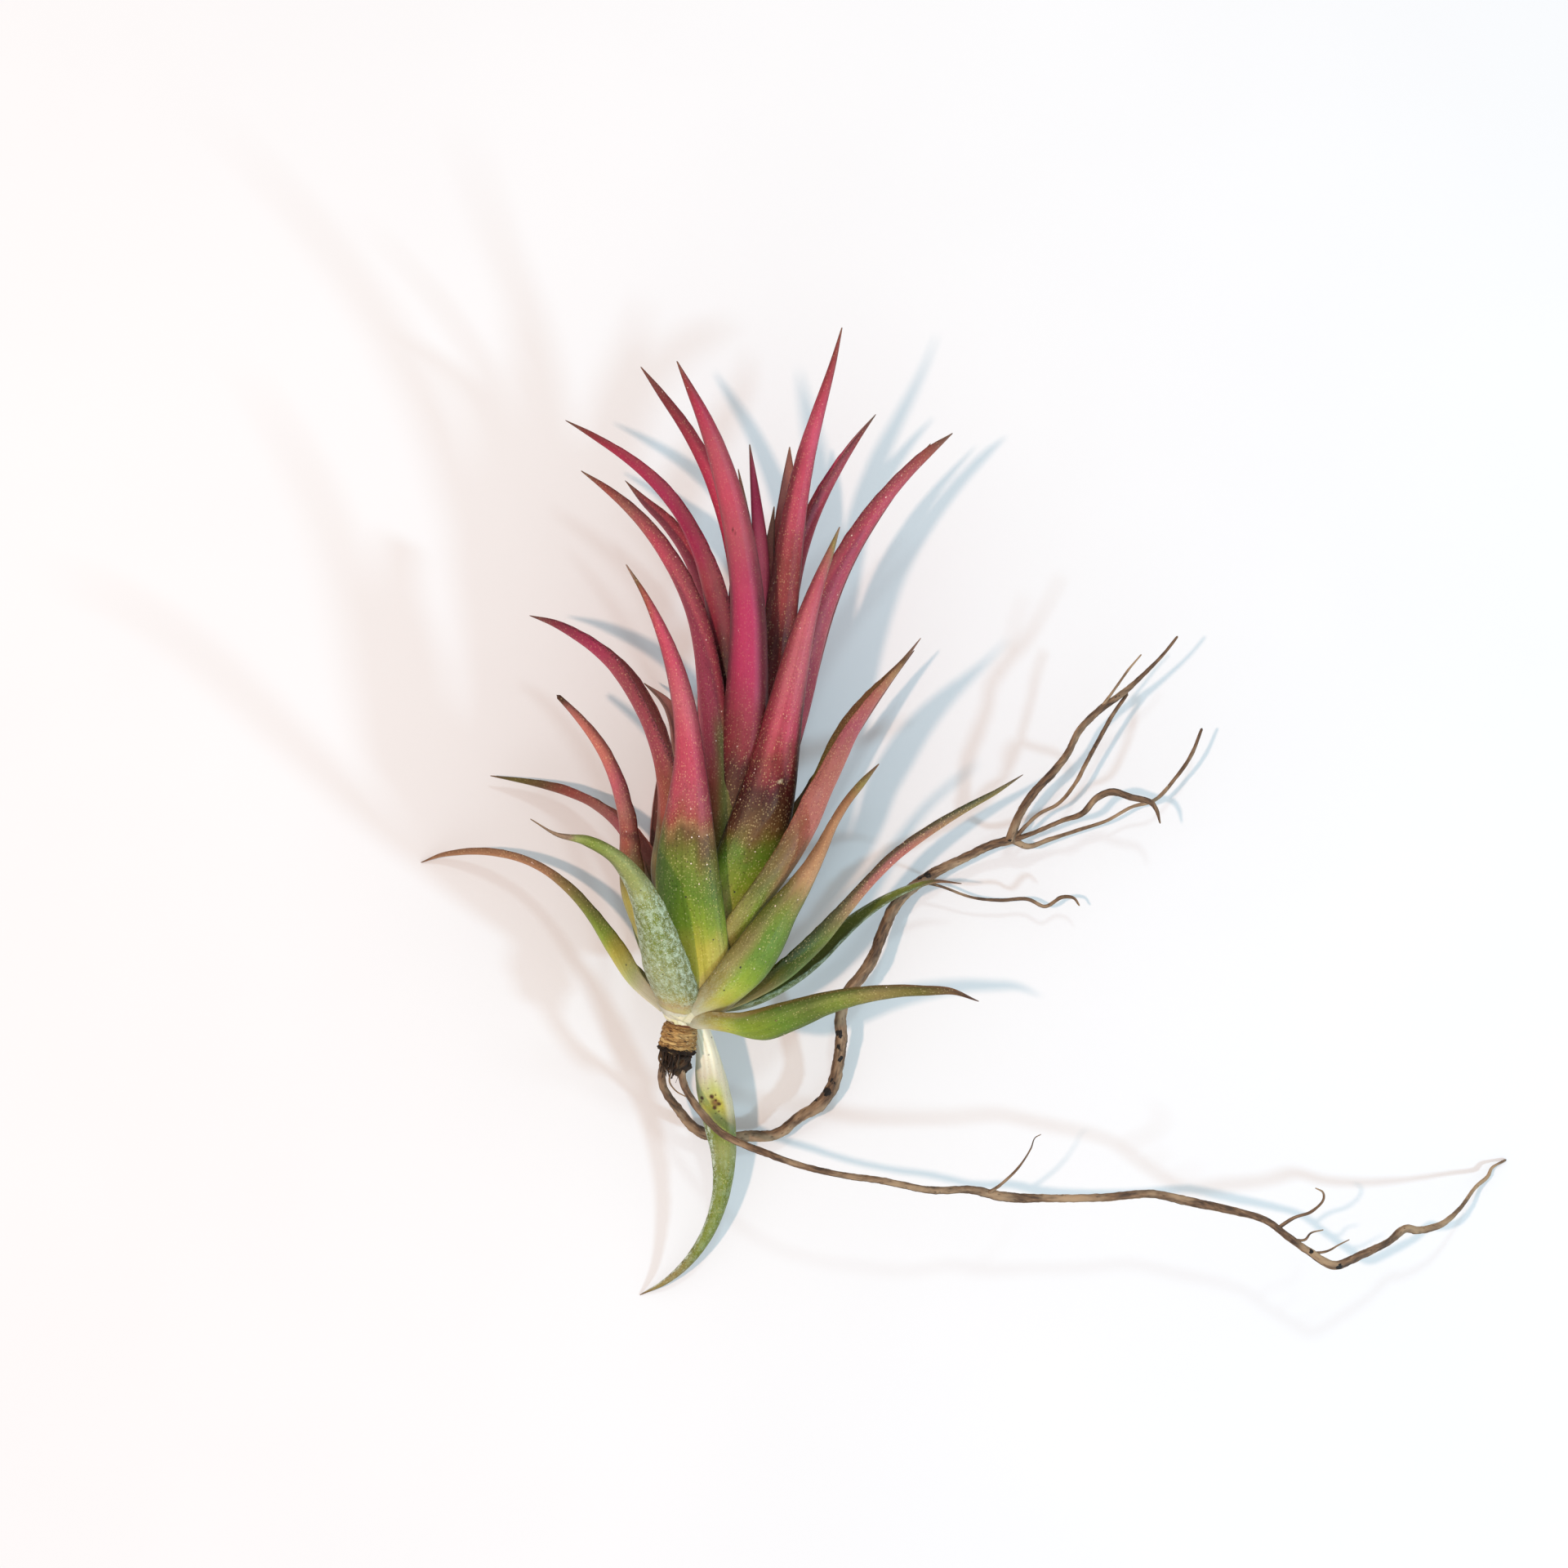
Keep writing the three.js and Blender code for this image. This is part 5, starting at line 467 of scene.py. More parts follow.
        "fleck": [(0, 0.5), (1, 0.9)],
        "soot": [(0, 0.3), (1, 0.1)],
        "frill": 0.06,
        "rim": [(0, 0), (1, 0.2)],
    },
    "leaf_11": {
        "slot": "leaf_green",
        "dense": 2,
        "edge": 0.26,
        # the pale base of this leaf is painted brighter than white, painted light where it lies in the shade of the
        # leaves above
        "out": [(0, "chalk"), (0.13, "chalk"), (0.2, "ivory"), (0.25, "celery"), (0.3, "lemon"), (0.335, "sage"), (0.38, "leaf"), (0.44, "sage"), (0.52, "leaf"), (0.62, "leaf"), (0.74, "leaf"), (0.86, "khaki"), (0.94, "khaki"), (1, "tip")],
        "flank": [(-1, "ivory", 0.0, 0.34, 0.8, 0.5), (1, "grass", 0.14, 0.5, 0.5, 0.4)],
        "spots": [(0.285, -0.16, 0.66, "bronze", 0.8), (0.266, -0.02, 0.34, "umber", 1), (0.3, -0.06, 0.34, "umber", 1), (0.29, -0.36, 0.32, "umber", 1), (0.284, -0.14, 0.2, "clay", 0.8), (0.278, -0.22, 0.16, "maroon", 1), (0.312, -0.28, 0.15, "umber", 0.9), (0.262, -0.26, 0.13, "umber", 0.9), (0.318, -0.05, 0.12, "umber", 0.9), (0.27, 0.62, 0.28, "umber", 1), (0.282, 0.72, 0.16, "umber", 0.9), (0.24, 0.1, 0.1, "umber", 0.8), (0.22, -0.4, 0.09, "umber", 0.8), (0.335, -0.35, 0.1, "umber", 0.8), (0.35, 0.0, 0.1, "umber", 0.8), (0.14, -0.3, 0.1, "umber", 0.9), (0.05, 0.5, 0.22, "umber", 0.9), (0.03, 0.7, 0.2, "umber", 0.8), (0.36, 0.3, 0.11, "umber", 0.8)],
        "scurf": [(1, 0.33, 0.95, 0.9, 0.75), (-1, 0.4, 0.9, 0.25, 0.12), (0, 0.45, 0.9, 0.18, 1)],
        "fleck": [(0, 0.1), (0.35, 0.6), (0.5, 0.9), (1, 0.9)],
        "soot": [(0, 0.35), (1, 0.1)],
        "rim": [(0, 0), (0.35, 0.0), (0.5, 0.2), (1, 0.4)],
        "lines": [(0, 0.5), (0.4, 0.4), (1, 0.2)],
        "frill": 0.06,
    },
    "leaf_12": {
        "slot": "leaf_red",
        "out": [(0, "cream"), (0.06, "yellow"), (0.11, "khaki"), (0.16, "bronze"), (0.21, "umber"), (0.26, "umber"), (0.31, "maroon"), (0.355, "wine"), (0.4, "plum"), (0.47, "berry"), (0.58, "berry"), (0.68, "cherry"), (0.76, "rose"), (0.84, "cherry"), (0.9, "crimson"), (0.95, "brick"), (1, "tip")],
        "flank": [(1, "maroon", 0.24, 0.62, 0.8, 0.55), (-1, "maroon", 0.27, 0.62, 0.65, 0.42), (-1, "wine", 0.6, 0.95, 0.5, 0.3), (1, "wine", 0.6, 0.8, 0.4, 0.3)],
        "spots": [(0.706, -0.12, 0.16, "maroon", 0.9), (0.7, 0.05, 0.12, "maroon", 0.9), (0.745, -0.5, 0.1, "maroon", 0.8)],
        "fleck": [(0, 0.3), (0.2, 1.5), (0.28, 1.4), (0.36, 0.9), (0.45, 0.4), (0.6, 0.3), (1, 0.4)],
        "lines": [(0, 0.4), (0.3, 0.3), (0.5, 0.1), (1, 0.1)],
        "rim": [(0, 0), (0.2, 0.5), (1, 0.5)],
    },
    "leaf_13": {
        "slot": "leaf_pink",
        "out": [(0, "straw"), (0.08, "sand"), (0.14, "pear"), (0.2, "olive"), (0.26, "bronze"), (0.34, "rust"), (0.39, "cherry"), (0.45, "rose"), (0.52, "rose"), (0.6, "rose"), (0.7, "cherry"), (0.78, "rose"), (0.86, "dusk"), (0.93, "rust"), (1, "tip")],
        "in": [(0, "straw"), (0.2, "olive"), (0.4, "bronze"), (0.6, "brick"), (0.8, "brick"), (1, "tip")],
        "flank": [(1, "green", 0.12, 0.46, 0.8, 0.6), (1, "wine", 0.44, 0.95, 0.35, 0.3), (-1, "wine", 0.3, 0.95, 0.35, 0.25)],
        "mix": 0.03,
        "fleck": [(0, 0.4), (0.3, 0.9), (0.5, 0.8), (0.75, 1), (1, 0.8)],
        "rim": [(0, 0), (0.15, 0.7), (0.5, 1), (0.9, 0.9), (1, 0.5)],
    },
    "leaf_14": {
        "slot": "leaf_red",
        "out": [(0, "straw"), (0.1, "mustard"), (0.17, "umber"), (0.23, "bronze"), (0.28, "rust"), (0.34, "brick"), (0.4, "wine"), (0.5, "maroon"), (0.56, "brick"), (0.62, "brick"), (0.68, "rose"), (0.76, "rose"), (0.82, "pink"), (0.88, "rose"), (0.95, "brick"), (1, "tip")],
        "flank": [(-1, "maroon", 0.35, 0.78, 0.6, 0.4), (1, "wine", 0.4, 0.9, 0.55, 0.35)],
        "fleck": [(0, 0.4), (0.3, 1), (0.6, 1), (0.72, 0.8), (0.85, 0.6), (1, 0.5)],
        "lines": [(0, 0.3), (0.5, 0.2), (0.7, 0.3), (1, 0.2)],
    },
    "leaf_15": {
        "slot": "leaf_pink",
        "out": [(0, "straw"), (0.1, "sand"), (0.17, "leaf"), (0.25, "olive"), (0.31, "khaki"), (0.36, "bronze"), (0.41, "rust"), (0.47, "rust"), (0.52, "cherry"), (0.6, "cherry"), (0.7, "cherry"), (0.82, "berry"), (0.92, "plum"), (1, "tip")],
        "in": [(0, "straw"), (0.15, "leaf"), (0.28, "olive"), (0.36, "bronze"), (0.46, "rust"), (0.7, "brick"), (0.9, "plum"), (1, "tip")],
        "flank": [(1, "olive", 0.2, 0.44, 0.6, 0.5), (-1, "maroon", 0.42, 0.95, 0.25, 0.2)],
        "fleck": [(0, 0.4), (0.35, 0.8), (0.6, 0.9), (1, 0.8)],
        "rim": [(0, 0), (0.2, 0.7), (0.5, 1), (0.9, 0.9), (1, 0.4)],
    },
    "leaf_16": {
        "slot": "leaf_red",
        "out": [(0, "straw"), (0.1, "ochre"), (0.18, "olive"), (0.25, "bronze"), (0.31, "rust"), (0.4, "plum"), (0.5, "plum"), (0.6, "cherry"), (0.7, "rose"), (0.8, "rose"), (0.88, "cherry"), (0.95, "rust"), (1, "tip")],
        "in": [(0, "straw"), (0.3, "maroon"), (0.6, "brick"), (0.9, "cherry"), (1, "tip")],
        "flank": [(1, "wine", 0.35, 0.9, 0.4, 0.25), (-1, "maroon", 0.3, 0.9, 0.35, 0.2)],
        "fleck": [(0, 0.4), (0.4, 1), (0.6, 1), (0.8, 0.8), (1, 0.7)],
        "rim": [(0, 0), (0.3, 0.6), (1, 0.6)],
    },
    "leaf_17": {
        "slot": "leaf_pink",
        "out": [(0, "straw"), (0.18, "leaf"), (0.28, "olive"), (0.38, "rust"), (0.46, "cherry"), (0.6, "dusk"), (0.72, "rust"), (0.82, "bronze"), (0.92, "olive"), (1, "tip")],
        "in": [(0, "straw"), (0.18, "leaf"), (0.3, "olive"), (0.4, "dusk"), (0.55, "rust"), (0.75, "bronze"), (1, "tip")],
        "fleck": [(0, 0.4), (0.5, 0.6), (1, 0.5)],
        "rim": [(0, 0), (0.3, 0.6), (1, 0.6)],
    },
    "leaf_18": {
        "slot": "leaf_red",
        "out": [(0, "straw"), (0.1, "bronze"), (0.19, "umber"), (0.28, "umber"), (0.36, "maroon"), (0.48, "maroon"), (0.54, "plum"), (0.62, "cherry"), (0.68, "berry"), (0.78, "berry"), (0.9, "crimson"), (0.95, "brick"), (1, "tip")],
        "in": [(0, "straw"), (0.2, "olive"), (0.4, "bronze"), (0.55, "bronze"), (0.66, "plum"), (0.8, "crimson"), (0.9, "brick"), (1, "tip")],
        "flank": [(-1, "maroon", 0.3, 0.55, 0.3, 0.4), (1, "wine", 0.55, 0.95, 0.25, 0.25)],
        "fleck": [(0, 0.4), (0.3, 1.0), (0.42, 0.8), (0.55, 0.4), (1, 0.35)],
        "rim": [(0, 0), (0.25, 0.8), (0.7, 0.9), (1, 0.4)],
    },
    "leaf_19": {
        "slot": "leaf_red",
        "out": [(0, "straw"), (0.2, "olive"), (0.3, "maroon"), (0.5, "wine"), (0.62, "crimson"), (0.8, "crimson"), (0.93, "wine"), (1, "tip")],
        "flank": [(1, "wine", 0.5, 0.95, 0.5, 0.4)],
        "fleck": [(0, 0.4), (0.4, 0.8), (0.6, 0.5), (1, 0.4)],
    },
    "leaf_20": {
        "slot": "leaf_pink",
        "out": [(0, "straw"), (0.2, "leaf"), (0.35, "green"), (0.45, "olive"), (0.6, "bronze"), (0.8, "dusk"), (1, "tip")],
        "fleck": [(0, 0.4), (0.5, 0.6), (1, 0.5)],
    },
    "leaf_21": {
        "slot": "leaf_red",
        "out": [(0, "straw"), (0.2, "olive"), (0.35, "maroon"), (0.6, "wine"), (0.85, "wine"), (0.93, "bronze"), (1, "tip")],
        "fleck": [(0, 0.4), (0.5, 0.6), (1, 0.5)],
    },
    "leaf_22": {
        "slot": "leaf_red",
        "out": [(0, "straw"), (0.1, "bronze"), (0.2, "bronze"), (0.28, "wine"), (0.36, "brick"), (0.46, "brick"), (0.54, "brick"), (0.64, "cherry"), (0.74, "rose"), (0.82, "rose"), (0.9, "cherry"), (0.95, "brick"), (1, "tip")],
        "in": [(0, "straw"), (0.3, "maroon"), (0.6, "rust"), (0.72, "rust"), (0.88, "berry"), (1, "tip")],
        "flank": [(-1, "maroon", 0.5, 0.97, 0.4, 0.13)],
        "fleck": [(0, 0.4), (0.5, 1), (0.8, 0.9), (1, 0.6)],
    },
    "leaf_23": {
        "slot": "leaf_red",
        "out": [(0, "straw"), (0.1, "leaf"), (0.2, "bronze"), (0.3, "bronze"), (0.38, "rust"), (0.46, "cherry"), (0.56, "rose"), (0.66, "rose"), (0.82, "rose"), (0.92, "cherry"), (1, "tip")],
        "in": [(0, "straw"), (0.2, "olive"), (0.4, "bronze"), (0.52, "rust"), (0.7, "cherry"), (0.9, "rust"), (1, "tip")],
        "fleck": [(0, 0.4), (0.5, 0.9), (1, 0.7)],
        "rim": [(0, 0), (0.3, 0.8), (0.9, 0.8), (1, 0.4)],
    },
    "leaf_24": {
        "slot": "leaf_pink",
        "out": [(0, "straw"), (0.15, "leaf"), (0.4, "green"), (0.6, "olive"), (0.75, "dusk"), (1, "tip")],
        "in": [(0, "straw"), (0.15, "leaf"), (0.4, "olive"), (0.6, "dusk"), (0.9, "dusk"), (1, "tip")],
        "fleck": [(0, 0.4), (1, 0.5)],
    },
    "leaf_25": {
        "slot": "leaf_red",
        "out": [(0, "straw"), (0.12, "umber"), (0.2, "bronze"), (0.3, "plum"), (0.38, "berry"), (0.46, "pink"), (0.56, "pink"), (0.66, "pink"), (0.8, "pink"), (0.88, "berry"), (0.95, "plum"), (1, "tip")],
        "flank": [(1, "wine", 0.4, 0.9, 0.2, 0.2)],
        "fleck": [(0, 0.4), (0.3, 0.8), (0.5, 0.4), (1, 0.3)],
    },
    "leaf_26": {
        "slot": "leaf_red",
        "out": [(0, "straw"), (0.2, "olive"), (0.4, "maroon"), (0.6, "brick"), (0.8, "brick"), (0.93, "dusk"), (1, "tip")],
        "in": [(0, "straw"), (0.2, "olive"), (0.4, "maroon"), (0.6, "brick"), (0.8, "brick"), (0.93, "dusk"), (1, "tip")],
        "fleck": [(0, 0.4), (0.6, 0.7), (1, 0.4)],
    },
    "leaf_27": {
        "slot": "leaf_red",
        "out": [(0, "straw"), (0.2, "olive"), (0.4, "maroon"), (0.6, "wine"), (0.8, "wine"), (1, "tip")],
        "fleck": [(0, 0.4), (0.6, 0.7), (1, 0.4)],
    },
    "leaf_28": {
        "slot": "leaf_red",
        "out": [(0, "straw"), (0.2, "olive"), (0.4, "maroon"), (0.6, "brick"), (0.8, "maroon"), (1, "tip")],
        "in": [(0, "straw"), (0.4, "maroon"), (0.8, "wine"), (1, "tip")],
        "fleck": [(0, 0.4), (0.6, 0.7), (1, 0.4)],
    },
    "leaf_29": {
        "slot": "leaf_under",
        "out": [(0, "cream"), (0.14, "yellow"), (0.32, "leaf"), (0.55, "green"), (0.68, "olive"), (0.8, "dusk"), (0.93, "rust"), (1, "tip")],
    },
    "leaf_30": {
        "slot": "leaf_under",
        "out": [(0, "cream"), (0.12, "yellow"), (0.28, "leaf"), (0.42, "olive"), (0.5, "rust"), (0.62, "coral"), (0.85, "rose"), (0.95, "bronze"), (1, "tip")],
    },
    "leaf_31": {
        "slot": "leaf_under",
        "out": [(0, "cream"), (0.2, "yellow"), (0.45, "leaf"), (0.8, "olive"), (1, "tip")],
        "in": [(0, "straw"), (0.3, "leaf"), (0.8, "green"), (1, "tip")],
        "rim": [(0, 0), (0.3, 0.9), (1, 0.6)],
    },
    "leaf_32": {
        "slot": "leaf_under",
        "out": [(0, "cream"), (0.14, "yellow"), (0.32, "leaf"), (0.55, "green"), (0.68, "olive"), (0.8, "dusk"), (0.93, "rust"), (1, "tip")],
    },
    "leaf_33": {
        "slot": "leaf_under",
        "out": [(0, "cream"), (0.2, "leaf"), (0.45, "olive"), (0.6, "dusk"), (0.9, "dusk"), (1, "tip")],
    },
    "leaf_34": {
        "slot": "leaf_under",
        "out": [(0, "cream"), (0.12, "yellow"), (0.3, "leaf"), (0.5, "olive"), (0.6, "rust"), (0.75, "coral"), (0.95, "bronze"), (1, "tip")],
    },
    "leaf_35": {
        "slot": "leaf_under",
        "out": [(0, "cream"), (0.12, "yellow"), (0.28, "leaf"), (0.42, "olive"), (0.5, "bronze"), (0.58, "brick"), (0.7, "rose"), (0.88, "crimson"), (0.96, "brick"), (1, "tip")],
    },
    "leaf_36": {
        "slot": "leaf_under",
        "out": [(0, "cream"), (0.12, "yellow"), (0.28, "leaf"), (0.42, "olive"), (0.5, "bronze"), (0.58, "brick"), (0.7, "rose"), (0.88, "crimson"), (0.96, "brick"), (1, "tip")],
    },
    "leaf_37": {
        "slot": "leaf_under",
        "out": [(0, "cream"), (0.12, "yellow"), (0.28, "leaf"), (0.42, "olive"), (0.5, "bronze"), (0.58, "brick"), (0.7, "rose"), (0.88, "crimson"), (0.96, "brick"), (1, "tip")],
    },
}


# ---------------------------------------------------------------- curves
def spline(rows, n, crowd=1.0):
    """Centripetal Catmull-Rom curve through the rows, as n rows along its length."""
    p = np.asarray(rows, float)
    ext = np.vstack([2 * p[0] - p[1], p, 2 * p[-1] - p[-2]])
    out = []
    for i in range(len(p) - 1):
        p0, p1, p2, p3 = ext[i:i + 4]
        gap = lambda a, b: max(np.linalg.norm(a[:3] - b[:3]) ** 0.5, 1e-4)
        t0 = 0
        t1 = t0 + gap(p0, p1)
        t2 = t1 + gap(p1, p2)
        t3 = t2 + gap(p2, p3)
        t = np.linspace(t1, t2, 40, endpoint=False)[:, None]
        a1 = (t1 - t) / (t1 - t0) * p0 + (t - t0) / (t1 - t0) * p1
        a2 = (t2 - t) / (t2 - t1) * p1 + (t - t1) / (t2 - t1) * p2
        a3 = (t3 - t) / (t3 - t2) * p2 + (t - t2) / (t3 - t2) * p3
        b1 = (t2 - t) / (t2 - t0) * a1 + (t - t0) / (t2 - t0) * a2
        b2 = (t3 - t) / (t3 - t1) * a2 + (t - t1) / (t3 - t1) * a3
        out.append((t2 - t) / (t2 - t1) * b1 + (t - t1) / (t2 - t1) * b2)
    out = np.vstack(out + [p[-1][None]])
    length = np.r_[0, np.cumsum(np.linalg.norm(np.diff(out[:, :3], axis=0), axis=1))]
    q = np.linspace(0, 1, n)
    s = length[-1] * (1 - (1 - q) ** crowd)
    return np.stack([np.interp(s, length, out[:, k]) for k in range(out.shape[1])], 1), s


def wave(points, scale, seed=0.0):
    """Smooth noise between -1 and 1 at each point."""
    off = Vector((seed * 17.3, seed * -9.1, seed * 5.7))
    return np.array([noise.noise(Vector(p) / scale + off) for p in np.asarray(points, float)])


def smooth(x, lo, hi):
    k = np.clip((x - lo) / (hi - lo), 0, 1)
    return k * k * (3 - 2 * k)


def blend(a, b, k):
    return a + (b - a) * np.asarray(k)[..., None]


def stops(t, table):
    """Colours at t from (place, name) pairs."""
    at = [p for p, _ in table]
    cols = np.array([PALETTE[n] for _, n in table])
    return np.stack([np.interp(t, at, cols[:, k]) for k in range(3)], -1)


def ramp(t, table):
    return np.interp(t, [p for p, _ in table], [v for _, v in table])


# ---------------------------------------------------------------- meshes
def new_piece(name, verts, faces, node, material, attributes=None, uv=None):
    mesh = bpy.data.meshes.new(name)
    mesh.from_pydata([tuple(v) for v in (np.asarray(verts) + SHIFT) * MM], [], [tuple(int(i) for i in f) for f in faces])
    mesh.update()
    mesh.polygons.foreach_set("use_smooth", np.ones(len(mesh.polygons), bool))
    for key, value in (attributes or {}).items():
        value = np.asarray(value, float)
        if value.ndim == 2 and key == "tint":
            layer = mesh.attributes.new(key, "FLOAT_COLOR", "POINT")
            layer.data.foreach_set("color", np.concatenate([value, np.ones((len(value), 1))], 1).ravel())
        elif value.ndim == 2:
            layer = mesh.attributes.new(key, "FLOAT_VECTOR", "POINT")
            layer.data.foreach_set("vector", value.ravel())
        else:
            layer = mesh.attributes.new(key, "FLOAT", "POINT")
            layer.data.foreach_set("value", value)
    obj = bpy.data.objects.new(name, mesh)
    bpy.context.scene.collection.objects.link(obj)
    mesh.materials.append(material)
    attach(obj, "root")
    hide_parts(*([node] if isinstance(node, str) else node))
    return obj


def leaf_frame(azimuth, rows, n, crowd):
    r, s = spline(rows, n, crowd)
    p = r[:, :3]
    half = np.maximum(r[:, 3], 0.05)
    depth = np.maximum(r[:, 4], 0.05)
    roll = np.radians(r[:, 5])
    t = np.gradient(p, s, axis=0)
    t /= np.linalg.norm(t, axis=1)[:, None]
    a = math.radians(azimuth)
    out = math.cos(a) * FRONT + math.sin(a) * SIDE
    across0 = np.cross(AXIS, out)
    b = across0[None] - t * (t @ across0)[:, None]
    b /= np.linalg.norm(b, axis=1)[:, None]
    nrm = np.cross(b, t)
    br = b * np.cos(roll)[:, None] + nrm * np.sin(roll)[:, None]
    nr = nrm * np.cos(roll)[:, None] - b * np.sin(roll)[:, None]
    return p, half, depth, t, br, nr, s


def leaf(node, key, azimuth, rows, seed):
    look = LOOKS[key]
    dense = look.get("dense", 1)
    n, mo, mi = int(168 * dense), int(25 * dense) | 1, int(17 * dense) | 1
    p, half, depth, t, br, nr, s = leaf_frame(azimuth, rows, n, 1.12)
    length = s[-1]
    q = s / length
    rng = np.random.default_rng(seed)
    # small unevenness of the blade: it leans a little along its length
    sway = np.interp(q, np.linspace(0, 1, 9), rng.normal(0, 0.07, 9)) * smooth(q, 0.1, 0.35) * (1 - smooth(q, 0.9, 1.0))
    p = p + nr * sway[:, None]
    skin = look.get("wall", 0.8)
    f = np.clip(1 - skin / depth, 0.10, 0.88)
    thin = np.minimum(0.12, 0.2 * half)
    po = np.linspace(-np.pi / 2, np.pi / 2, mo)
    pi = np.linspace(np.pi / 2, -np.pi / 2, mi)
    xo = half[:, None] * np.sin(po)[None]
    yo = depth[:, None] * np.cos(po)[None]
    xi = (half - thin)[:, None] * np.sin(pi)[None]
    yi = (f * depth)[:, None] * np.cos(pi)[None]
    x = np.concatenate([xo, xi], 1)
    y = np.concatenate([yo, yi], 1)
    phi = np.concatenate([po, pi])
    # fine ribs that run along the blade and a slightly frilled margin
    lane = np.abs(np.sin(phi)) ** 6
    frill = np.interp(s, np.arange(0, length + 1.5, 0.8), rng.normal(0, 1, len(np.arange(0, length + 1.5, 0.8))))
    ribs = 0.022 * np.cos(phi * 15 + seed)[None] * smooth(half, 0.5, 1.6)[:, None] * np.cos(phi)[None] ** 0.5
    k = mo + mi
    grow = np.concatenate([np.ones(mo), -np.ones(mi)])
    y = y - 0.5 * depth[:, None] + ribs * grow[None] + look.get("frill", 0.03) * frill[:, None] * lane[None] * smooth(half, 0.3, 1.2)[:, None]
    v = p[:, None] + br[:, None] * x[:, :, None] + nr[:, None] * y[:, :, None]
    verts = v.reshape(-1, 3)
    faces = []
    for i in range(n - 1):
        a = i * k
        for j in range(k):
            j2 = (j + 1) % k
            faces.append((a + j, a + j2, a + j2 + k, a + j + k))
    base_c, tip_c = len(verts), len(verts) + 1
    verts = np.vstack([verts, v[0].mean(0), v[-1].mean(0) + t[-1] * min(0.5, 1.6 * half[-1])])
    for j in range(k):
        j2 = (j + 1) % k
        faces.append((j2, j, base_c))
        last = (n - 1) * k
        faces.append((last + j, last + j2, tip_c))
    # ---- per-vertex fields
    sv = np.repeat(s, k)
    tv = np.repeat(q, k)
    hv = np.repeat(half, k)
    dv = np.repeat(depth, k)
    ph = np.tile(phi, n)
    inner = np.tile(np.concatenate([np.zeros(mo), np.ones(mi)]), n)
    arc = ph * np.sqrt((hv ** 2 + dv ** 2) / 2)         # width along the face, mm
    vv = np.sin(ph)
    body = verts[:n * k]
    big = wave(body, 7.0, seed)
    mid = wave(body, 1.8, seed + 3)
    streak = wave(np.stack([arc * 1.0, sv * 0.07, inner * 9], 1), 0.9, seed + 5)
    shift = look.get("mix", 0.022) * (0.9 * big + 0.6 * mid + 0.9 * streak)
    te = tv + shift * smooth(tv, 0.03, 0.15)
    colour = stops(te, look["out"])
    channel = stops(te, look["in"]) if "in" in look else blend(colour, PALETTE["umber"], 0.35 + 0 * te) * 0.85
    colour = blend(colour, channel, inner)
    # darker or lighter flank, partly the leaf's own side colours and partly painted shade on the side turned from the
    # light: (side, name, from, to, strength, width)
    for side, name, lo, hi, strength, width in look.get("flank", []):
        w = smooth(vv * side, 1 - width, 1 - width * 0.25) * smooth(te, lo - 0.04, lo + 0.04) * (1 - smooth(te, hi - 0.05, hi + 0.05))
        colour = blend(colour, PALETTE[name][None], np.clip(w * strength * (1 - inner), 0, 1))
    # painted shade and painted highlight: the outer face is darkened toward both margins by the look's edge strength,
    # and the middle of the blade is lightened a little
    roll = smooth(np.abs(vv), 0.30, 0.98)
    colour *= (1 + 0.10 * big + 0.06 * mid + 0.07 * streak + 0.07 * (1 - roll) - look.get("edge", 0.24) * roll * (1 - inner))[:, None]
    # spots: (t, v, radius mm, name, strength)
    for ts, vs, rad, name, strength in look.get("spots", []):
        d = np.sqrt(((tv - ts) * length) ** 2 + ((vv - vs) * hv) ** 2) + 0.25 * rad * mid
        w = (1 - smooth(d, rad * 0.5, rad * 1.15)) * strength * (1 - inner)
        colour = blend(colour, PALETTE[name][None], np.clip(w, 0, 1))
    fleck = ramp(te, look.get("fleck", [(0, 0.35), (0.3, 0.8), (0.6, 0.6), (1, 0.4)]))
    rim = smooth(np.abs(vv), 0.955, 0.992) * ramp(tv, look.get("rim", [(0, 0.0), (0.12, 0.5), (0.5, 0.7), (1, 0.5)]))
    scurf = np.zeros(len(tv))
    for side, lo, hi, strength, width in look.get("scurf", []):
        w = smooth(vv * side, 1 - width, 1 - 0.4 * width) if side else np.ones(len(tv))
        scurf = np.maximum(scurf, w * strength * smooth(tv, lo - 0.05, lo + 0.03) * (1 - smooth(tv, hi - 0.03, hi + 0.08)) * (1 - 0.5 * inner))
    soot = ramp(tv, look.get("soot", [(0, 0.3), (0.3, 0.25), (0.5, 0.05), (1, 0.0)]))
    lines = ramp(tv, look.get("lines", [(0, 0.5), (0.3, 0.5), (0.5, 0.2), (1, 0.1)]))
    pad = lambda a, e0=None, e1=None: np.concatenate([a, a[:1], a[-1:]])
    fields = {
        "tint": np.clip(pad(colour) * SKIN_LEVEL, 0.0, 1.0), "fleck": pad(fleck), "rim": pad(rim), "scurf": pad(scurf),
        "soot": pad(soot), "lines": pad(lines), "grid": pad(np.stack([arc + 40 * inner, sv + 100 * (seed % 37), np.zeros(len(sv))], 1)),
    }
    return new_piece(node.replace("leaf", "blade"), verts, faces, node, LEAF_SKIN, fields)


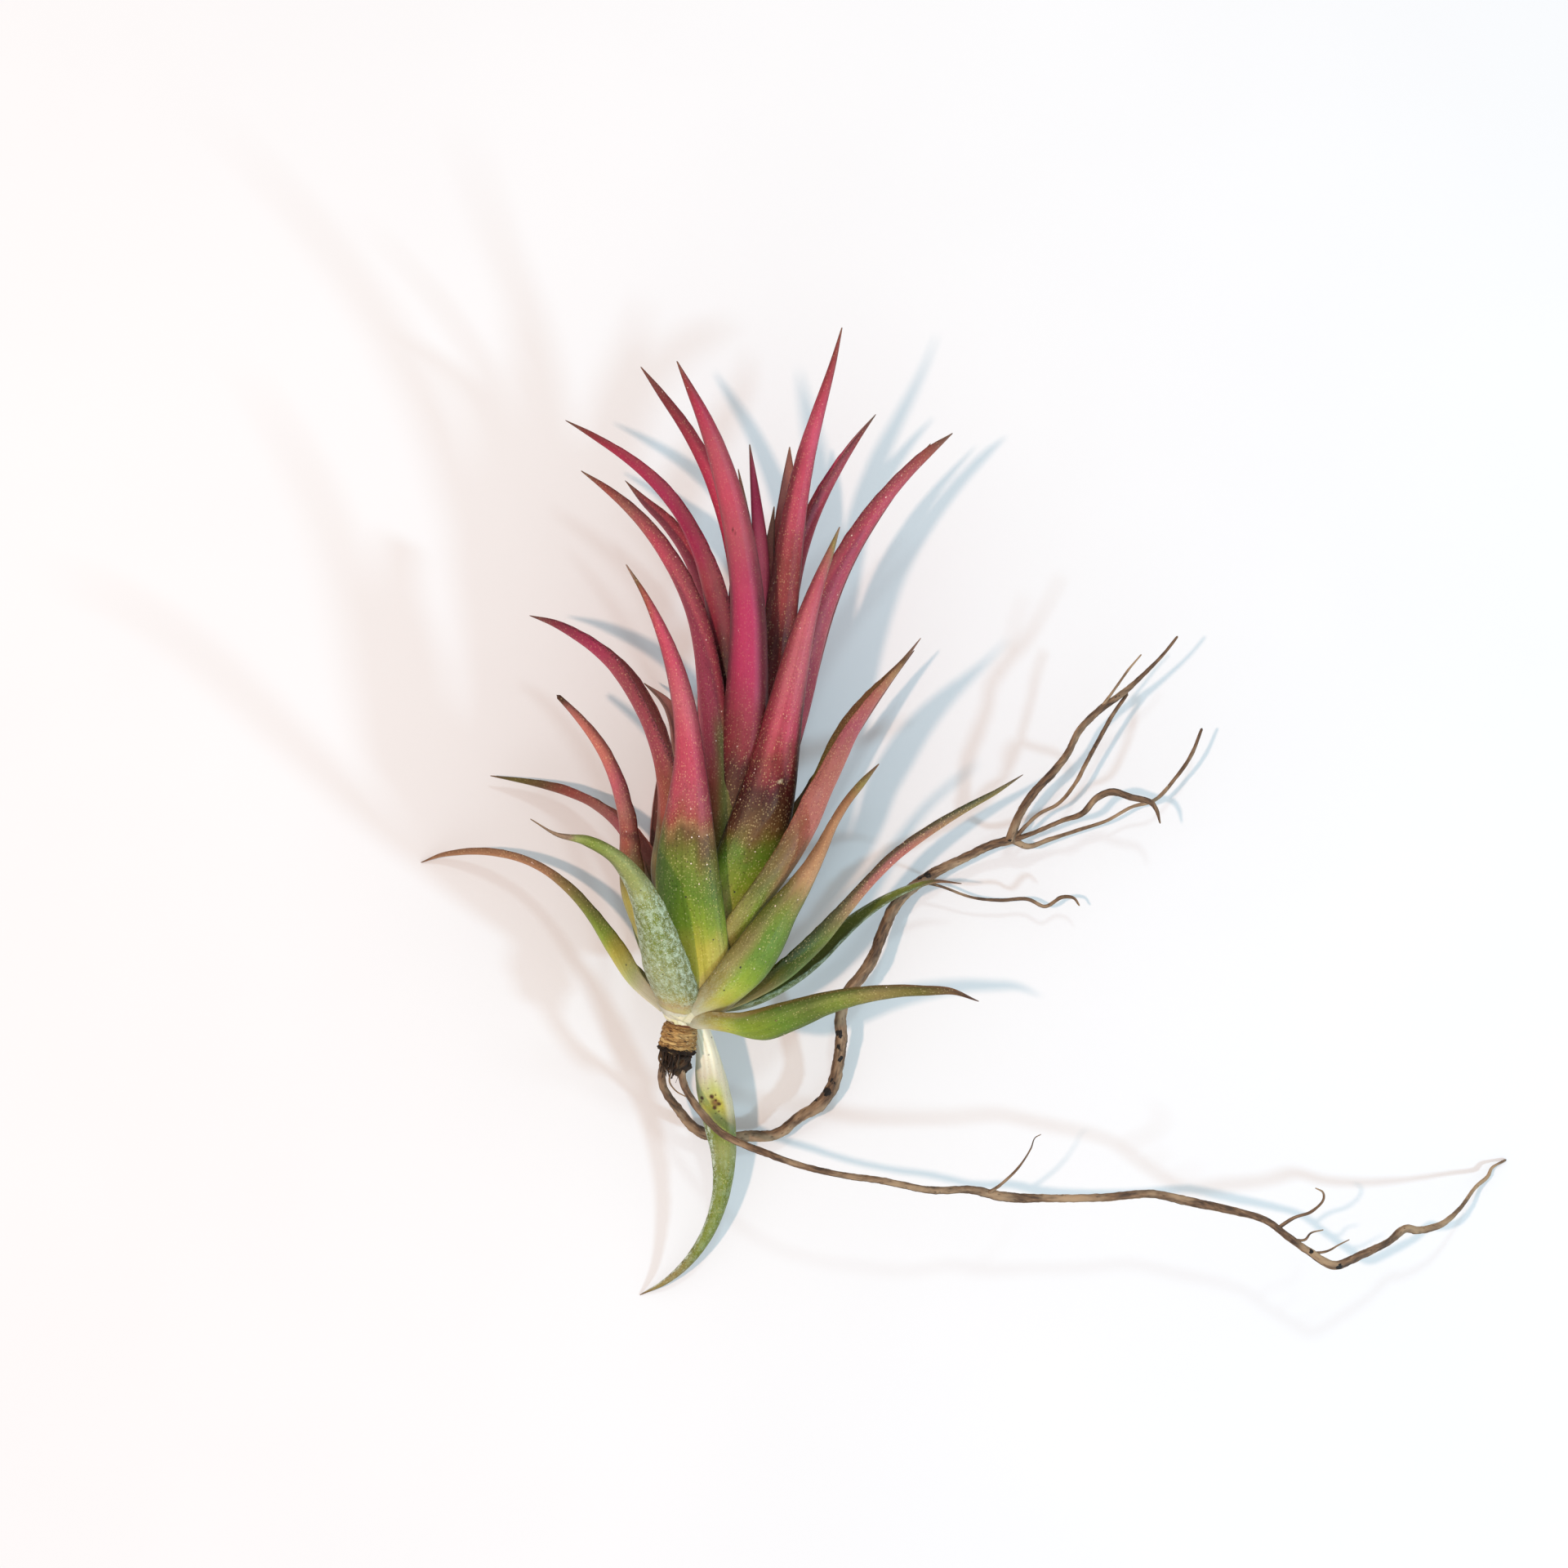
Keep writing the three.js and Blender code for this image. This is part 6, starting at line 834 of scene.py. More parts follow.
# ---------------------------------------------------------------- node helpers
class Nodes:
    def __init__(self, name):
        self.mat = bpy.data.materials.new(name)
        self.mat.use_nodes = True
        self.tree = self.mat.node_tree
        self.tree.nodes.clear()
        self.out = self.tree.nodes.new("ShaderNodeOutputMaterial")
        self.x = 0

    def add(self, kind, **props):
        n = self.tree.nodes.new("ShaderNode" + kind)
        for k, v in props.items():
            setattr(n, k, v)
        self.x += 1
        n.location = (self.x * 60, -(self.x % 7) * 160)
        return n

    def link(self, a, b):
        self.tree.links.new(a, b)

    def put(self, socket, value):
        if hasattr(value, "is_linked"):
            self.link(value, socket)
        else:
            socket.default_value = value

    def attribute(self, name, kind="Fac"):
        n = self.add("Attribute", attribute_name=name, attribute_type="GEOMETRY")
        return n.outputs[kind]

    def math(self, op, a, b=0.0, clamp=False):
        n = self.add("Math", operation=op, use_clamp=clamp)
        self.put(n.inputs[0], a)
        self.put(n.inputs[1], b)
        return n.outputs[0]

    def mul(self, a, b):
        return self.math("MULTIPLY", a, b)

    def vmul(self, a, v):
        n = self.add("VectorMath", operation="MULTIPLY")
        self.put(n.inputs[0], a)
        self.put(n.inputs[1], v)
        return n.outputs[0]

    def vadd(self, a, v):
        n = self.add("VectorMath", operation="ADD")
        self.put(n.inputs[0], a)
        self.put(n.inputs[1], v)
        return n.outputs[0]

    def step(self, value, lo, hi, to_lo=0.0, to_hi=1.0):
        n = self.add("MapRange", interpolation_type="SMOOTHSTEP")
        self.put(n.inputs["Value"], value)
        n.inputs["From Min"].default_value = lo
        n.inputs["From Max"].default_value = hi
        n.inputs["To Min"].default_value = to_lo
        n.inputs["To Max"].default_value = to_hi
        return n.outputs[0]

    def mix(self, fac, a, b, mode="MIX"):
        n = self.add("Mix", data_type="RGBA", blend_type=mode)
        n.clamp_factor = True
        self.put(n.inputs[0], fac)
        self.put(n.inputs[6], a)
        self.put(n.inputs[7], b)
        return n.outputs[2]

    def voronoi(self, vector, scale, randomness=1.0, feature="F1"):
        n = self.add("TexVoronoi", voronoi_dimensions="3D", feature=feature)
        self.put(n.inputs["Vector"], vector)
        n.inputs["Scale"].default_value = scale
        n.inputs["Randomness"].default_value = randomness
        return n

    def noise(self, vector, scale, detail=3.0, rough=0.55, distort=0.0):
        n = self.add("TexNoise", noise_dimensions="3D")
        self.put(n.inputs["Vector"], vector)
        n.inputs["Scale"].default_value = scale
        n.inputs["Detail"].default_value = detail
        n.inputs["Roughness"].default_value = rough
        n.inputs["Distortion"].default_value = distort
        return n.outputs["Fac"]

    def channel(self, colour, which):
        n = self.add("SeparateColor")
        self.put(n.inputs[0], colour)
        return n.outputs[which]

    def bump(self, height, distance, strength=1.0, normal=None):
        n = self.add("Bump")
        n.inputs["Strength"].default_value = strength
        n.inputs["Distance"].default_value = distance
        self.put(n.inputs["Height"], height)
        if normal is not None:
            self.link(normal, n.inputs["Normal"])
        return n.outputs[0]

    def principled(self, **values):
        n = self.add("BsdfPrincipled")
        for k, v in values.items():
            self.put(n.inputs[k.replace("_", " ")], v)
        self.link(n.outputs[0], self.out.inputs["Surface"])
        return n


def c4(colour):
    return (float(colour[0]), float(colour[1]), float(colour[2]), 1.0)


def leaf_skin():
    m = Nodes("leaf_skin")
    tint = m.attribute("tint", "Color")
    fleck = m.attribute("fleck")
    rim = m.attribute("rim")
    scurf = m.attribute("scurf")
    soot = m.attribute("soot")
    lines = m.attribute("lines")
    grid = m.attribute("grid", "Vector")              # millimetres across and along
    # pale scales in loose rows along the blade
    rows = m.vmul(grid, (1 / 0.23, 1 / 0.29, 1.0))
    cells = m.voronoi(rows, 1.0, 0.85)
    dot = m.step(cells.outputs["Distance"], 0.46, 0.20)
    pick = m.step(m.channel(cells.outputs["Color"], 0), 0.10, 0.95, 0.15, 1.0)
    patch = m.step(m.noise(m.vmul(grid, (0.8, 0.35, 1)), 1.0, 3), 0.30, 0.70, 0.45, 1.0)
    scale_fac = m.mul(m.mul(dot, pick), m.mul(fleck, patch))
    # a lighter, warmer version of the ground colour for the scales
    light = m.mix(1.0, tint, (1.55, 1.50, 1.35, 1.0), "MULTIPLY")
    light = m.mix(0.42, light, (0.64, 0.50, 0.25, 1.0))
    # the darker pits between them
    pits = m.voronoi(m.vadd(rows, (0.5, 0.37, 3.0)), 1.0, 0.9)
    pit = m.mul(m.mul(m.step(pits.outputs["Distance"], 0.55, 0.15), m.step(m.channel(pits.outputs["Color"], 1), 0.2, 0.9)), fleck)
    ground = m.mix(m.mul(pit, 0.60), tint, m.mix(1.0, tint, (0.52, 0.40, 0.40, 1.0), "MULTIPLY"))
    # veins: faint long lines
    vein = m.noise(m.vmul(grid, (2.6, 0.05, 1)), 1.0, 2)
    ground = m.mix(m.mul(lines, m.step(vein, 0.50, 0.72)), ground, m.mix(1.0, ground, (0.74, 0.76, 0.62, 1.0), "MULTIPLY"))
    ground = m.mix(m.mul(lines, m.step(vein, 0.46, 0.28)), ground, m.mix(1.0, ground, (1.18, 1.16, 1.1, 1.0), "MULTIPLY"))
    colour = m.mix(m.mul(scale_fac, 0.80), ground, light)
    # a few large bright scales
    sparse = m.voronoi(m.vmul(grid, (1.15, 0.95, 1)), 1.0, 1.0)
    star = m.mul(m.step(sparse.outputs["Distance"], 0.105, 0.050), m.step(m.channel(sparse.outputs["Color"], 0), 0.45, 0.95))
    colour = m.mix(m.mul(star, m.mul(fleck, 0.85)), colour, (0.86, 0.66, 0.58, 1.0))
    # margin: a dark beaded line
    bead = m.voronoi(m.vmul(grid, (1 / 0.14, 1 / 0.22, 1)), 1.0, 0.8)
    beads = m.step(bead.outputs["Distance"], 0.62, 0.25, 0.30, 0.95)
    dark = m.mix(1.0, tint, (0.16, 0.10, 0.11, 1.0), "MULTIPLY")
    colour = m.mix(m.mul(rim, beads), colour, dark)
    # silver felt
    felt_a = m.step(m.noise(m.vmul(grid, (1.7, 0.8, 1)), 1.0, 8, 0.80), 0.44, 0.64)
    felt_b = m.voronoi(m.vmul(grid, (6.6, 5.0, 1)), 1.0, 1.0)
    felt_c = m.step(felt_b.outputs["Distance"], 0.55, 0.20)
    felt = m.mul(m.math("MAXIMUM", m.mul(felt_a, 0.85), m.mul(felt_c, m.step(m.channel(felt_b.outputs["Color"], 0), 0.3, 0.9))), scurf)
    colour = m.mix(felt, colour, (0.66, 0.77, 0.63, 1.0))
    # black specks
    speck = m.voronoi(m.vmul(grid, (0.8, 0.7, 1)), 1.0, 1.0)
    black = m.mul(m.step(speck.outputs["Distance"], 0.115, 0.05), m.step(m.channel(speck.outputs["Color"], 1), 0.58, 0.66))
    colour = m.mix(m.mul(black, m.math("MINIMUM", m.mul(soot, 2.0), 1.0)), colour, (0.035, 0.025, 0.02, 1.0))
    # relief
    height = m.math("ADD", m.mul(scale_fac, 0.5), m.math("ADD", m.mul(felt, 0.45), m.mul(vein, 0.55)))
    height = m.math("ADD", height, m.mul(m.noise(grid, 1.6, 4), 0.35))
    normal = m.bump(height, 0.00006, 0.8)
    rough = m.math("ADD", 0.44, m.mul(m.math("ADD", scale_fac, felt), 0.22))
    rough = m.math("ADD", rough, m.mul(m.noise(grid, 0.5, 3), 0.12))
    m.principled(Base_Color=colour, Roughness=rough, Normal=normal, Specular_IOR_Level=0.24,
                 Sheen_Weight=0.03, Sheen_Roughness=0.40, Sheen_Tint=(1.0, 0.90, 0.88, 1.0),
                 Subsurface_Weight=0.10, Subsurface_Radius=(0.9, 0.5, 0.25), Subsurface_Scale=0.0012)
    return m.mat


def bark_skin(name, pale, mid, dark, patch, scale):
    """Root bark: lengthwise grain, pale blotches, cracks and black patches."""
    m = Nodes(name)
    grid = m.attribute("grid", "Vector")
    soot = m.attribute("soot")
    tone = m.attribute("tone")
    grain = m.noise(m.vmul(grid, (2.4 * scale, 0.5 * scale, 1)), 1.0, 5, 0.62, 0.4)
    blotch = m.noise(m.vmul(grid, (0.45, 0.16, 1)), 1.0, 4)
    colour = m.mix(m.step(grain, 0.34, 0.62), c4(dark), c4(mid))
    colour = m.mix(m.step(blotch, 0.44, 0.66), colour, c4(pale))
    colour = m.mix(m.mul(m.step(grain, 0.56, 0.70), 0.55), colour, c4(pale))
    colour = m.mix(m.mul(tone, 0.8), colour, m.mix(1.0, colour, (1.25, 1.22, 1.15, 1.0), "MULTIPLY"))
    crack = m.voronoi(m.vmul(grid, (2.2 * scale, 0.9 * scale, 1)), 1.0, 1.0)
    colour = m.mix(m.mul(m.step(crack.outputs["Distance"], 0.22, 0.08), 0.5), colour, c4(dark))
    spots = m.step(m.math("ADD", m.noise(m.vmul(grid, (1.5, 0.75, 1)), 1.0, 5, 0.68), m.mul(soot, 0.27)), 0.655, 0.70)
    colour = m.mix(spots, colour, c4(patch))
    height = m.math("ADD", m.mul(grain, 0.7), m.mul(m.step(crack.outputs["Distance"], 0.05, 0.35), 0.5))
    m.principled(Base_Color=colour, Roughness=m.step(grain, 0.3, 0.7, 0.62, 0.85), Normal=m.bump(height, 0.00018, 0.8),
                 Specular_IOR_Level=0.3)
    return m.mat


def stump_skin():
    m = Nodes("stump_skin")
    grid = m.attribute("grid", "Vector")
    tone = m.attribute("tone")
    soot = m.attribute("soot")
    fibre = m.noise(m.vmul(grid, (0.9, 4.6, 1)), 1.0, 6, 0.66, 0.6)
    ring = m.noise(m.vmul(grid, (0.22, 1.7, 1)), 1.0, 4, 0.6)
    patch = m.noise(m.vmul(grid, (0.7, 0.6, 1)), 1.0, 4, 0.6)
    colour = m.mix(m.step(fibre, 0.38, 0.60), c4(rgb("6A4526")), c4(rgb("B38A52")))
    colour = m.mix(m.step(ring, 0.48, 0.64), colour, c4(rgb("CDAA70")))
    colour = m.mix(m.mul(m.step(patch, 0.52, 0.66), 0.6), colour, c4(rgb("7B5431")))
    colour = m.mix(m.mul(m.step(fibre, 0.46, 0.38), 0.85), colour, c4(rgb("301B0F")))
    crumb = m.voronoi(m.vmul(grid, (1.5, 2.6, 1)), 1.0, 1.0)
    colour = m.mix(m.mul(m.step(crumb.outputs["Distance"], 0.26, 0.10), 0.5), colour, c4(rgb("E0C491")))
    dark = m.step(m.math("ADD", m.mul(m.noise(m.vmul(grid, (0.9, 1.6, 1)), 1.0, 5, 0.7), 0.9), tone), 0.92, 1.10)
    colour = m.mix(dark, colour, c4(rgb("1D110A")))
    colour = m.mix(m.mul(soot, 0.85), colour, c4(rgb("2A190F")))
    height = m.math("ADD", m.mul(fibre, 0.8), m.mul(ring, 0.6))
    m.principled(Base_Color=colour, Roughness=m.step(fibre, 0.3, 0.7, 0.72, 0.9), Normal=m.bump(height, 0.0003, 0.9),
                 Specular_IOR_Level=0.25)
    return m.mat


def fibre_skin():
    m = Nodes("fibre_skin")
    grid = m.attribute("grid", "Vector")
    tone = m.attribute("tone")
    n = m.noise(m.vmul(grid, (3.0, 0.8, 1)), 1.0, 4)
    colour = m.mix(m.step(n, 0.35, 0.7), c4(rgb("120C08")), c4(rgb("3A271A")))
    colour = m.mix(m.mul(tone, m.step(n, 0.3, 0.6)), colour, c4(rgb("7A5C3C")))
    m.principled(Base_Color=colour, Roughness=m.step(n, 0.3, 0.7, 0.7, 0.9), Normal=m.bump(n, 0.0001, 0.8), Specular_IOR_Level=0.25)
    return m.mat


def neck_skin():
    m = Nodes("neck_skin")
    grid = m.attribute("grid", "Vector")
    tone = m.attribute("tone")
    n = m.noise(m.vmul(grid, (0.9, 0.28, 1)), 1.0, 5, 0.6)
    line = m.noise(m.vmul(grid, (2.8, 0.25, 1)), 1.0, 3)
    colour = m.mix(m.step(n, 0.35, 0.65), c4(rgb("E9E4CC")), c4(rgb("D6CF9E")))
    colour = m.mix(m.mul(m.step(line, 0.5, 0.7), 0.5), colour, c4(rgb("B9AE7E")))
    brown = m.step(m.math("ADD", m.noise(m.vmul(grid, (0.8, 1.5, 1)), 1.0, 5, 0.65), m.mul(tone, 0.4)), 0.66, 0.76)
    colour = m.mix(brown, colour, c4(rgb("6B3F24")))
    height = m.math("ADD", m.mul(line, 0.8), m.mul(n, 0.5))
    m.principled(Base_Color=colour, Roughness=m.step(n, 0.3, 0.7, 0.45, 0.65), Normal=m.bump(height, 0.00015, 0.8),
                 Specular_IOR_Level=0.35, Subsurface_Weight=0.15, Subsurface_Radius=(1.0, 0.8, 0.5), Subsurface_Scale=0.0015)
    return m.mat


# ---------------------------------------------------------------- tubes
def tube(rows, sides, step, seed, rough=0.10, taper=True):
    """One strand as vertices, faces, its grid field and its place along the strand."""
    rows = np.asarray(rows, float)
    length = np.linalg.norm(np.diff(rows[:, :3], axis=0), axis=1).sum()
    n = max(6, int(length / step))
    r, s = spline(rows, n)
    p = r[:, :3]
    rad = np.maximum(r[:, 3], 0.03)
    t = np.gradient(p, s, axis=0)
    t /= np.linalg.norm(t, axis=1)[:, None]
    # a frame carried along the strand without turning
    b = np.cross(t[0], [0.3, 0.2, 0.93])
    b /= np.linalg.norm(b)
    bs = []
    for i in range(n):
        b = b - t[i] * (b @ t[i])
        b /= np.linalg.norm(b)
        bs.append(b)
    bs = np.array(bs)
    ns = np.cross(t, bs)
    a = np.linspace(0, 2 * np.pi, sides, endpoint=False)
    ring = np.cos(a)[None, :, None] * bs[:, None] + np.sin(a)[None, :, None] * ns[:, None]
    base = p[:, None] + ring * rad[:, None, None]
    lumps = wave(base.reshape(-1, 3), 0.9, seed).reshape(n, sides) + 0.6 * wave(base.reshape(-1, 3), 0.35, seed + 7).reshape(n, sides)
    knots = np.clip(wave(np.stack([s * 0.35, 0 * s, 0 * s], 1), 1.0, seed + 2), 0, 1) * 0.35
    v = p[:, None] + ring * (rad[:, None] * (1 + rough * 1.6 * lumps + rough * 2 * knots[:, None]))[:, :, None]
    verts = v.reshape(-1, 3)
    faces = []
    for i in range(n - 1):
        for j in range(sides):
            j2 = (j + 1) % sides
            faces.append((i * sides + j, i * sides + j2, (i + 1) * sides + j2, (i + 1) * sides + j))
    c0, c1 = len(verts), len(verts) + 1
    verts = np.vstack([verts, p[0] - t[0] * rad[0] * 0.5, p[-1] + t[-1] * rad[-1] * 1.2])
    last = (n - 1) * sides
    for j in range(sides):
        j2 = (j + 1) % sides
        faces.append((j2, j, c0))
        faces.append((last + j, last + j2, c1))
    grid = np.stack([np.tile(a, n) * np.repeat(rad, sides), np.repeat(s, sides) + 50 * (seed % 13), np.full(n * sides, seed * 3.1)], 1)
    grid = np.vstack([grid, grid[:1], grid[-1:]])
    along = np.concatenate([np.repeat(s / s[-1], sides), [0, 1]])
    return verts, faces, grid, along


def joined(parts):
    verts, faces, grid, along = [], [], [], []
    at = 0
    for v, f, g, l in parts:
        verts.append(v)
        faces += [tuple(i + at for i in q) for q in f]
        grid.append(g)
        along.append(l)
        at += len(v)
    return np.vstack(verts), faces, np.vstack(grid), np.concatenate(along)


# places on the roots that are black: centre and radius
SOOT = {
    "root_1": [((6.60, -30.13, 6.20), 0.8), ((6.80, -31.91, 6.00), 0.8), ((6.91, -33.25, 5.40), 0.6), ((5.83, -36.08, 4.60), 0.8), ((5.15, -37.32, 4.00), 0.8), ((4.07, -38.49, 3.20), 0.7), ((-0.30, -42.13, 1.60), 0.8), ((17.30, -10.87, 4.60), 0.9), ((16.41, -11.47, 4.60), 0.7), ((27.25, -6.72, 5.00), 0.5), ((29.08, -7.42, 4.40), 0.5), ((-10.72, -42.28, 3.00), 0.6), ((-13.88, -36.17, 9.00), 0.6)],
    "root_2": [((65.64, -57.14, 13.90), 0.6), ((25.01, -45.89, 15.20), 0.5), ((62.21, -55.17, 14.20), 0.5)],
}

LEAF_SKIN = leaf_skin()
ROOT_SKIN = bark_skin("root_skin", rgb("947A60"), rgb("694F3B"), rgb("3A2A1F"), rgb("17110D"), 1.0)
STUMP_SKIN = stump_skin()
FIBRE_SKIN = fibre_skin()
NECK_SKIN = neck_skin()

# ---------------------------------------------------------------- leaves
for i, (node, (key, azimuth, rows)) in enumerate(LEAVES.items()):
    leaf(node, key, azimuth, rows, i + 1)


# ---------------------------------------------------------------- turned pieces
def turned(profile, foot, direction, segments, seed, lump, lump_scale, fold=0.0):
    """A lathe body with uneven skin: vertices, faces and fields."""
    d = direction / np.linalg.norm(direction)
    b = np.cross(d, [0, 0, 1.0])
    b /= np.linalg.norm(b)
    c = np.cross(d, b)
    a = np.linspace(0, 2 * np.pi, segments, endpoint=False)
    prof = np.asarray(profile, float)
    base = foot + prof[:, 1, None, None] * d + prof[:, 0, None, None] * (np.cos(a)[None, :, None] * b + np.sin(a)[None, :, None] * c)
    m = len(prof)
    off = lump * wave(base.reshape(-1, 3), lump_scale, seed).reshape(m, segments)
    off += lump * 0.5 * wave(base.reshape(-1, 3), lump_scale * 0.3, seed + 4).reshape(m, segments)
    off += fold * np.cos(a * 11 + 2.0 * np.sin(a * 2 + seed))[None] * smooth(prof[:, 1], prof[0, 1], prof[0, 1] + 0.6)[:, None]
    r = np.maximum(prof[:, 0, None] + off * smooth(prof[:, 0], 0.0, 1.0)[:, None], 0.0)
    v = foot + prof[:, 1, None, None] * d + r[:, :, None] * (np.cos(a)[None, :, None] * b + np.sin(a)[None, :, None] * c)
    verts = v.reshape(-1, 3)
    faces = []
    for i in range(m - 1):
        for j in range(segments):
            j2 = (j + 1) % segments
            faces.append((i * segments + j, i * segments + j2, (i + 1) * segments + j2, (i + 1) * segments + j))
    c0, c1 = len(verts), len(verts) + 1
    verts = np.vstack([verts, v[0].mean(0), v[-1].mean(0)])
    last = (m - 1) * segments
    for j in range(segments):
        j2 = (j + 1) % segments
        faces.append((j2, j, c0))
        faces.append((last + j, last + j2, c1))
    s = np.r_[0, np.cumsum(np.linalg.norm(np.diff(prof, axis=0), axis=1))]
    grid = np.stack([np.tile(a, m) * 2.2, np.repeat(s, segments), np.repeat(s * 0, segments)], 1)
    grid = np.vstack([grid, grid[:1], grid[-1:]])
    return verts, faces, grid, np.concatenate([np.repeat(prof[:, 1], segments), [prof[0, 1], prof[-1, 1]]])


def fine(profile, per):
    """A profile with points added between its corners."""
    p = np.asarray(profile, float)
    out = [p[0]]
    for a, b in zip(p[:-1], p[1:]):
        k = max(1, int(np.linalg.norm(b - a) / per))
        out += [a + (b - a) * (i + 1) / k for i in range(k)]
    return np.array(out)


# the stem, with the pale neck below the leaves
neck = fine([[1.2, -1.10], [1.9, -1.12], [2.35, -0.85], [2.75, -0.4], [3.05, 0.1], [3.0, 0.6], [2.8, 1.0], [2.4, 1.8], [2.3, 2.4],
             [1.84, 5.5], [1.15, 9.8], [0.46, 13.0], [0.1, 13.3]], 0.14)
v, f, g, h = turned(neck, FOOT, AXIS, 96, 3, 0.10, 1.6, fold=0.035)
new_piece("stem_core", v, f, "stem", NECK_SKIN,
          {"grid": g, "tone": 1 - smooth(h, -1.1, -0.35) + 0.4 * np.clip(wave(v, 1.1, 8), 0, 1)})

# the ringed stump: each ring is the scar of a dead leaf, with a ragged lip
rng = np.random.default_rng(11)
direction = STUMP_END - STUMP_TOP
direction = direction / np.linalg.norm(direction)
rows = [[0.2, -0.26], [1.75, -0.24]]
LENGTH = 3.1
BANDS = [0.0, 0.26, 0.92, 1.50, 2.15, 2.62, LENGTH]
lips = []
for i, (h0, h1) in enumerate(zip(BANDS[:-1], BANDS[1:])):
    waist = 2.0 + 0.045 * i + rng.normal(0, 0.03)
    step_out = 0.045 + 0.028 * i
    rows += [[waist - 0.12, h0 + 0.02], [waist - 0.02, h0 + 0.12], [waist + 0.03, (h0 + h1) / 2], [waist + step_out, h1 - 0.10], [waist + step_out - 0.10, h1 - 0.02]]
    lips.append((waist + step_out, h1 - 0.10))
rows += [[1.95, LENGTH + 0.02], [1.5, LENGTH + 0.05], [0.9, LENGTH - 0.3], [0.3, LENGTH - 0.6]]
prof = fine(rows, 0.05)
v, f, g, h = turned(prof, STUMP_TOP, direction, 180, 5, 0.075, 0.7)
# the lips break up: their edge runs up and down around the stump
side_a = np.cross(direction, [0, 0, 1.0])
side_a /= np.linalg.norm(side_a)
side_b = np.cross(direction, side_a)
turn = np.arctan2((v - STUMP_TOP) @ side_b, (v - STUMP_TOP) @ side_a)
ragged = wave(np.stack([np.cos(turn) * 3, np.sin(turn) * 3, h * 1.3], 1), 0.55, 9)
v = v + direction[None] * (ragged * (0.05 + 0.15 * smooth(h, 1.7, 2.3)) * smooth(h, 0.1, 0.4) * (1 - smooth(h, LENGTH - 0.1, LENGTH + 0.1)))[:, None]
edge = np.zeros(len(v))
for _, hl in lips:
    edge = np.maximum(edge, (1 - smooth(np.abs(h - hl - 0.07), 0.02, 0.08)) * (0.5 + 0.5 * smooth(h, 1.4, 2.1)))
new_piece("stump_body", v, f, "stump", STUMP_SKIN,
          {"grid": g, "soot": edge * np.clip(0.5 + 1.2 * wave(v, 0.7, 6), 0, 1),
           "tone": 0.66 * smooth(h, 1.9, 2.75) + 0.58 * (1 - smooth(h, -0.25, 0.12))})

# ---------------------------------------------------------------- dead strands
rng = np.random.default_rng(23)
parts = []
knot = [[-12.6, -31.35, 12.1, 1.62], [-12.52, -32.4, 12.0, 1.55], [-12.4, -33.6, 11.8, 1.2], [-12.3, -34.5, 11.6, 0.62], [-12.2, -34.9, 11.5, 0.2]]
parts.append(tube(knot, 40, 0.09, 3, rough=0.30))
for i in range(110):
    ang = rng.uniform(0, 2 * np.pi)
    r0 = 1.75 * math.sqrt(rng.uniform(0.25, 1))
    start = STUMP_END + side_a * math.cos(ang) * r0 + side_b * math.sin(ang) * r0 - direction * 0.45
    reach = rng.uniform(1.2, 3.2)
    lean = rng.normal(0, 0.34, 3)
    rad = rng.uniform(0.06, 0.19)
    rows = []
    for k in range(7):
        q = k / 6
        radial = side_a * math.cos(ang) + side_b * math.sin(ang)
        c = start + direction * (0.5 + reach) * q + radial * 0.30 * math.sin(math.pi * q) - radial * r0 * 0.42 * q ** 2
        c = c + lean * q ** 1.6 + rng.normal(0, 0.06, 3)
        rows.append([*c, rad * (1 - 0.7 * q ** 1.5)])
    parts.append(tube(rows, 7, 0.10, i + 1, rough=0.18))
v, f, g, h = joined(parts)
new_piece("stump_fibres", v, f, "stump_strands", FIBRE_SKIN,
          {"grid": g, "tone": np.clip(wave(v, 1.3, 4), 0, 1) * 0.8})

# ---------------------------------------------------------------- roots
for i, (name, strands) in enumerate(ROOTS.items()):
    parts = []
    for j, rows in enumerate(strands):
        thick = max(r[3] for r in rows)
        sides = 18 if thick > 0.5 else 12 if thick > 0.3 else 9
        parts.append(tube(rows, sides, 0.22 if thick > 0.3 else 0.18, 31 * i + j + 1, rough=0.085))
    v, f, g, h = joined(parts)
    tone = 0.5 + 0.5 * wave(v, 9.0, i + 2)
    soot = np.zeros(len(v))
    for centre, radius in SOOT.get(name, []):
        soot = np.maximum(soot, 1 - smooth(np.linalg.norm(v - np.array(centre), axis=1), radius * 0.35, radius))
    new_piece(name + "_bark", v, f, name, ROOT_SKIN, {"grid": g, "tone": tone, "soot": soot})

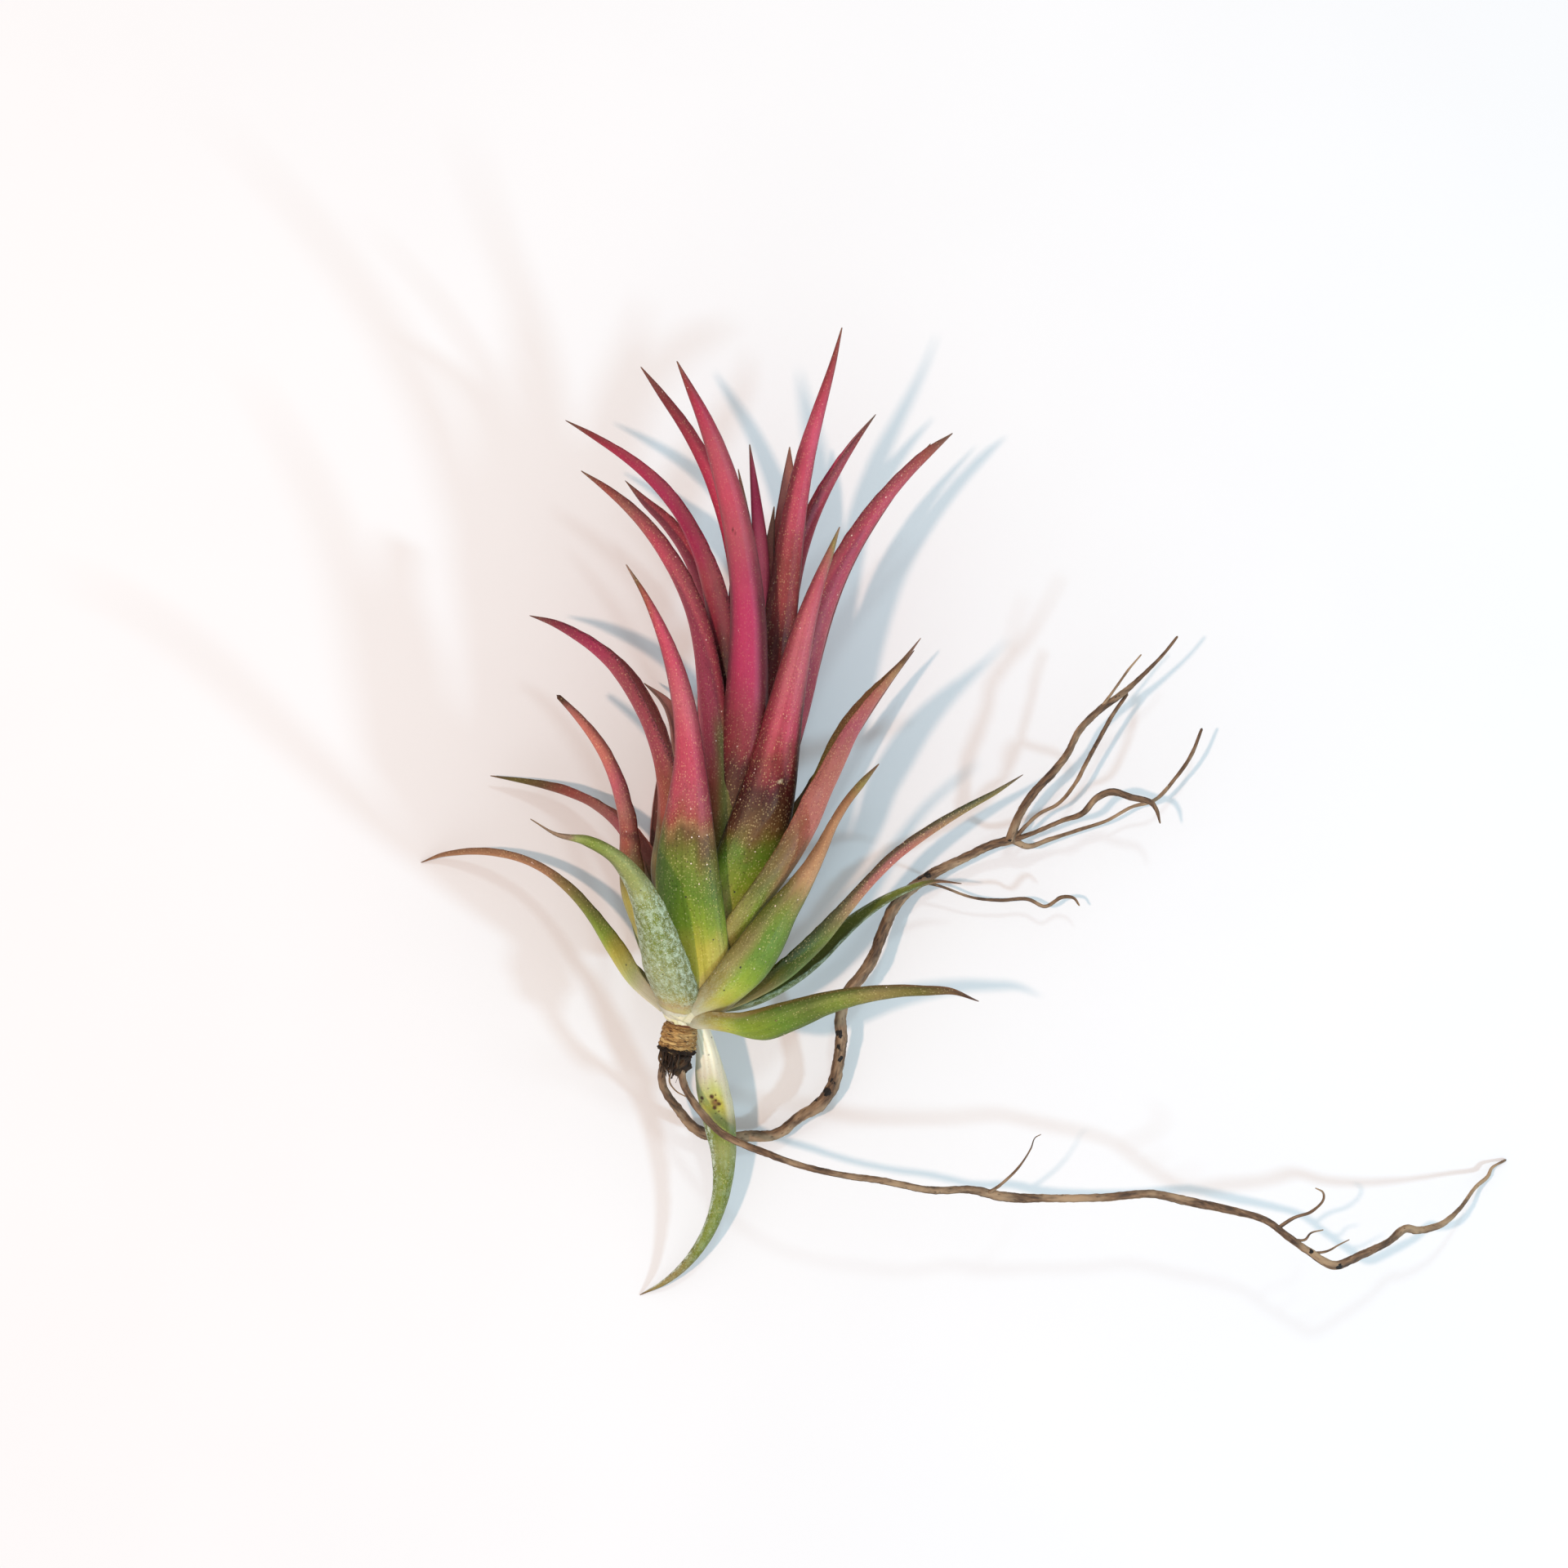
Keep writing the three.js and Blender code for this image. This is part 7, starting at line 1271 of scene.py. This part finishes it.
# ---------------------------------------------------------------- the stage
def floor_skin():
    m = Nodes("floor_paper")
    co = m.add("TexCoord").outputs["Object"]
    # plain pale paper with a faint mottle
    colour = m.mix(m.step(m.noise(co, 14.0, 3), 0.3, 0.7), (0.690, 0.662, 0.660, 1), (0.704, 0.676, 0.674, 1))
    m.principled(Base_Color=colour, Roughness=0.75, Specular_IOR_Level=0.15, Normal=m.bump(m.noise(co, 900.0, 3), 0.00002, 0.3))
    return m.mat


mesh = bpy.data.meshes.new("floor")
w = 6.0
z = -0.00004
mesh.from_pydata([(-w, -w, z), (w, -w, z), (w, w, z), (-w, w, z)], [], [(0, 1, 2, 3)])
mesh.materials.append(floor_skin())
floor = bpy.data.objects.new("floor", mesh)
bpy.context.scene.collection.objects.link(floor)

world = bpy.data.worlds.new("studio")
bpy.context.scene.world = world
world.use_nodes = True
back = world.node_tree.nodes["Background"]
back.inputs["Color"].default_value = (0.89, 0.97, 1.0, 1.0)
back.inputs["Strength"].default_value = 0.84


def lamp(name, kind, energy, colour, location, target=(0, 0, 0), **props):
    data = bpy.data.lights.new(name, kind)
    data.energy = energy
    data.color = colour
    for k, v in props.items():
        setattr(data, k, v)
    obj = bpy.data.objects.new(name, data)
    obj.location = location
    obj.rotation_euler = (Vector(target) - Vector(location)).to_track_quat("-Z", "Y").to_euler()
    bpy.context.scene.collection.objects.link(obj)
    return obj


lamp("key", "AREA", 1.65, (1.0, 0.70, 0.55), (-0.209, 0.0006, 0.540), shape="DISK", size=0.026)
lamp("cool", "AREA", 1.9, (0.52, 0.82, 1.0), (0.45, -0.24, 0.36), shape="DISK", size=0.050)
lamp("back", "AREA", 0.7, (0.65, 0.90, 1.0), (0.06, 0.36, 0.56), shape="DISK", size=0.060)

cam_data = bpy.data.cameras.new("camera")
cam_data.lens = 75
cam_data.sensor_width = 36
cam_data.clip_start = 0.01
cam_data.clip_end = 20
camera = bpy.data.objects.new("camera", cam_data)
camera.location = (SHIFT[0] * MM, SHIFT[1] * MM, CAMERA_HEIGHT)
camera.rotation_euler = (0, 0, 0)
bpy.context.scene.collection.objects.link(camera)
bpy.context.scene.camera = camera
bpy.context.scene.view_settings.view_transform = "Standard"
bpy.context.scene.view_settings.look = "None"
